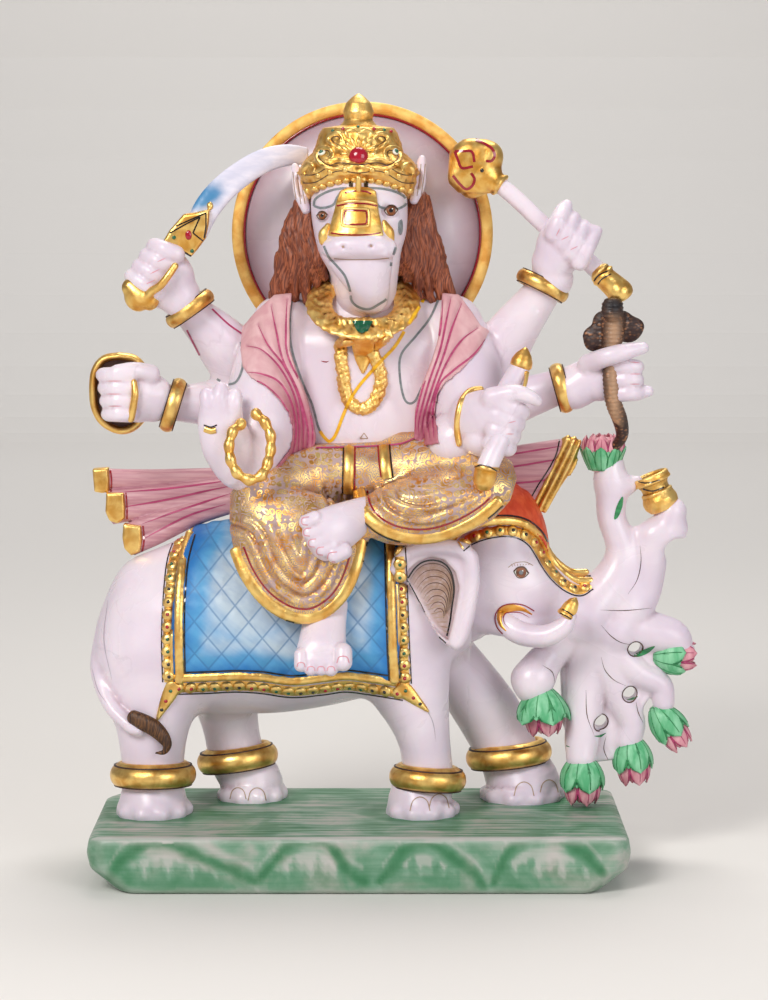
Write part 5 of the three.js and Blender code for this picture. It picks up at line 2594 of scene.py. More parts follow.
class Blossom:
    """Rows of petals round an axis."""

    def __init__(self, foot: Point, axis: Point) -> None:
        """Sets the flower's foot and the way that it points.

        Args:
            foot: where the flower starts.
            axis: the way that it points.
        """
        self.foot, self.axis = np.array(foot, dtype=float), unit(axis)
        self.side = unit(np.cross(self.axis, DEPTH))
        self.deep = np.cross(self.axis, self.side)

    def petals(
        self,
        heap: Heap,
        count: int,
        heights: Flat,
        radii: Point,
        spread: float,
        phase: float = 0.0,
        sharp: float = 0.7,
        thickness: float = 1.1,
        edging: Heap | None = None,
    ) -> None:
        """Adds a row of petals.

        Args:
            heap: takes the mesh.
            count: how many.
            heights: where they start and end along the axis.
            radii: at their foot, their middle and their tip.
            spread: half the angle that each covers, in radians.
            phase: turns the row, in steps of a petal.
            sharp: how soon a petal narrows; less is rounder.
            thickness: of each petal.
            edging: takes a fine line down both edges of each petal, and one down its middle.
        """
        for number in range(count):
            middle = 2 * math.pi * (number + phase) / count
            rows, lines = [], []
            for t in np.linspace(0, 1, 9):
                radius = (1 - t) ** 2 * radii[0] + 2 * t * (1 - t) * radii[1] + t * t * radii[2]
                half = spread * math.sqrt(max(1 - t ** (1 / max(sharp, 0.1)), 0.0)) + 0.02
                height = heights[0] + (heights[1] - heights[0]) * t
                row = []
                for share in np.linspace(-1, 1, 7):
                    angle = middle + share * half
                    bulge = radius + 1.3 * math.cos(share * 1.4) * (1 - 0.5 * t)
                    out = self.side * math.cos(angle) + self.deep * math.sin(angle)
                    row.append(self.foot + self.axis * height + out * bulge)
                rows.append(row)
                bands = []
                for share in (-1.02, -0.86, -0.03, 0.03, 0.86, 1.02):
                    angle = middle + share * half
                    bulge = radius + 1.3 * math.cos(share * 1.4) * (1 - 0.5 * t) + 0.35
                    out = self.side * math.cos(angle) + self.deep * math.sin(angle)
                    bands.append(self.foot + self.axis * height + out * bulge)
                lines.append(bands)
            heap.put_sheet(np.array(rows)[:, ::-1], thickness)
            if edging is not None:
                for first in (0, 2, 4):
                    edging.put_sheet(np.array(lines)[:-1, first : first + 2][:, ::-1], 0.5)


@dataclass
class Lotuses:
    """The lotus cup on the upright trunk, the buds on five others, and the gilded vessel."""

    buds: tuple[tuple[float, ...], ...] = (
        # foot mark, tip mark, depth, radius
        (655, 656, 697, 655, 34, 14.5),
        (656, 708, 684, 748, 34, 13.0),
        (630, 737, 635, 785, 34, 15.0),
        (582, 756, 582, 805, 20, 16.5),
        (542, 688, 544, 736, 18, 17.0),
    )
    cup_foot: tuple[float, ...] = (603, 470, 34)
    cup_height: float = 27.0
    vessel_foot: tuple[float, ...] = (663, 507, 34)

    def dress(self, book: LineBook) -> None:
        """Makes the flowers and the vessel.

        Args:
            book: takes the painted lines.
        """
        green, pink, cores = Heap(), Heap(), Clay((126, 0, 50), (290, 64, 350), 1.4)
        leaf, rose = book.page(Tone.LEAF), book.page(Tone.MAGENTA)
        for index, (u0, v0, u1, v1, depth, wide) in enumerate(self.buds):
            (x0, y0, z0), (x1, _, z1) = seen([(u0, v0, depth), (u1, v1, depth)])
            length = math.hypot(x1 - x0, z1 - z0)
            flower = Blossom((x0, y0, z0), (x1 - x0, 0.0, z1 - z0))
            umbrella = index == 4
            flare = 1.25 if umbrella else 0.98
            flower.petals(
                green, 5, (-2.0, length * 0.7), (4.0, wide * 1.3, wide * flare), 0.72, sharp=0.34,
                thickness=1.4, edging=leaf,
            )
            flower.petals(
                green, 5, (-1.0, length * 0.58), (5.0, wide * 1.22, wide * flare * 0.96), 0.66, phase=0.5,
                sharp=0.34, thickness=1.3, edging=leaf,
            )
            flower.petals(
                pink, 5, (length * 0.3, length * 0.98), (wide * 0.68, wide * 1.04, wide * 0.62), 0.66,
                sharp=0.3, thickness=1.6, edging=rose,
            )
            flower.petals(
                pink, 5, (length * 0.3, length * 0.92), (wide * 0.55, wide * 0.94, wide * 0.46), 0.62,
                phase=0.5, sharp=0.36, thickness=1.5,
            )
            profile = (
                (0, 0), (wide * 0.3, 0), (wide * 0.6, length * 0.25), (wide * 0.72, length * 0.6),
                (wide * 0.3, length * 0.9), (0, length * 0.92),
            )
            cores.add(Turned((x0, y0, z0), (x1 - x0, 0.0, z1 - z0), profile), 1.0)
        (foot,) = seen([self.cup_foot])
        cup = Blossom(foot, UP)
        high = self.cup_height
        cup.petals(green, 9, (0, high * 0.72), (10.0, 15.5, 18.6), 0.42, sharp=0.6, edging=leaf)
        cup.petals(green, 9, (0, high * 0.6), (9.5, 14.0, 17.0), 0.4, phase=0.5, sharp=0.6)
        cup.petals(
            pink, 10, (high * 0.4, high * 1.02), (14.5, 19.0, 14.0), 0.36, phase=0.25, sharp=0.6,
            edging=rose,
        )
        cup.petals(pink, 7, (high * 0.6, high * 1.08), (12.0, 13.5, 8.0), 0.5, phase=0.6, sharp=0.6)
        profile = ((0, -1), (9.5, -1), (13, 8), (16, 16), (12, 25), (0, 27))
        cores.add(Turned(foot, UP, profile), 1.0)
        green_finish = Painted(
            "sepal_green", colour(140, 206, 162), colour(78, 168, 114), colour(18, 100, 62), along=40,
            across=150, upright=1.0, depth=0.9,
        )
        pink_finish = Painted(
            "petal_pink", colour(226, 168, 176), colour(196, 116, 132), colour(140, 50, 74), along=40,
            across=150, upright=1.0, depth=0.9,
        )
        piece("lotus_sepals", green, green_finish)
        piece("lotus_petals", pink, pink_finish)
        piece("lotus_cores", cores.skin(1), pink_finish)
        self.vessel(book)

    def vessel(self, book: LineBook) -> None:
        """Makes the gilded vessel on the second trunk.

        Args:
            book: takes the painted lines.
        """
        (foot,) = seen([self.vessel_foot])
        clay = Clay((216, 14, 276), (268, 56, 326), 0.8)
        axis = (-0.42, 0.0, 1.0)
        outer = (
            (0, -2), (11, -2), (14, 2.5), (14.4, 7), (12.8, 11.5), (11.0, 14.5), (11.2, 18.5), (13.6, 22.5),
            (15.0, 24.2), (14.9, 27.5), (13.6, 28.4), (0, 28.4),
        )
        clay.add(Turned(foot, axis, outer), 0.0)
        for height, radius in ((22.8, 14.2), (13.2, 11.6)):
            at = np.array(foot) + unit(axis) * height
            clay.add(Ring(tuple(at), axis, radius, (1.5, 1.2)), 1.0)
        clay.cut(
            Turned(
                tuple(np.array(foot) + unit(axis) * 19.0), axis,
                ((0, 0), (6, 0), (12.2, 7), (12.4, 12), (0, 12)),
            ),
            0.6,
        )
        shell = clay.skin(1)
        piece("gilded_vessel", shell, RELIEF_GOLD)
        for path in (((636, 481), (647, 483), (660, 480)), ((643, 489), (653, 491), (664, 487))):
            book.line(Ground(shell), Tone.BLACK, path, 1.2, lift=0.3)


def fingers(
    first: tuple[Flat, Flat],
    last: tuple[Flat, Flat],
    depth: Flat,
    radius: float,
    curl: float = 8.0,
    count: int = 4,
) -> list[Form]:
    """Fingers side by side, as seen in the picture.

    Args:
        first: base and tip of the first finger.
        last: base and tip of the last.
        depth: how deep the bases and the tips lie.
        radius: of each finger.
        curl: how far the ends turn back.
        count: how many.

    Returns:
        Their forms.
    """
    made = []
    for share in np.linspace(0, 1, count):
        base, tip = (np.array(a) * (1 - share) + np.array(b) * share for a, b in zip(first, last))
        knuckle, end = base * 0.45 + tip * 0.55, tip + (tip - base) * 0.06
        rows = [
            (*base, depth[0], radius * 1.05),
            (*knuckle, min(depth) - 1.5, radius),
            (*tip, depth[1], radius * 0.94),
            (*end, depth[1] + curl, radius * 0.8),
        ]
        made.append(Limb(seen(rows), steps=2))
    return made


@dataclass
class Rider:
    """The rider's marble: torso, six arms with their hands, head, ears and feet."""

    torso: tuple[tuple[float, ...], ...] = (
        (6, 28, 312, 46, 36), (6, 32, 345, 41, 33), (6, 32, 380, 49, 36), (6, 33, 412, 60, 37),
        (5, 35, 438, 58, 31), (3, 32, 458, 30, 26), (4, 22, 474, 26, 24),
    )
    arms: tuple[tuple[tuple[float, ...], ...], ...] = (
        (
            (-56, 44, 392, 30, 26), (-92, 38, 400, 26, 22), (-116, 30, 424, 19, 18), (-133, 20, 442, 14),
            (-140, 12, 452, 15),
        ),
        (
            (-62, 42, 372, 24, 24), (-98, 36, 368, 20, 19), (-124, 28, 367, 17, 16), (-146, 20, 368, 14),
            (-164, 12, 372, 16),
        ),
        (
            (70, 44, 388, 30, 26), (102, 38, 398, 25, 22), (128, 30, 432, 18.5, 18), (146, 20, 457, 14.5),
            (152, 14, 466, 17),
        ),
        (
            (74, 42, 364, 24, 24), (110, 36, 364, 19, 18), (140, 28, 374, 16, 15), (160, 20, 381, 14),
            (176, 14, 385, 16),
        ),
        ((-60, 30, 428, 25), (-72, 6, 390, 27.5), (-76, -12, 354, 30), (-80, -24, 336, 25)),
        ((74, 30, 428, 25), (86, 8, 388, 27.5), (84, -14, 354, 25), (76, -22, 342, 22)),
    )
    skull: tuple[tuple[float, ...], ...] = (
        (359, 172, 20, 35, 33), (359, 200, 8, 37.5, 34), (360, 222, 0, 37, 32), (361, 244, 2, 34, 28),
        (364, 266, 6, 28, 24), (366, 292, 14, 24, 22),
    )
    jaw: tuple[tuple[float, ...], ...] = (
        (361, 256, -23, 26, 14), (365, 270, -21, 22, 14), (369, 286, -15, 16.5, 14), (370, 299, -7, 14, 12),
    )
    bridge: tuple[tuple[float, ...], ...] = (
        (359, 190, -12, 12, 10), (358, 212, -21, 15, 12), (357, 236, -28, 24, 11),
    )
    arm_blends: tuple[float, ...] = (9.0, 9.0, 9.0, 9.0, 5.0, 5.0)
    ground: Ground | None = None
    face: Ground | None = None
    feet: Ground | None = None

    def hands(self) -> list[Form]:
        """Returns the six hands.

        Returns:
            The forms of the hands.
        """
        forms: list[Form] = []
        place = lambda u, v, y, *r: Ball(seen([(u, v, y)])[0], r)
        forms += [place(168, 280, 6, 21, 15, 24), place(180, 296, 9, 16, 15, 18)]
        forms += fingers(((176, 254), (155, 246)), ((156, 292), (133, 277)), (-4, 0), 6.9)
        forms += [place(138, 396, 4, 18, 14, 21), place(152, 398, 8, 17, 14, 19)]
        forms += fingers(((130, 375), (104, 375)), ((130, 414), (109, 414)), (-8, -3), 6.4)
        forms += [Limb(seen([(150, 374, 0, 8), (134, 370, -8, 6.4), (118, 371, -10, 5.4)]))]
        forms += [Limb(seen([
            (250, 466, -28, 20), (238, 466, -38, 18, 15), (228, 446, -46, 20, 13), (221, 424, -49, 18, 11),
            (220, 410, -49, 16, 9),
        ]))]
        forms += fingers(((209, 420), (207, 395)), ((234, 418), (235, 396)), (-50, -51), 6.2, 5.0, 3)
        forms += [Limb(seen([(215, 414, -52, 6.4), (219, 398, -53, 6.2), (221, 389, -51, 5.4)]))]
        forms += [place(560, 248, 6, 19, 15, 22), place(552, 262, 9, 16, 15, 17)]
        forms += fingers(((553, 234), (563, 211)), ((580, 262), (593, 236)), (-6, 2), 6.6, 4.0)
        forms += [
            Limb(seen([(573, 232, 0, 7), (590, 231, 2, 5.6), (597, 231, 3, 4.4)])),
            Limb(seen([(556, 226, 0, 8), (563, 212, 2, 6.4), (567, 205, 3, 4.6)])),
        ]
        forms += [Limb(seen([(574, 388, 14, 17), (590, 380, 10, 17, 14), (602, 381, 7, 16, 12)]))]
        forms += [
            Limb(seen([(588, 364, 2, 8), (606, 357, -11, 7.4), (624, 352, -12, 6.8), (643, 348, -8, 4.8)]))
        ]
        forms += fingers(((612, 366), (636, 367)), ((616, 394), (636, 393)), (-2, -4), 6.4, 9.0, 3)
        forms += [Limb(seen([(618, 388, 0, 7), (636, 392, -1, 6.2), (648, 391, -1, 4.6)]))]
        forms += [Limb(seen(
            [(470, 425, -24, 20), (478, 420, -36, 22, 18), (492, 416, -46, 21, 16), (502, 414, -50, 18, 15)]
        ))]
        forms += [place(487, 440, -40, 19, 17, 14)]
        forms += fingers(((500, 402), (521, 412)), ((492, 444), (508, 448)), (-58, -54), 7.2, 12.0)
        forms += [Limb(
            seen([(492, 398, -56, 8.5), (514, 393, -62, 7), (530, 397, -62, 5.6), (537, 401, -60, 4.2)])
        )]
        return forms

    @staticmethod
    def shoulder(side: int) -> Ball:
        """Returns the swelling of a shoulder."""
        return Ball((6 + side * 60, 34, 422), (24, 26, 27))

    def build_body(self) -> Shell:
        """Returns the skin of the torso and the arms.

        Returns:
            The skin.
        """
        clay = Clay((-212, -76, 300), (242, 74, 532), 1.75)
        clay.add(Limb(self.torso), 0.0)
        for side in (-1, 1):
            clay.add(self.shoulder(side), 12.0)
            clay.add(Ball((6 + side * 24, 10, 404), (25, 10, 22)), 12.0)
            flank = ((6 + side * 42, 20, 412, 16), (6 + side * 37, 15, 376, 16), (6 + side * 33, 13, 342, 15))
            clay.add(Limb(flank), 10.0)
        clay.add(Ball((6, 6, 352), (30, 10, 22)), 9.0)
        for run, blend in zip(self.arms, self.arm_blends):
            clay.add(Limb(run, steps=5), blend)
        for form in self.hands():
            clay.add(form, 2.2)
        clay.add(Ball((-64, -6, 344), (24, 22, 28)), 8.0)
        clay.add(Ball((-76, -25, 346), (20, 17, 30)), 8.0)
        navel = seen([(361, 440, -8)])[0]
        clay.cut(Ball(navel, (2.6, 6, 2.0)), 1.5)
        return clay.skin()

    def head_clay(self, pitch: float, low: Point, high: Point) -> Clay:
        """Returns a block with skull, jaw and bridge, at the pitch asked for.

        Args:
            pitch: the size of its cells.
            low: its low corner.
            high: its high corner.

        Returns:
            The block.
        """
        clay = Clay(low, high, pitch)
        clay.add(Limb(seen(self.skull)), 0.0)
        clay.add(Limb(seen(self.jaw)), 5.0)
        clay.add(Limb(seen(self.bridge)), 7.0)
        return clay

    def build_head(self) -> Shell:
        """Returns the skin of the head.

        Returns:
            The skin.
        """
        clay = self.head_clay(1.15, (-52, -50, 436), (56, 60, 572))
        clay.add(
            Limb(seen([
                (334, 248, -27, 8.6, 12), (346, 246, -31, 10.4, 13), (372, 246, -31, 10.4, 13),
                (385, 248, -27, 8.6, 12),
            ])),
            2.5,
        )
        clay.add(Limb(seen([(334, 253, -28, 5.0, 12), (385, 253, -28, 5.0, 12)])), 2.0)
        for u, v in ((322, 215), (391, 211)):
            socket = seen([(u, v, -24)])[0]
            clay.cut(Ball(socket, (7.0, 4.5, 5.0)), 5.0)
            clay.add(Ball(seen([(u, v, -19.5)])[0], (5.6, 4.4, 4.2)), 1.0)
        for u, v in ((343, 247), (371, 246)):
            clay.cut(Ball(seen([(u, v, -44.5)])[0], (2.2, 3.0, 1.8)), 2.0)
        mouth = seen([
            (334, 259.5, -40, 0.7, 4), (347, 260, -45, 0.7, 4), (372, 260, -45, 0.7, 4),
            (389, 259, -38, 0.7, 4),
        ])
        clay.cut(Limb(mouth), 1.0)
        return clay.skin()

    def build_ears(self) -> Shell:
        """Returns the skin of both ears.

        Returns:
            The skin.
        """
        clay = Clay((-60, -2, 508), (62, 44, 582), 1.0)
        for rows in (
            ((295, 167, 24, 3, 4), (298, 178, 20, 5, 5), (301, 194, 16, 5.5, 5), (306, 210, 12, 3.5, 4)),
            ((422, 159, 24, 3, 4), (420, 172, 20, 5, 5), (418, 186, 16, 5.5, 5), (414, 200, 12, 3.5, 4)),
        ):
            clay.add(Limb(seen(rows)), 0.0)
            inner = [(u, v, y - 6, 2.4, 4) for u, v, y, *_ in rows[1:3]]
            clay.cut(Limb(seen(inner)), 2.0)
        return clay.skin()

    def build_feet(self) -> Shell:
        """Returns the skin of both feet.

        Returns:
            The skin.
        """
        clay = Clay((-58, -90, 166), (26, -34, 316), 1.1)
        hanging = seen([
            (326, 604, -40, 17, 12), (324, 626, -50, 17, 12), (322, 648, -62, 19, 12),
            (321, 661, -68, 20.5, 9),
        ])
        folded = seen([
            (372, 512, -38, 13, 9), (358, 517, -50, 14.5, 11), (343, 525, -62, 17.5, 13),
            (330, 532, -69, 19, 12), (318, 538, -72, 19, 10),
        ])
        clay.add(Limb(hanging, steps=5), 0.0)
        clay.add(Limb(folded, steps=5), 0.0)
        hanging_toes = ((301, 667, 5.4), (311, 671, 5.4), (321, 671, 5.2), (331, 671, 5.6), (343, 664, 7.2))
        for u, v, r in hanging_toes:
            clay.add(Limb(seen([(u, v - 12, -70, r), (u, v - 2, -73, r)])), 1.6)
        folded_toes = ((305, 522, 5.6), (308, 533, 5.4), (314, 543, 5.4), (322, 550, 5.4), (334, 555, 6.4))
        for u, v, r in folded_toes:
            clay.add(Limb(seen([(u + 10, v - 4, -76, r), (u + 1, v, -78, r)])), 1.6)
        return clay.skin()

    def dress(self) -> None:
        """Makes the rider's marble pieces."""
        body, head, ears, feet = self.build_body(), self.build_head(), self.build_ears(), self.build_feet()
        piece("rider_torso_and_arms", body, MARBLE)
        piece("rider_head", head, MARBLE)
        piece("rider_ears", ears, MARBLE)
        piece("rider_feet", feet, MARBLE)
        self.ground = Ground(body)
        self.face = Ground(head, ears)
        self.feet = Ground(feet)


@dataclass
class Hair:
    """The brown hair that falls behind the cheeks."""

    left: tuple[tuple[Flat, Flat, Flat], ...] = (
        ((299, 205), (289, 240), (272, 302)),
        ((302, 207), (295, 245), (283, 304)),
        ((305, 210), (301, 248), (294, 304)),
        ((307, 214), (307, 252), (306, 300)),
        ((309, 222), (312, 253), (316, 284)),
        ((311, 232), (318, 257), (325, 277)),
    )
    right: tuple[tuple[Flat, Flat, Flat], ...] = (
        ((422, 198), (431, 238), (453, 302)),
        ((419, 202), (425, 242), (443, 303)),
        ((415, 206), (419, 246), (431, 300)),
        ((412, 212), (414, 249), (419, 296)),
        ((409, 222), (409, 250), (408, 279)),
        ((406, 232), (404, 254), (398, 272)),
    )

    def dress(self) -> None:
        """Makes the hair."""
        clay = Clay((-74, 2, 432), (82, 62, 542), 1.3)
        for locks in (self.left, self.right):
            for number, ((u0, v0), (u1, v1), (u2, v2)) in enumerate(locks):
                deep = 26 - 2.5 * number
                rows = [(u0, v0, deep, 5.5, 8), (u1, v1, deep, 7.5, 12), (u2, v2, deep + 2, 3.6, 5)]
                clay.add(Limb(seen(rows), steps=5), 1.2)
        clay.add(Ball((2, 44, 500), (54, 20, 48)), 8.0)

        def waves(x: Array, y: Array, z: Array) -> Array:
            """Returns how far the waves stand out."""
            bend = 3.0 * np.sin(z / 9.0) + 1.2 * np.sin(z / 4.0 + x / 9.0)
            return 0.5 * np.sin((x + bend) * 1.3) + 0.7 * np.sin((x - bend) * 0.6 + z / 14.0) + 0 * y

        clay.swell(waves)
        piece("hair", clay.skin(1), Strands())


@dataclass
class Halo:
    """The disc behind the head, with its gold rim."""

    centre: Point = (3.0, 66.0, 501.0)
    radius: float = 104.5

    def dress(self) -> None:
        """Makes the disc, the rim and the red line."""
        r = self.radius
        panel = ((0, -2.0), (r * 0.5, -2.2), (r - 8, -2.0), (r - 8, 12.0), (0, 12.0))
        rim = (
            (r - 9.4, 9), (r - 9.4, -3.0), (r - 8.2, -4.4), (r - 4.0, -5.0), (r - 1.0, -4.2), (r, -2.6),
            (r, 11.4), (r - 1.2, 13), (r - 9.4, 13),
        )
        line = ((r - 9.2, -3.0), (r - 9.4, -3.6), (r - 10.9, -3.3), (r - 11.0, -1.9), (r - 9.4, -1.9))
        for name, profile, finish in (
            ("halo_panel", panel, MARBLE), ("halo_rim", rim, RIM_GOLD),
            ("halo_red_line", line, Tone.RED.value),
        ):
            heap = Heap()
            heap.put_turned(self.centre, DEPTH, profile, 180)
            piece(name, heap, finish)


@dataclass
class Dhoti:
    """The gold-flowered cloth round hips and legs, with its folds, hems and sash."""

    forms: tuple[tuple[tuple[float, ...], ...], ...] = (
        (
            (-30, 10, 316, 34, 34), (-66, -18, 300, 31, 30), (-66, -34, 276, 34, 26),
            (-50, -44, 242, 42, 22), (-40, -50, 222, 30, 17),
        ),
        ((34, 8, 314, 34, 32), (84, -18, 311, 33, 30), (104, -30, 305, 26, 26)),
    )
    left_hem: tuple[Flat, ...] = (
        (236, 550), (245, 572), (258, 592), (273, 606), (291, 615.5), (310, 617), (328, 609), (344, 592),
        (355, 567), (361, 540),
    )
    right_hem: tuple[Flat, ...] = (
        (359, 492), (363, 508), (373, 522), (390, 532.5), (412, 537.5), (436, 536), (462, 527), (484, 514),
        (499, 501),
    )
    outline: tuple[Flat, ...] = (
        (262, 462), (240, 478), (229, 496), (229, 530), (236, 556), (250, 585), (268, 606), (288, 620),
        (308, 626), (326, 619),
        (343, 605), (356, 582), (364, 556), (370, 536), (387, 543), (412, 547), (438, 545), (466, 535),
        (492, 520), (510, 500),
        (517, 478), (511, 456), (484, 444), (448, 437), (415, 430), (380, 446), (340, 448), (316, 448),
        (292, 456),
    )

    def bulk(self) -> Clay:
        """Returns the clay of hips and legs before it is trimmed.

        Returns:
            The block.
        """
        clay = Clay((-110, -96, 196), (132, 72, 352), 1.6)
        clay.add(Ball((4, 16, 314), (72, 45, 31)), 0.0)
        clay.add(Ball((0, 24, 282), (92, 40, 28)), 12.0)
        for rows in self.forms:
            clay.add(Limb(rows, steps=5), 10.0)
        clay.add(Ball((-46, -44, 254), (50, 25, 51), (0, -14, 0)), 8.0)
        clay.add(Ball((55, -41, 291), (65, 28, 27), (0, -12, 0)), 8.0)
        return clay

    def build(self) -> Shell:
        """Returns the cloth's skin with its folds.

        Returns:
            The skin.
        """
        clay = self.bulk()
        left, right = (traced(smooth_line(path, 6), depth) for path, depth in (
            (self.left_hem, -58), (self.right_hem, -64),
        ))

        def folds(x: Array, y: Array, z: Array) -> Array:
            """Returns how far the folds stand out.

            Args:
                x: how far across the points lie.
                y: how far back they lie.
                z: how high they lie.

            Returns:
                The height at each point.
            """
            flat_x, flat_z = x + 0 * z, z + 0 * x
            a = path_distance(left, flat_x, flat_z)
            b = path_distance(right, flat_x, flat_z)
            seam = np.clip((flat_x * 0.85 + (flat_z - 268.0)) / 12.0, -1, 1) * 0.5 + 0.5
            gap = a * (1 - seam) + b * seam
            near = np.clip((gap - 7.0) / 4.0, 0, 1) * np.clip((52.0 - gap) / 22.0, 0, 1)
            near = near * np.clip((312.0 - 22.0 * (1 - seam) - flat_z) / 16.0, 0, 1)
            wave = np.sin(2 * math.pi * gap / 9.2 - 1.2) + 0.35 * np.sin(2 * math.pi * gap / 5.2 + x / 9.0)
            front = np.clip((4.0 - y) / 14.0, 0, 1)
            return 1.45 * wave * near * front

        clay.swell(folds)
        clay.keep(Plate(traced(self.outline, -45), -120, 140, 1.0).distance)
        return clay.skin()

    def dress(self, book: LineBook) -> None:
        """Makes the cloth, its hems and the sash.

        Args:
            book: takes the painted lines.
        """
        shell = self.build()
        piece("dhoti", shell, Brocade())
        ground = Ground(shell)
        gold = Heap()
        brush = Brush(ground, EYE)
        clay = Clay((-108, -104, 190), (126, 0, 312), 1.15)
        for path in (self.left_hem, self.right_hem):
            clay.add_all(laid(ground, EYE, path, 5.2, 3.0, 5.0), 1.0)
        hems = clay.skin(1)
        gold.put_shell(hems)
        over = Ground(hems).also(ground)
        for path in (self.left_hem, self.right_hem):
            brush.band(book.page(Tone.RED), path, 1.8, lift=0.5, shift=-8.4)
            book.line(over, Tone.BLACK, path, 1.3, lift=0.4, shift=6.2, jump=8.0)
        bars = (((349, 447), (348.5, 470), (348, 493)), ((384, 446), (385, 462), (387, 478)))
        for bar in bars:
            brush.band(gold, bar, 10.5, rise=1.4, lift=0.4, across=7)
        for path, tone in (
            (((343.5, 448), (343, 470), (342.5, 493)), Tone.BLACK),
            (((355, 447), (354.8, 470), (354.5, 490)), Tone.RED),
            (((378, 446), (379, 462), (381, 477)), Tone.RED),
            (((389.5, 445), (391, 462), (393, 478)), Tone.BLACK),
        ):
            brush.band(book.page(tone), path, 1.5, lift=0.7)
        brush.band(
            book.page(Tone.MAGENTA), ((316, 448), (340, 447.5), (372, 446.5), (400, 444), (416, 438)), 1.6,
            lift=0.5,
        )
        piece("dhoti_hems", gold, GOLD)


@dataclass
class Shawl:
    """The dusty pink scarf over both shoulders, gathered towards the waist."""

    left: tuple[Flat, ...] = (
        (273, 296), (254, 313), (240, 329), (240, 350), (243, 366), (251, 376), (266, 384), (280, 397),
        (290, 412), (294, 430),
        (291, 446), (276, 466), (300, 466), (313, 454), (316, 438), (313, 420), (306, 396), (297, 372),
        (290, 350), (289, 320), (291, 294),
    )
    right: tuple[Flat, ...] = (
        (443, 294), (460, 296), (472, 312), (482, 327), (491, 332), (480, 350), (460, 370), (444, 383),
        (437, 394), (435, 412),
        (438, 440), (425, 444), (414, 438), (415, 410), (422, 385), (432, 360), (438, 340), (441, 312),
    )
    left_folds: tuple[tuple[Flat, ...], ...] = (
        ((271, 306), (276, 330), (283, 360), (298, 392), (308, 430), (306, 452)),
        ((258, 325), (268, 345), (284, 366), (297, 392), (303, 420), (303, 452)),
        ((247, 346), (262, 350), (280, 368), (294, 395), (299, 424), (298, 455)),
        ((246, 372), (262, 374), (279, 382), (291, 402), (296, 430), (292, 458)),
        ((287, 300), (286, 330), (288, 356), (303, 390), (312, 424), (312, 448)),
    )
    right_folds: tuple[tuple[Flat, ...], ...] = (
        ((451, 298), (446, 322), (440, 350), (428, 385), (419, 420), (419, 436)),
        ((462, 303), (452, 328), (444, 354), (432, 388), (423, 420), (424, 438)),
        ((478, 328), (462, 340), (448, 360), (436, 388), (428, 418), (430, 438)),
        ((488, 335), (474, 354), (454, 370), (440, 384), (433, 410), (434, 438)),
        ((443, 300), (441, 325), (436, 350), (424, 384), (416, 416), (416, 434)),
    )

    def dress(self, rider: Rider, book: LineBook) -> None:
        """Makes both halves and paints their folds.

        Args:
            rider: the rider underneath.
            book: takes the painted lines.
        """
        light = Painted(
            "dusty_pink", colour(216, 174, 176), colour(204, 152, 158), colour(150, 60, 96),
            third=colour(176, 96, 116), along=30, across=120, upright=0.8, depth=0.85,
        )
        for name, outline, folds, side in (
            ("left", self.left, self.left_folds, -1), ("right", self.right, self.right_folds, 1),
        ):
            low = (-100, -60, 306) if side < 0 else (34, -60, 322)
            high = (-24, 70, 460) if side < 0 else (112, 70, 460)
            clay = Clay(low, high, 1.35)
            clay.add(Limb(rider.torso), 0.0)
            clay.add(rider.shoulder(side), 12.0)
            for run, blend in zip(rider.arms, rider.arm_blends):
                if run[0][0] * side > 0:
                    clay.add(Limb(run, steps=5), blend)
            waist = [
                (6 + side * 56, 20, 440, 16, 12), (6 + side * 52, -2, 404, 15, 12),
                (6 + side * 40, -8, 372, 12, 10), (6 + side * 33, -8, 342, 12, 10),
                (6 + side * 34, -12, 322, 12, 10),
            ]
            clay.add(Limb(waist), 10.0)
            if side < 0:
                clay.add(Ball((-64, -6, 344), (24, 22, 28)), 8.0)
            paths = [traced(smooth_line(path, 5), -6) for path in folds]

            def pleats(x: Array, y: Array, z: Array, paths: Sequence[Sequence[Flat]] = paths) -> Array:
                """Returns how far the pleats stand out.

                Args:
                    x: how far across the points lie.
                    y: how far back they lie.
                    z: how high they lie.
                    paths: the lines of the folds.

                Returns:
                    The height at each point.
                """
                sunk = 2.4 + 0 * (x + z)
                for path in paths:
                    sunk = np.minimum(
                        sunk, 2.4 - 1.5 * np.exp(-((path_distance(path, x + 0 * z, z + 0 * x) / 1.9) ** 2)),
                    )
                return sunk + 0 * y

            clay.swell(pleats)
            clay.keep(Plate(traced(outline, -8), -90, 100, 0.6).distance)
            shell = clay.skin()
            marks = marks_of(shell.corners)
            piece(f"shawl_{name}", shell, light, {"tint": np.clip((marks[:, 1] - 372) / 60.0, 0, 0.75)})
            ground = Ground(shell)
            for path in folds:
                book.line(ground, Tone.MAGENTA, path, 2.0, lift=0.22, taper=0.2)
            edge = outline[:9] if side < 0 else outline[3:9]
            book.line(ground, Tone.MAGENTA, edge, 1.4, lift=0.3, shift=-1.2 * side)


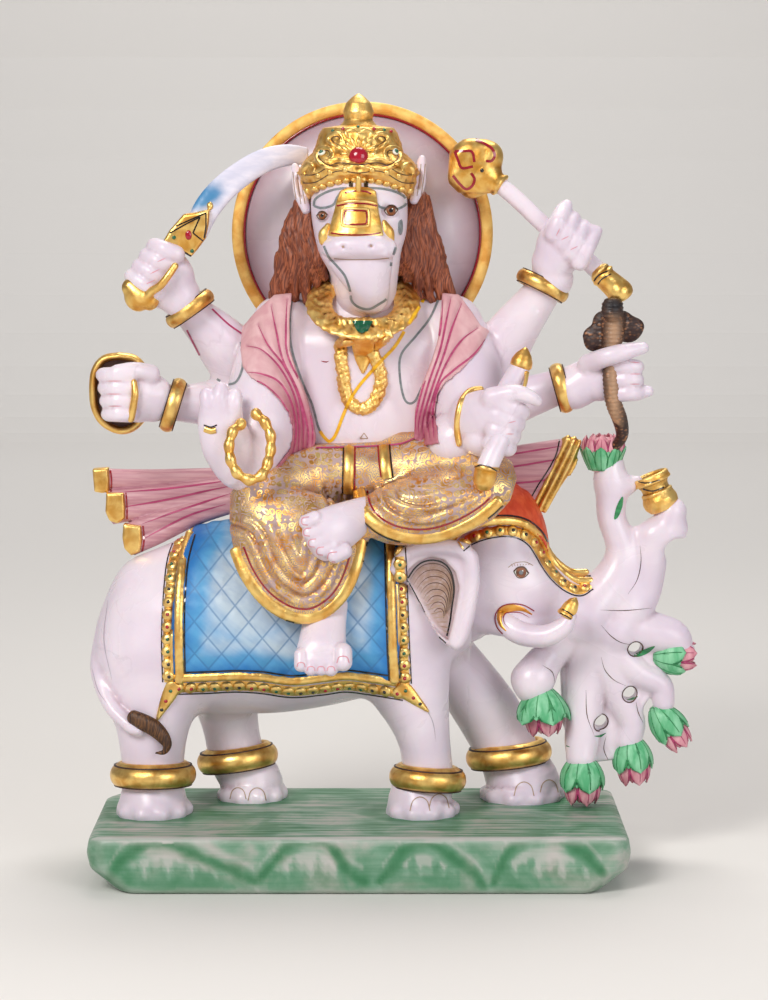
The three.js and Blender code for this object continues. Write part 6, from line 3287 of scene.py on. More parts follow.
@dataclass
class ScarfEnds:
    """The pleated scarf end at the left and the one with a flared gold hem at the right."""

    rolls: tuple[tuple[tuple[float, ...], ...], ...] = (
        ((96, 480, 50, 9.6, 6), (150, 479, 50, 8.0, 6), (236, 474, 50, 5.5, 6)),
        ((110, 500, 44, 7.8, 6), (165, 494, 44, 6.8, 6), (238, 482, 45, 5, 6)),
        ((112, 515, 44, 7.6, 6), (165, 506, 44, 6.8, 6), (240, 489, 45, 5, 6)),
        ((128, 533, 38, 7.8, 6), (170, 517, 39, 6.8, 6), (240, 497, 42, 5, 6)),
        ((131, 547, 38, 7.2, 6), (160, 535, 38, 6.6, 6), (196, 518, 40, 6, 6), (240, 504, 42, 5.4, 6)),
    )
    hems: tuple[tuple[tuple[Flat, ...], float], ...] = (
        (((92, 469), (108, 468), (109.5, 480), (109, 492), (102, 493.5), (94, 492)), 41.5),
        (((106, 493), (124, 493), (125, 508), (125, 519), (117, 524), (109, 521), (105, 512)), 35.5),
        (((123, 524), (141, 526), (142, 540), (140, 552), (131, 556), (124, 549), (122, 538)), 29.5),
    )
    fold_lines: tuple[tuple[Flat, ...], ...] = (
        ((124, 492), (165, 489), (205, 484), (232, 480)),
        ((118, 508), (165, 500), (210, 490), (236, 485)),
        ((142, 524), (175, 512), (205, 502), (232, 493)),
        ((140, 541), (160, 530), (190, 515), (226, 504)),
    )
    right: tuple[Flat, ...] = (
        (488, 452), (520, 446), (560, 440), (578, 438), (575, 456), (567, 476), (554, 497), (543, 512),
        (534, 508), (524, 498), (496, 492),
    )

    def dress(self, book: LineBook) -> None:
        """Makes both ends with their hems and fold lines.

        Args:
            book: takes the painted lines.
        """
        pink = Painted(
            "scarf_pink", colour(206, 158, 164), colour(186, 130, 142), colour(140, 54, 92), along=30,
            across=420, depth=0.8,
        )
        clay = Clay((-216, 28, 238), (-70, 66, 328), 1.4)
        for rows in self.rolls:
            clay.add(Limb(seen(rows), steps=5, cap=0.3), 2.0)
        shell = clay.skin(1)
        piece("scarf_end_left", shell, pink)
        ground = Ground(shell)
        gold = Heap()
        trim = Clay((-218, 24, 238), (190, 66, 356), 1.1)
        for outline, front in self.hems:
            trim.add(Plate(traced(outline, front), front, front + 14, 2.4), 0.0)
            edge = (outline[1], outline[2], outline[3])
            book.line(ground, Tone.RED, edge, 1.6, lift=0.4, shift=-2.0, jump=6.0)
        for path in self.fold_lines:
            book.line(ground, Tone.MAGENTA, path, 2.0, lift=0.25, taper=0.3)
        clay = Clay((96, 20, 268), (190, 66, 350), 1.4)
        clay.add(Plate(traced(self.right, 30), 30, 44, 3.0), 0.0)
        sash = [traced(path, 30) for path in (
            ((492, 470), (530, 464), (570, 456)), ((500, 484), (530, 482), (560, 478)),
        )]

        def creases(x: Array, y: Array, z: Array) -> Array:
            """Returns how deep the creases lie.

            Args:
                x: how far across the points lie.
                y: how far back they lie.
                z: how high they lie.

            Returns:
                The height at each point.
            """
            sunk = 0.0
            for path in sash:
                sunk = sunk - 1.4 * np.exp(-((path_distance(path, x + 0 * z, z + 0 * x) / 2.2) ** 2))
            return sunk + 0 * y

        clay.swell(creases)
        shell = clay.skin(1)
        piece("scarf_end_right", shell, pink)
        ground = Ground(shell)
        edge = ((571, 441), (567, 458), (559, 474), (548, 491), (539, 507))
        trim.add_all(laid(ground, EYE, edge, (8.4, 8.0, 7.0, 6.6), 4.0, 4.0, sink=2.0), 1.0)
        book.line(ground, Tone.BLACK, edge, 1.3, lift=0.4, shift=11.4, jump=8.0)
        trim.swell(lambda x, y, z: 0.9 * np.sin((x * 0.9 - z * 0.436) * 1.15) * (x > 90) + 0 * y)
        gold.put_shell(trim.skin(1))
        for path in (
            ((490, 458), (525, 452), (562, 446)), ((492, 470), (530, 464), (566, 458)),
            ((500, 484), (530, 482), (560, 478)),
        ):
            book.line(ground, Tone.MAGENTA, path, 1.9, lift=0.3, taper=0.3)
        piece("scarf_hems", gold, GOLD)


def mirrored(path: Sequence[Flat]) -> tuple[Flat, ...]:
    """Returns a path on the crown turned over from left to right."""
    return tuple((2 * CROWN_MIDDLE - u, v) for u, v in path)


@dataclass
class Crown:
    """The gilded crown: scalloped brim, wavy ridges, leaf relief, gems and finial."""

    middle: float = CROWN_MIDDLE
    depth: float = 14.0
    silhouette: tuple[Flat, ...] = (
        (408, 200), (413, 190), (418, 172), (414, 162), (404, 153), (400.5, 143), (398, 134), (394, 128),
        (377, 125.5),
        (372.5, 120), (374, 112), (371, 103), (365, 97), (359.5, 93.5),
    )
    brim: tuple[Flat, ...] = (
        (303, 192), (316, 189), (330, 184), (344, 181), (358.5, 180), (373, 181), (387, 184), (401, 189),
        (414, 192),
    )
    scrolls: tuple[tuple[Flat, ...], ...] = (
        (
            (346, 166), (334, 169), (322, 165), (316, 157), (320, 149), (329, 148), (333, 154), (329, 160),
            (324, 158),
        ),
        ((344, 150), (336, 147), (329, 141), (331, 135), (339, 134), (343, 139), (339, 143)),
        ((306, 178), (303, 171), (308, 164), (314, 168), (311, 174)),
        ((350, 140), (346, 133), (352, 130), (358.5, 133)),
    )
    dots: tuple[tuple[float, float, Tone], ...] = (
        (333, 131, Tone.EMERALD), (343, 129, Tone.RUBY), (358, 127, Tone.EMERALD), (374, 129, Tone.RUBY),
        (384, 130, Tone.EMERALD), (391, 131.5, Tone.RUBY),
    )

    def dress(self, book: LineBook) -> None:
        """Makes the crown and its gems.

        Args:
            book: takes the gems.
        """
        marks = seen([(u, v, self.depth) for u, v in self.silhouette])
        (axis_x, _, _), = seen([(self.middle, 150, self.depth)])
        foot, depth = marks[0][2], self.depth
        profile = [
            (0.0, -6.0), (marks[0][0] - axis_x, -6.0),
            *((max(x - axis_x, 0.0), z - foot) for x, _, z in marks),
        ]
        clay = Clay((-50, -36, foot - 4), (52, 64, 616), 0.95)
        clay.add(Turned((axis_x, depth, foot), UP, profile), 0.0)

        def relief(x: Array, y: Array, z: Array) -> Array:
            """Returns how far the relief stands out.

            Args:
                x: how far across the points lie.
                y: how far back they lie.
                z: how high they lie.

            Returns:
                The height at each point.
            """
            turn = np.arctan2(x - axis_x, depth - y)
            up = z - foot
            crest = 0.8 * np.abs(np.sin(turn * 13.0))
            made = crest * np.exp(-(((up - 6.5 - self.rise(y)) / 4.5) ** 2))
            for height, share in ((14.0, 5.0), (22.0, 7.0)):
                off = up - height - 0.6 * self.rise(y) - 1.2 * np.cos(turn * share * 2)
                made = made + 1.3 * np.exp(-((off / 1.9) ** 2))
            behind = np.clip((y - depth) / 10.0, 0, 1)
            leaves = np.sin(turn * 9.0 + 1.2 * np.sin(up / 4.0)) * np.sin(up / 3.2)
            foil = np.sin(turn * 23.0 + up / 2.2) * np.sin(up / 1.7 - turn * 7.0)
            made = made + 0.9 * leaves * (0.35 + behind) * np.clip(
                (up - 24) / 4, 0, 1,
            ) * np.clip((50 - up) / 4, 0, 1)
            made = made + 0.4 * foil * np.clip((54 - up) / 6, 0, 1)
            return made + 0 * x

        clay.swell(relief)
        clay.keep(lambda x, y, z: foot + self.rise(y) - z + 0 * x)
        shell = clay.skin(1)
        piece("crown", shell, RELIEF_GOLD)
        ground = Ground(shell)
        gold = Heap()
        brush = Brush(ground, EYE, 1.0)
        for path in self.scrolls:
            for side in (path, mirrored(path)):
                brush.band(gold, side, 5.4, rise=2.1, lift=-0.3, across=7, taper=0.3)
        for number in range(9):
            angle = math.radians(15 + number * 150 / 8)
            ray = [(self.middle + r * 1.15 * math.cos(angle), 156 - r * math.sin(angle)) for r in (9, 15, 21)]
            brush.band(gold, ray, 5.6, rise=1.7, lift=-0.3, across=7, taper=0.45)
        brush.beads(gold, self.brim, 8.2, (3.4, 3.4, 1.8), lift=0.2)
        for drop, wide in ((-9.0, 1.0), (-17.0, 0.9)):
            ridge = tuple((
                u, v + drop + 2.0 * math.cos((u - self.middle) / 7.0),
            ) for u, v in smooth_line(self.brim, 4))
            book.line(ground, Tone.UMBER, ridge, wide, lift=0.3, jump=6.0)
        for path in self.scrolls[:2]:
            for side, way in ((path, 1), (mirrored(path), -1)):
                book.line(ground, Tone.UMBER, side, 0.9, lift=0.3, shift=2.9 * way, jump=6.0, taper=0.3)
        for at in ((318, 176), (330, 172.5), (345, 170)):
            for u, v in (at, mirrored([at])[0]):
                hit = ground.meet(EYE, u, v)
                if hit is not None:
                    gold.put_ball(hit[0], hit[1], (2.6, 2.6, 1.8))
        piece("crown_relief", gold, GOLD)
        book.spot(ground, Tone.RUBY, (self.middle, 156.5), (7.6, 7.6, 4.8), lift=0.2, facing=(0, -1, 0.12))
        for at in ((322, 153.5), (395, 152)):
            book.spot(ground, Tone.WHITE, at, (3.3, 3.1, 1.5), lift=0.8)
            book.spot(ground, Tone.EMERALD, at, (2.2, 2.1, 2.0), lift=1.2)
        for u, v, tone in self.dots:
            book.spot(ground, tone, (u, v), (1.5, 1.4, 0.9), lift=0.5)

    def rise(self, y: Array) -> Array:
        """Returns how far the brim is arched over the forehead."""
        return 19.0 * np.clip((self.depth - y) / 44.0, 0, 1) ** 1.5


@dataclass
class NoseOrnament:
    """The gold plate down the bridge of the snout, with a stud leaf at each side."""

    outline: tuple[Flat, ...] = (
        (340, 191), (347, 187.5), (358, 186.5), (369, 187.5), (376, 191), (377.5, 202), (379, 213),
        (382, 226), (383.5, 235.5),
        (370, 237.5), (356, 238), (341, 237.5), (328, 235.5), (331, 222), (334, 211), (336.5, 201),
    )

    def dress(self, rider: Rider, book: LineBook) -> None:
        """Makes the plate, its studs and its red lines.

        Args:
            rider: the rider underneath.
            book: takes the painted lines.
        """
        clay = rider.head_clay(0.8, (-28, -52, 488), (26, 0, 548))
        clay.swell(lambda x, y, z: 2.0 + 0.7 * np.exp(-(((z - 536) / 3.0) ** 2)) + 0 * (x + y))
        clay.keep(Plate(traced(self.outline, -28), -80, 0, 0.8).distance)
        shell = clay.skin(1)
        piece("nose_plate", shell, GOLD)
        ground = Ground(shell)
        gold = Heap()
        brush = Brush(ground, EYE, 1.0)
        brush.band(
            gold, ((338, 203.5), (348, 201.5), (357, 201), (366, 201.5), (375, 203.5)), 4.0, rise=1.3,
            lift=0.0, across=5,
        )
        frame_path = (
            (345, 209), (366, 209), (369, 213), (369, 222), (366, 226), (345, 226), (342, 222), (342, 213),
        )
        brush.band(gold, frame_path, 3.0, rise=1.0, lift=0.0, across=5, closed=True)
        for path, closed in (
            (((345, 193), (352, 191.5), (359, 191), (367, 192), (371, 194)), False),
            (((337, 206), (347, 204), (357, 203.5), (367, 204), (377, 206)), False),
            (((331, 233), (343, 234.5), (357, 235), (370, 234.5), (380.5, 233)), False),
            (
                (
                    (347, 211), (364, 211), (366.5, 214), (366.5, 221), (364, 224), (347, 224),
                    (344.5, 221), (344.5, 214),
                ),
                True,
            ),
        ):
            brush.band(book.page(Tone.RED), path, 1.5, lift=0.5, closed=closed)
        studs = Clay((-34, -50, 488), (32, 0, 522), 0.8)
        for rows in (
            ((328, 226, -27, 2.4), (325, 234, -28, 5.0, 4), (325, 241, -27, 4.6, 4)),
            ((384, 223, -28, 2.6), (387, 232, -28, 5.4, 4), (388, 240, -26, 5.0, 4)),
        ):
            studs.add(Limb(seen([(*r, r[3]) if len(r) == 4 else r for r in rows])), 0.0)
        gold.put_shell(studs.skin(1))
        stem = [(*row, 2.4) for row in seen([(358.5, 178, -33), (358.5, 184, -32), (358.5, 190, -30)])]
        clay = Clay((-6, -40, 530), (8, -22, 552), 0.7)
        clay.add(Limb(stem), 0.0)
        gold.put_shell(clay.skin(1))
        piece("nose_plate_relief", gold, GOLD)
        for outline in (
            ((349, 182), (353, 181), (353, 187), (349, 187)),
            ((364, 181), (368, 182), (368, 188), (364, 187)),
        ):
            Brush(rider.face, EYE, 1.0).patch(book.page(Tone.BLACK), outline, lift=0.3, straight=True)


@dataclass
class Jewellery:
    """Collar, chain with its loop, yellow thread, bangles and bracelet."""

    collar: Ring = field(default_factory=lambda: Ring((4, 3, 447), (0, -0.7, 1), 34.5, (10.5, 3.0)))
    chain: tuple[Flat, ...] = (
        (352, 340), (342, 342), (341, 356), (343, 372), (345, 388), (350, 402), (361, 409), (372, 404),
        (379, 391), (381, 376), (377, 362), (372, 350), (380, 341), (388, 334),
    )
    thread: tuple[Flat, ...] = (
        (430, 288), (421, 304), (409, 323), (396, 345), (383, 359), (370, 373), (359, 386), (350, 400),
        (343, 416), (336, 434), (330, 441), (325, 438), (320, 431),
    )
    bangles: tuple[tuple[Flat, Flat, float, float], ...] = (
        ((168, 324), (212, 293), 17.0, 5.2),
        ((165, 431), (181, 379), 17.0, 5.2),
        ((518, 273), (567, 298), 18.0, 5.2),
        ((568, 412), (555, 364), 18.0, 5.2),
    )

    def dress(self, rider: Rider, book: LineBook) -> None:
        """Makes all the jewellery of neck and arms.

        Args:
            rider: the rider underneath.
            book: takes the painted lines.
        """
        clay = Clay((-46, -44, 414), (54, 42, 482), 1.0)
        clay.add(self.collar, 0.0)
        (tab,) = seen([(361, 330, -20)])
        clay.add(
            Plate(traced(((338, 318), (386, 318), (385, 338), (372, 343), (345, 340)), -16), -24, 2, 2.5),
            3.0,
        )
        clay.add(Ball((tab[0], -18, tab[2]), (17, 7, 9)), 3.0)

        def ruffle(x: Array, y: Array, z: Array) -> Array:
            """Returns how far the ruffle stands out.

            Args:
                x: how far across the points lie.
                y: how far back they lie.
                z: how high they lie.

            Returns:
                The height at each point.
            """
            turn = np.arctan2(x - 4, 3 - y)
            out = np.hypot(x - 4, y - 3)
            scallops = 1.1 * np.abs(np.sin(turn * 11.5)) * np.sin((out - 24) * 0.16)
            return scallops + 0.75 * np.sin(turn * 29 + 1.4 * np.sin(out * 0.5)) * np.sin(out * 0.8) + 0 * z

        clay.swell(ruffle)
        shell = clay.skin(1)
        piece("collar", shell, RELIEF_GOLD)
        ground = Ground(shell).also(rider.ground)
        gold = Heap()
        brush = Brush(ground, EYE, 1.2)
        pendant = laid(ground, EYE, ((363, 338), (363, 352), (363, 372)), (9.5, 8.5, 6.0, 1.5), 2.4, 4.0)
        band = Clay((-24, -40, 356), (34, 4, 432), 1.0)
        band.add_all(laid(ground, EYE, self.chain, 4.8, 3.6, 4.0, sink=-0.8), 1.5)
        band.swell(lambda x, y, z: 0.7 * np.sin(z * 0.9 + x * 0.5) * np.sin(x * 1.1 - z * 0.4) + 0 * y)
        gold.put_shell(band.skin(1))
        band = Clay((-14, -40, 376), (24, 4, 432), 1.0)
        band.add_all(pendant, 1.0)
        gold.put_shell(band.skin(1))
        brush.beads(gold, self.chain, 10.5, (5.6, 4.6, 2.0), lift=2.6)
        piece("collar_and_chain_links", gold, RELIEF_GOLD)
        all_gold = Ground(shell)
        brush = Brush(all_gold, EYE, 1.0)
        brush.patch(
            book.page(Tone.EMERALD), ((352, 321), (373, 321), (368, 331), (362, 334), (357, 331)), lift=0.7,
            straight=True,
        )
        book.line(Ground(gold).also(ground), Tone.YELLOW, self.thread, 3.2, lift=0.5, jump=12.0)
        self.arm_rings(rider, book)

    def arm_rings(self, rider: Rider, book: LineBook) -> None:
        """Makes the bangles and the bracelet.

        Args:
            rider: the rider underneath.
            book: takes the painted lines.
        """
        heap = Heap()
        for low, high, depth, thick in self.bangles:
            a, b = (np.array(row) for row in seen([(*low, depth), (*high, depth)]))
            centre, across = (a + b) / 2, b - a
            radius = float(np.linalg.norm(across)) / 2 - thick * 0.8
            axis = unit((-across[2], -2.0 if centre[0] < 0 else 2.0, across[0]))
            clay = Clay(tuple(centre - radius - thick - 3), tuple(centre + radius + thick + 3), 1.0)
            clay.add(Ring(tuple(centre), tuple(axis), radius, (thick * 0.9, thick * 1.15)), 0.0)
            heap.put_shell(clay.skin(1))
            for way in (-1, 1):
                at = centre + axis * way * thick * 1.02
                inner, outer = radius - thick * 0.3, radius + thick * 0.42 + 0.4
                washer = ((inner, -0.5), (outer, -0.5), (outer, 0.5), (inner, 0.5))
                book.page(Tone.UMBER).put_turned(tuple(at), tuple(axis), washer, 60)
        piece("bangles", heap, GoldLeaf(name="anklet_gold", deep=colour(206, 140, 50), relief=0.3))
        bracelet = Heap()
        path = ((481, 389), (470, 391), (462, 400), (458, 415), (457, 430), (459, 444))
        brush = Brush(rider.ground, EYE, 1.0)
        clay = Clay((68, -72, 322), (104, -20, 396), 0.9)
        clay.add_all(laid(rider.ground, EYE, path, 2.3, 2.6, 3.0, sink=-0.4), 1.0)
        bracelet.put_shell(clay.skin(1))
        brush.band(bracelet, ((205, 429), (211, 431), (216, 430)), 6.5, rise=1.6, lift=0.1, across=7)
        piece("bracelet", bracelet, GOLD)
        book.line(rider.ground, Tone.BLACK, ((204, 425), (211, 427), (217, 425)), 1.3, lift=0.4)


@dataclass
class HeldThings:
    """Sword, drum, mace, cobra, short mace and rosary."""

    blade: tuple[tuple[float, ...], ...] = (
        (196, 232, 2, 9.5, 3.4), (206, 210, 6, 10.5, 3.6), (222, 190, 12, 10.5, 3.6),
        (244, 172, 20, 10, 3.6), (266, 160, 26, 9.5, 3.6), (288, 155, 32, 8.5, 3.4),
        (306, 156, 36, 7.0, 3.0),
    )
    guard: tuple[Flat, ...] = (
        (163, 242), (170, 230), (184, 214), (197, 212), (210, 209), (209, 224), (206, 238), (198, 249),
        (191, 257), (176, 247),
    )
    drum: tuple[Flat, ...] = (
        (119, 356), (104, 359), (95, 371), (93, 390), (95, 408), (103, 422), (118, 430), (132, 428),
        (144, 415), (148, 392), (145, 372), (135, 359),
    )

    def dress(self, book: LineBook) -> None:
        """Makes all that the hands hold.

        Args:
            book: takes the painted lines.
        """
        self.sword(book)
        self.drum_and_cord()
        self.mace(book)
        self.cobra()
        self.short_mace(book)
        self.rosary()

    def sword(self, book: LineBook) -> None:
        """Makes the sword.

        Args:
            book: takes the painted lines.
        """
        clay = Clay((-134, -12, 498), (-32, 48, 580), 0.9)
        clay.add(Limb(seen(self.blade), cap=0.6), 0.0)
        shell = clay.skin(1)
        marks = marks_of(shell.corners)
        steel = spot_light(marks, (203, 198), (26, 20)) * np.clip(
            (212 - marks[:, 1] - (marks[:, 0] - 196) * 0.5) / 16.0 + 0.6, 0, 1,
        )
        finish = Painted(
            "white_blade", colour(228, 222, 234), colour(206, 204, 222), colour(150, 150, 176),
            third=colour(70, 132, 178), along=40, across=160, depth=0.5, rough=0.28,
        )
        piece("sword_blade", shell, finish, {"tint": steel})
        clay = Clay((-190, -24, 436), (-104, 22, 530), 0.85)
        clay.add(Plate(traced(self.guard, 2), -6, 8, 2.6), 0.0)
        clay.add(Ball(seen([(210, 206, 4)])[0], (2.6, 2.6, 3.4)), 1.5)
        clay.add(Limb(seen([(136, 300, 0, 10, 8), (146, 290, 2, 7.5), (152, 282, 4, 6)])), 0.0)
        clay.add(Limb(seen([(131, 287, -2, 7.5, 7), (140, 296, -4, 9, 8), (150, 301, -4, 7.5, 7)])), 3.0)
        clay.add(
            Limb(seen([
                (175, 266, -15, 2.8), (168, 276, -17, 3.0), (160, 286, -16, 3.2), (152, 291, -12, 3.4),
                (146, 299, -8, 4),
            ])),
            2.0,
        )
        shell = clay.skin(1)
        piece("sword_hilt", shell, GOLD)
        ground = Ground(shell)
        for path in (
            ((176, 226), (192, 219), (206, 213), (206, 226), (204, 238)),
            ((170, 233), (186, 224), (200, 217), (193, 233), (203, 241)),
            ((163, 241), (176, 247), (191, 256)),
        ):
            book.line(ground, Tone.BLACK, path, 1.4, lift=0.35, straight=True)
        book.spot(ground, Tone.RUBY, (188.5, 235), (2.6, 3.8, 1.2), lift=0.3)
        for at in ((174, 237.5), (192, 251)):
            book.spot(ground, Tone.EMERALD, at, (1.6, 1.6, 0.9), lift=0.3)

    def drum_and_cord(self) -> None:
        """Makes the small drum, seen from its end."""
        rows = seen([(*mark, 12, 3.1, 5.5) for mark in (*self.drum, self.drum[0])])
        clay = Clay((-218, 0, 334), (-156, 34, 418), 0.95)
        clay.add(Limb(rows), 1.0)
        piece("drum_rim", clay.skin(1), GOLD)
        clay = Clay((-218, 6, 334), (-156, 40, 418), 1.1)
        clay.add(Plate(traced(self.drum, 16), 14, 30, 2.0), 0.0)
        skin = Painted(
            "drum_brown", colour(96, 66, 56), colour(66, 42, 36), colour(30, 18, 16), along=60, across=200,
            depth=0.6,
        )
        piece("drum_body", clay.skin(1), skin)
        cord = Clay((-186, -24, 350), (-164, 6, 392), 0.8)
        cord.add(
            Limb(seen(
                [(134, 382, -13, 2.4), (135, 394, -15, 2.8), (133, 408, -14, 3.0), (131, 419, -12, 2.8)]
            )),
            0.0,
        )
        piece("drum_cord", cord.skin(1), GOLD)

    def mace(self, book: LineBook) -> None:
        """Makes the mace with its lobed head.

        Args:
            book: takes the painted lines.
        """
        head = Clay((66, 2, 520), (124, 58, 590), 0.9)
        (centre,) = seen([(476, 166, 26)])
        head.add(Ball(centre, (19.0, 18.0, 19.0)), 0.0)
        corners = (
            (471, 147, 17, 6.0), (491, 154, 17, 8.0), (459, 157, 17, 6.0), (456, 177, 17, 6.5),
            (470, 190, 18, 6.5), (485, 184, 22, 7.0),
        )
        for u, v, depth, r in corners:
            for back in (0, 22):
                head.add(Ball(seen([(u, v, depth + back)])[0], (r, r, r)), 13.0)
        head.add(Limb(seen([(484, 172, 20, 12), (494, 181, 18, 9), (500, 185, 17, 8.5)]), cap=0.3), 4.0)
        for u, v in ((483, 153), (464, 160), (463, 182)):
            for depth in (1, 47):
                head.cut(Ball(seen([(u, v, depth)])[0], (8.0, 6.5, 8.0)), 4.0)
        for u, v in ((493, 179), (500, 185)):
            head.add(Ring(seen([(u, v, 19)])[0], (0.75, -0.15, -0.62), 8.2, (1.6, 1.5)), 1.0)
        shell = head.skin(1)
        piece("mace_head", shell, GOLD)
        ground = Ground(shell)
        for path in (
            ((473, 139), (483, 143), (492, 149), (494.5, 156), (491, 161), (486, 161)),
            ((455, 151.5), (464, 151), (472, 152), (474.5, 162)),
            ((455, 151.5), (458, 160), (462, 168), (473, 166.5)),
            ((453, 175.5), (459, 183), (466, 189), (472, 186), (474.5, 179), (471, 173)),
        ):
            book.line(ground, Tone.RED, path, 2.7, lift=0.4, jump=8.0)
        book.spot(ground, Tone.BLACK, (482, 170.5), (1.6, 1.6, 0.9), lift=0.3)
        shaft = Clay((98, -4, 446), (212, 34, 548), 1.1)
        shaft.add(
            Limb(
                seen([
                    (498, 183, 18, 6.6), (520, 202, 16, 6.6), (545, 226, 13, 6.6), (575, 250, 9, 7.0),
                    (606, 278, 5, 7.4),
                ]),
                steps=3,
            ),
            0.0,
        )
        piece("mace_shaft", shaft.skin(1), MARBLE)
        butt = Clay((184, -10, 436), (226, 18, 476), 0.85)
        butt.add(
            Limb(
                seen([
                    (599, 272, 5, 8.8), (606, 279, 4, 9.0), (614, 286, 4, 9.6), (620, 292, 3, 10.4),
                    (622, 295, 3, 9.6),
                ]),
                cap=0.5,
            ),
            0.0,
        )
        for u, v in ((599, 271), (603, 275.5)):
            butt.add(Ring(seen([(u, v, 5)])[0], (0.72, 0.0, -0.69), 8.8, (1.4, 1.3)), 0.8)
        shell = butt.skin(1)
        piece("mace_butt", shell, GOLD)
        for path in (((594, 281), (599, 275), (608, 271)), ((598, 284), (602, 279), (611, 274))):
            book.line(Ground(shell), Tone.BLACK, path, 1.2, lift=0.4, jump=9.0)

    def cobra(self) -> None:
        """Makes the cobra with its spread hood."""
        clay = Clay((168, -24, 318), (236, 28, 462), 1.0)
        clay.add(
            Limb(
                seen([
                    (614, 305, -2, 7, 6), (614, 318, -2, 8, 6), (613, 338, -2, 8, 6), (611, 352, -2, 7, 6),
                    (610, 368, -4, 6), (611, 386, -6, 6.2), (614, 404, -2, 6.4), (620, 420, 6, 6),
                    (622, 436, 14, 4.8), (614, 448, 22, 3.8),
                ]),
                steps=4,
            ),
            0.0,
        )
        clay.add(Limb(seen([(612, 306, -6, 8, 7), (612, 312, -8, 8.5, 7)])), 2.0)
        for u, v, a, b in (
            (598, 336, 12, 9), (628, 330, 11, 10), (604, 322, 9, 9), (622, 322, 9, 9), (595, 344, 8, 6),
            (635, 326, 7, 6),
        ):
            clay.add(Ball(seen([(u, v, 4)])[0], (a, 4.2, b)), 4.0)

        def rungs(x: Array, y: Array, z: Array) -> Array:
            """Returns how far the rungs stand out."""
            return 0.45 * np.sin(z * 1.9) * np.clip((2 - y) / 4.0, 0, 1) + 0 * x

        clay.swell(rungs)
        shell = clay.skin(1)
        marks = marks_of(shell.corners)
        belly = np.exp(-(((marks[:, 0] - 614) / 7.0) ** 2)) * (shell.corners[:, 1] < 2)
        night = spot_light(marks, (614, 306), (15, 11))
        piece("cobra", shell, Scales(), {"tint": belly * (1 - night), "hill": night})

    def short_mace(self, book: LineBook) -> None:
        """Makes the short mace that stands in the lower right hand.

        Args:
            book: takes the painted lines.
        """
        tip = Clay((110, -46, 386), (140, -18, 426), 0.75)
        (foot,) = seen([(519, 372, -32)])
        tip.add(
            Turned(
                foot, (0.28, 0, 1),
                (
                    (0, -1), (7.6, -1), (8.0, 1.5), (7.0, 3), (8.6, 5), (8.4, 9), (6.2, 14), (2.4, 18.5),
                    (0.6, 20), (0, 20),
                ),
            ),
            0.0,
        )
        strip = Limb(seen([(527, 373, -38, 1.6), (526, 380, -42, 1.6), (524, 388, -46, 1.5)]))
        tip.add(strip, 0.5)
        piece("short_mace_tip", tip.skin(1), GOLD)
        shaft = Clay((84, -86, 300), (134, -20, 404), 1.1)
        shaft.add(Limb(seen([(519, 370, -32, 8.0), (511, 384, -36, 8.4), (503, 398, -42, 8.4)])), 0.0)
        shaft.add(Limb(seen([(500, 440, -60, 8.2), (493, 454, -64, 8.4), (487, 468, -67, 8.4)])), 0.0)
        piece("short_mace_shaft", shaft.skin(1), MARBLE)
        butt = Clay((78, -88, 298), (114, -56, 336), 0.8)
        (foot,) = seen([(487, 465, -69)])
        butt.add(
            Turned(
                foot, (-0.18, 0.05, -1),
                ((0, 0), (9.2, 0), (9.8, 2.0), (8.8, 3.4), (8.8, 9), (8.0, 15), (5.2, 19), (0, 21)),
            ),
            0.0,
        )
        shell = butt.skin(1)
        piece("short_mace_butt", shell, GOLD)
        book.line(Ground(shell), Tone.BLACK, ((475, 467), (484, 465), (497, 471)), 1.3, lift=0.4)

    def rosary(self) -> None:
        """Makes the rosary of gold beads."""
        path = seen(
            [
                (241, 424, -60), (233, 431, -66), (229, 446, -69), (231, 461, -71), (238, 474, -72),
                (250, 480, -72), (262, 475, -70),
                (268, 462, -66), (271, 447, -62), (270, 433, -60), (264, 421, -58), (256, 414, -54),
            ]
        )
        line = smooth_line(path, 10)
        run = run_along(line)
        clay = Clay((-112, -84, 300), (-60, -46, 380), 0.9)
        clay.add(Limb([(*row, 2.9) for row in path], steps=4), 0.0)
        count = int(run[-1] / 10.5)
        for number in range(count + 1):
            at = run[-1] * number / count
            spot = tuple(float(np.interp(at, run, line[:, k])) for k in range(3))
            clay.add(Ball(spot, (3.9, 4.1, 4.6)), 3.4)
        piece("rosary", clay.skin(1), GOLD)


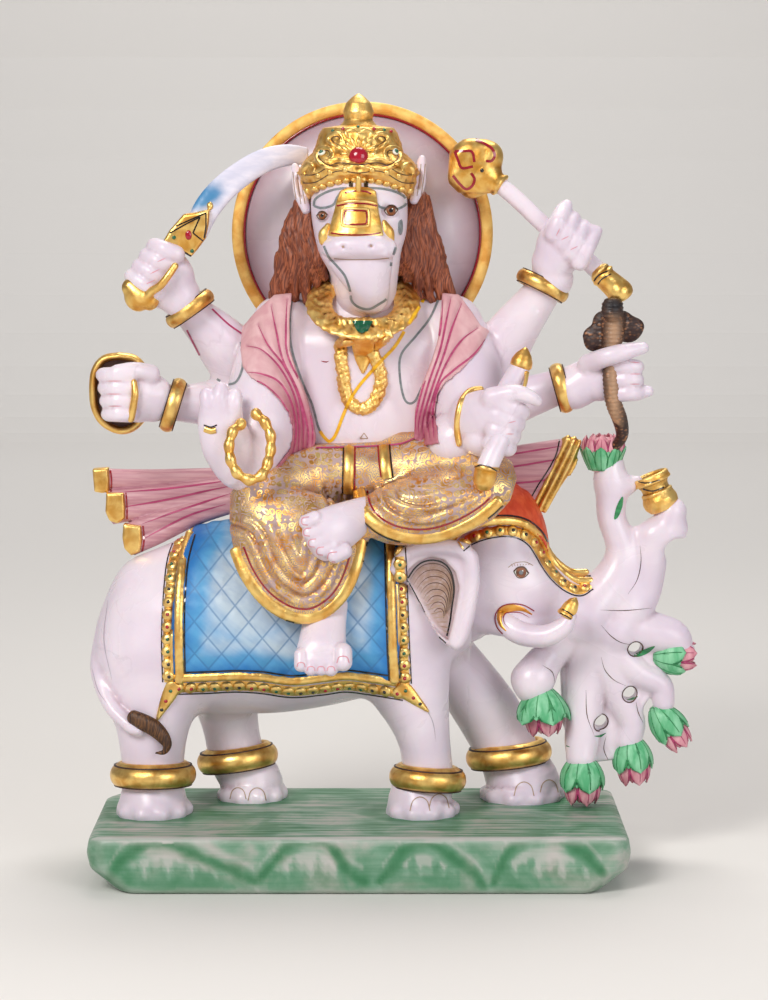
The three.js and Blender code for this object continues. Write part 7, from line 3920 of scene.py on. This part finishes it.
@dataclass
class FinePainting:
    """Eyes, toenails, the ear's hatching, pencil lines and other strokes of the finest brush."""

    def dress(self, rider: Rider, elephant: Elephant, book: LineBook) -> None:
        """Paints all of it.

        Args:
            rider: the rider underneath.
            elephant: the elephant underneath.
            book: takes the painted lines.
        """
        self.face(rider, book)
        self.elephant(elephant, book)
        self.toes(rider, elephant, book)
        self.arms(rider, book)

    @staticmethod
    def eye(ground: Ground, middle: Flat, wide: float, book: LineBook, lean: float = 0.0) -> None:
        """Paints an eye: white, brown iris, dark pupil, lids and a painted white glint as its highlight.

        Args:
            ground: what it is painted on.
            middle: its middle.
            wide: its width.
            book: takes the paint.
            lean: how much its outer corner rises.
        """
        u, v = middle
        w, h = wide / 2, wide * 0.33
        brush = Brush(ground, EYE, 0.6)
        outline = [
            (u - w, v - lean), (u - w * 0.4, v - h), (u + w * 0.4, v - h), (u + w, v + lean),
            (u + w * 0.35, v + h), (u - w * 0.45, v + h),
        ]
        brush.patch(book.page(Tone.WHITE), outline, lift=0.12)
        brown = circle(u, v, h * 1.05, 10)
        brush.patch(book.page(Tone.BROWN), brown, lift=0.3)
        black = circle(u, v, h * 0.45, 8)
        brush.patch(book.page(Tone.BLACK), black, lift=0.45)
        brush.band(book.page(Tone.UMBER), outline[:4], 1.6, lift=0.45)
        brush.band(book.page(Tone.UMBER), [outline[3], outline[4], outline[5], outline[0]], 0.9, lift=0.4)
        # A painted highlight: a small white glint above and to the right of the pupil.
        brush.patch(book.page(Tone.WHITE), circle(u + h * 0.3, v - h * 0.35, h * 0.14, 6), lift=0.6)

    def face(self, rider: Rider, book: LineBook) -> None:
        """Paints the rider's face.

        Args:
            rider: the rider underneath.
            book: takes the painted lines.
        """
        ground = rider.face
        self.eye(ground, (322, 215.5), 10, book, -0.5)
        self.eye(ground, (391, 210.5), 13, book, -0.5)
        for path in (
            ((314, 206), (315, 200), (321, 195), (331, 190.5), (341, 188.5), (348, 188.5)),
            ((314, 206), (322, 208), (333, 205), (337, 198), (341, 192)),
            ((368, 188), (384, 189), (398, 193), (406, 199), (405, 205), (398, 209)),
            ((374, 196), (377, 204), (383, 208), (398, 209)),
            (
                (324, 246), (329, 257), (337, 266), (345, 276), (350, 290), (352, 301), (359, 307),
                (369, 309), (379, 304), (388, 297), (391, 285), (391, 264), (396, 246),
            ),
        ):
            book.line(ground, Tone.GREY, path, 2.4, lift=0.2, jump=9.0)
        book.line(
            ground, Tone.TAN, ((334, 258.5), (347, 259.5), (360, 259.5), (375, 259.3), (389, 258)), 0.9,
            lift=0.2,
        )
        book.spot(ground, Tone.GREY, (400.5, 226), (3.4, 7.0, 0.5), lift=0.0)
        for at in ((343, 247), (371, 246)):
            book.spot(ground, Tone.TAN, at, (1.8, 1.5, 0.3), lift=0.0)
        for x in (293, 297, 301):
            book.line(ground, Tone.TAN, ((x, 172), (x + 1.5, 188), (x + 4, 204)), 0.8, lift=0.2)
        for x in (425, 421, 417):
            book.line(ground, Tone.TAN, ((x, 164), (x - 1.5, 180), (x - 4, 196)), 0.8, lift=0.2)

    def elephant(self, elephant: Elephant, book: LineBook) -> None:
        """Paints the elephant's eye, ear, mouth, creases and pencil lines.

        Args:
            elephant: the elephant underneath.
            book: takes the painted lines.
        """
        ground = elephant.ground
        self.eye(ground, (521, 572.5), 15, book, 1.0)
        for k in range(7):
            x = 512.5 + 2.6 * k
            book.line(ground, Tone.TAN, ((x, 566.5 - 0.3 * k), (x - 1.2 + 0.4 * k, 564)), 0.6, lift=0.25)
        path = ((508, 567.5), (515, 563), (525, 562), (533, 565.5))
        book.line(ground, Tone.TAN, path, 0.7, lift=0.2)
        arc = (
            (408, 578), (415, 568), (424, 561.5), (436, 560.5), (446, 565), (452, 575), (454, 590),
            (452, 606), (450, 622), (447, 636),
        )
        book.line(ground, Tone.BLACK, arc, 1.6, lift=0.3, jump=9.0)
        for k in range(1, 17):
            share = 1 - 0.052 * k
            path = [(441 + (u - 441) * share, 622 + (v - 622) * share) for u, v in arc[:-2]]
            book.line(ground, Tone.UMBER if k % 2 else Tone.TAN, path, 0.7, lift=0.3, jump=9.0, taper=0.3)
        for k in range(7):
            path = ((424 + 3.2 * k, 606 + 4 * k), (434 + 2.2 * k, 602 + 5 * k), (444 + k, 598 + 6 * k))
            book.line(ground, Tone.TAN, path, 0.8, lift=0.3, jump=9.0, taper=0.3)
        book.line(
            ground, Tone.BLACK, ((408, 581), (418, 599), (427, 617), (436, 633), (446, 643)), 1.2, lift=0.3,
            jump=9.0,
        )
        crescent = Heap()
        path = ((506, 631), (501, 625), (499.5, 617), (503, 610.5), (511, 608), (522, 609), (532, 614.5))
        Brush(ground, EYE, 1.0).band(crescent, path, 8.0, rise=1.0, lift=0.1, across=7, taper=0.45, jump=9.0)
        piece("mouth_crescent", crescent, ORANGE_GOLD)
        book.line(ground, Tone.RED, path, 1.2, lift=0.4, shift=-4.2, jump=9.0)
        book.line(ground, Tone.RED, path, 1.0, lift=0.4, shift=4.0, jump=9.0, taper=0.3)
        for path in (((562.5, 609.5), (567, 611.5), (573, 615.5)), ((560, 613), (564.5, 615), (571, 619))):
            book.line(elephant.cone, Tone.BLACK, path, 1.3, lift=0.35, jump=9.0)
        for marks in elephant.folds:
            book.line(ground, Tone.UMBER, marks, 0.9, lift=0.15, taper=0.5)
        for path in (
            ((102, 560), (88, 590), (82, 625), (86, 655)),
            ((108, 600), (104, 640), (112, 680)),
            ((92, 668), (98, 690), (108, 705)),
            ((420, 700), (432, 720), (436, 742)),
        ):
            book.line(ground, Tone.FAINT, path, 0.9, lift=0.15, taper=0.4)
        for path in (
            ((627, 700), (632, 699), (638, 696.5)), ((594, 736), (600, 736), (606, 733)),
            ((549, 745), (558, 743), (570, 747)),
        ):
            book.line(ground, Tone.LEAF, path, 2.6, lift=0.2, taper=0.5, jump=9.0)
        brush = Brush(ground, EYE, 1.0)
        for leaf in (
            ((614, 519), (616, 508), (620, 499), (623, 497), (622, 507), (618, 517)),
            ((634, 655), (645, 649), (655, 646), (648, 653), (638, 657)),
        ):
            brush.patch(book.page(Tone.LEAF), leaf, lift=0.25)
        for x, z in elephant.holes:
            Brush(ground, FRONT, 0.8).band(
                book.page(Tone.UMBER), circle(x, z, 6.4, 16), 0.9, lift=0.2, closed=True, jump=8.0,
            )

    @staticmethod
    def toes(rider: Rider, elephant: Elephant, book: LineBook) -> None:
        """Paints toenails on the rider's and the elephant's feet.

        Args:
            rider: the rider underneath.
            elephant: the elephant underneath.
            book: takes the painted lines.
        """
        nails = ((301, 667, 4), (311, 671, 4), (321, 671, 4), (331, 671, 4), (343, 663, 6))
        for u, v, r in nails:
            arc = [(u - r, v), (u - r * 0.6, v - r), (u + r * 0.6, v - r), (u + r, v)]
            book.line(rider.feet, Tone.ROSE, arc, 1.0, lift=0.25)
        for u, v, r in ((305, 521, 4), (307, 532, 4), (312, 543, 4), (320, 551, 4), (332, 557, 5)):
            arc = [
                (u + r, v - r), (u - r * 0.6, v - r * 0.7), (u - r * 0.7, v + r * 0.7),
                (u + r * 0.7, v + r),
            ]
            book.line(rider.feet, Tone.ROSE, arc, 1.0, lift=0.25)
        for row in (
            ((238, 795, 8), (257, 796, 9)),
            ((420, 806, 10), (439, 803, 10)),
            ((524, 791, 10), (549, 788, 9)),
        ):
            for u, v, r in row:
                arc = [
                    (u - r, v + r * 0.5), (u - r * 0.7, v - r * 0.5), (u, v - r * 0.9),
                    (u + r * 0.7, v - r * 0.5), (u + r, v + r * 0.5),
                ]
                book.line(elephant.ground, Tone.TAN, arc, 1.0, lift=0.25, jump=8.0)

    @staticmethod
    def arms(rider: Rider, book: LineBook) -> None:
        """Paints the outlines and finger lines of arms and hands.

        Args:
            rider: the rider underneath.
            book: takes the painted lines.
        """
        ground = rider.ground
        for path in (((187, 330), (198, 352), (211, 377)), ((212, 309), (228, 324), (242, 334))):
            book.line(ground, Tone.MAGENTA, path, 1.8, lift=0.2, jump=9.0)
        for path in (
            ((293, 294), (290, 316), (291, 346), (300, 376), (312, 404), (318, 426), (324, 438)),
            ((440, 296), (430, 318), (416, 336), (401, 355), (400, 378), (405, 400), (414, 402), (423, 385)),
            ((241, 342), (243, 356), (242, 370), (236, 382), (226, 384), (217, 379)),
        ):
            book.line(ground, Tone.GREY, path, 2.3, lift=0.2, jump=9.0)
        for path in (
            ((157, 262), (166, 258)), ((150, 274), (160, 269)), ((146, 284), (155, 280)),
            ((106, 381), (122, 381)), ((106, 394), (122, 394)), ((108, 406), (122, 406)),
            ((561, 240), (569, 236)), ((570, 250), (578, 246)), ((556, 236), (560, 228)),
            ((630, 362), (640, 363)), ((630, 374), (641, 374)), ((630, 384), (640, 384)),
            ((508, 423), (516, 421)), ((506, 434), (514, 434)), ((502, 444), (509, 446)),
        ):
            book.line(ground, Tone.ROSE, path, 0.9, lift=0.2, taper=0.3)
        mark = ((364, 433), (368, 438.5), (360, 438.5))
        Brush(ground, EYE, 0.8).band(book.page(Tone.TAN), mark, 0.9, lift=0.2, closed=True, straight=True)
        book.line(ground, Tone.RED, ((321, 361), (326, 362), (329, 361)), 1.2, lift=0.2, taper=0.3)


@dataclass(frozen=True)
class Lamp:
    """A soft lamp, placed in metres and facing its target."""

    name: str
    place: Point
    size: Flat
    power: float
    tint: Point
    target: Point = (0.02, 0.0, 0.32)

    def hang(self) -> None:
        """Puts the lamp in the scene."""
        data = bpy.data.lights.new(self.name, "AREA")
        data.shape = "RECTANGLE"
        data.size, data.size_y = self.size
        data.energy = self.power
        data.color = self.tint
        made = bpy.data.objects.new(self.name, data)
        made.location = self.place
        aim = Vector(self.target) - Vector(self.place)
        made.rotation_euler = aim.to_track_quat("-Z", "Y").to_euler()
        bpy.context.scene.collection.objects.link(made)


@dataclass
class Studio:
    """The viewpoint, the pale floor and the soft lamps."""

    long_side: float = 36.0
    picture_height: float = 1000.0
    floor_half_width: float = 8.0
    floor_front: float = -7.0
    wall_foot: float = 4.0
    wall_height: float = 6.0
    floor_tint: tuple = colour(226, 223, 219)
    sky_tint: tuple = (0.82, 0.82, 0.86, 1.0)
    sky_power: float = 0.34
    lamps: tuple[Lamp, ...] = (
        Lamp("key", (-1.3, -2.2, 2.0), (1.1, 1.1), 62.0, (1.0, 0.98, 0.95)),
        Lamp("fill", (1.7, -2.0, 1.0), (1.4, 1.4), 24.0, (0.97, 0.98, 1.0)),
        Lamp("crown", (0.2, 0.7, 2.2), (1.2, 0.8), 22.0, (1.0, 0.97, 0.93)),
        Lamp("backdrop", (0.0, 2.6, 3.2), (3.0, 1.0), 58.0, (1.0, 0.99, 0.98), (0.0, 5.2, 1.2)),
    )

    def camera(self) -> None:
        """Sets up the camera."""
        data = bpy.data.cameras.new("viewpoint")
        data.sensor_width = self.long_side
        data.lens = EYE.focal / self.picture_height * self.long_side
        data.clip_end = 50.0
        made = bpy.data.objects.new("viewpoint", data)
        made.location = Vector(EYE.place) * MM
        made.rotation_euler = (math.pi / 2 - EYE.droop, 0.0, 0.0)
        bpy.context.scene.collection.objects.link(made)
        bpy.context.scene.camera = made

    def floor(self) -> None:
        """Lays the floor, which sweeps up into the backdrop."""
        bend = [(self.wall_foot + math.sin(a), 1.0 - math.cos(a)) for a in np.linspace(0, math.pi / 2, 13)]
        profile = [(self.floor_front, 0.0), *bend, (self.wall_foot + 1.0, self.wall_height)]
        heap = Heap()
        wide = self.floor_half_width / MM
        for (y0, z0), (y1, z1) in zip(profile[:-1], profile[1:]):
            near, far = (y0 / MM, z0 / MM), (y1 / MM, z1 / MM)
            heap.put([(-wide, *near), (wide, *near), (wide, *far), (-wide, *far)], [(0, 1, 2, 3)])
        mesh = bpy.data.meshes.new("floor")
        mesh.from_pydata((np.vstack(heap.corners) * MM).tolist(), [], heap.faces)
        mesh.shade_smooth()
        material = bpy.data.materials.new("pale_floor")
        material.use_nodes = True
        shader = material.node_tree.nodes["Principled BSDF"]
        shader.inputs["Base Color"].default_value = self.floor_tint
        shader.inputs["Roughness"].default_value = 0.8
        mesh.materials.append(material)
        made = bpy.data.objects.new("floor", mesh)
        bpy.context.scene.collection.objects.link(made)

    def build(self) -> None:
        """Sets up everything round the carving."""
        self.camera()
        self.floor()
        for lamp in self.lamps:
            lamp.hang()
        world = bpy.data.worlds.new("studio")
        world.use_nodes = True
        sky = world.node_tree.nodes["Background"]
        sky.inputs[0].default_value = self.sky_tint
        sky.inputs[1].default_value = self.sky_power
        bpy.context.scene.world = world
        bpy.context.scene.view_settings.view_transform = "Standard"
        bpy.context.scene.view_settings.look = "None"


def main() -> None:
    """Builds the carving part by part, then the studio round it."""
    logging.basicConfig(level=logging.INFO, format="%(message)s")
    studio = Studio()
    Slab().dress()
    elephant = Elephant()
    elephant.dress()
    book = LineBook()
    SaddleCloth().dress(elephant, book)
    HeadCloth().dress(elephant, book)
    Anklets().dress(elephant, book)
    Lotuses().dress(book)
    rider = Rider()
    rider.dress()
    Hair().dress()
    Halo().dress()
    Dhoti().dress(book)
    Shawl().dress(rider, book)
    ScarfEnds().dress(book)
    Crown().dress(book)
    NoseOrnament().dress(rider, book)
    Jewellery().dress(rider, book)
    HeldThings().dress(book)
    FinePainting().dress(rider, elephant, book)
    book.dress()
    studio.build()


if __name__ == "__main__":
    main()
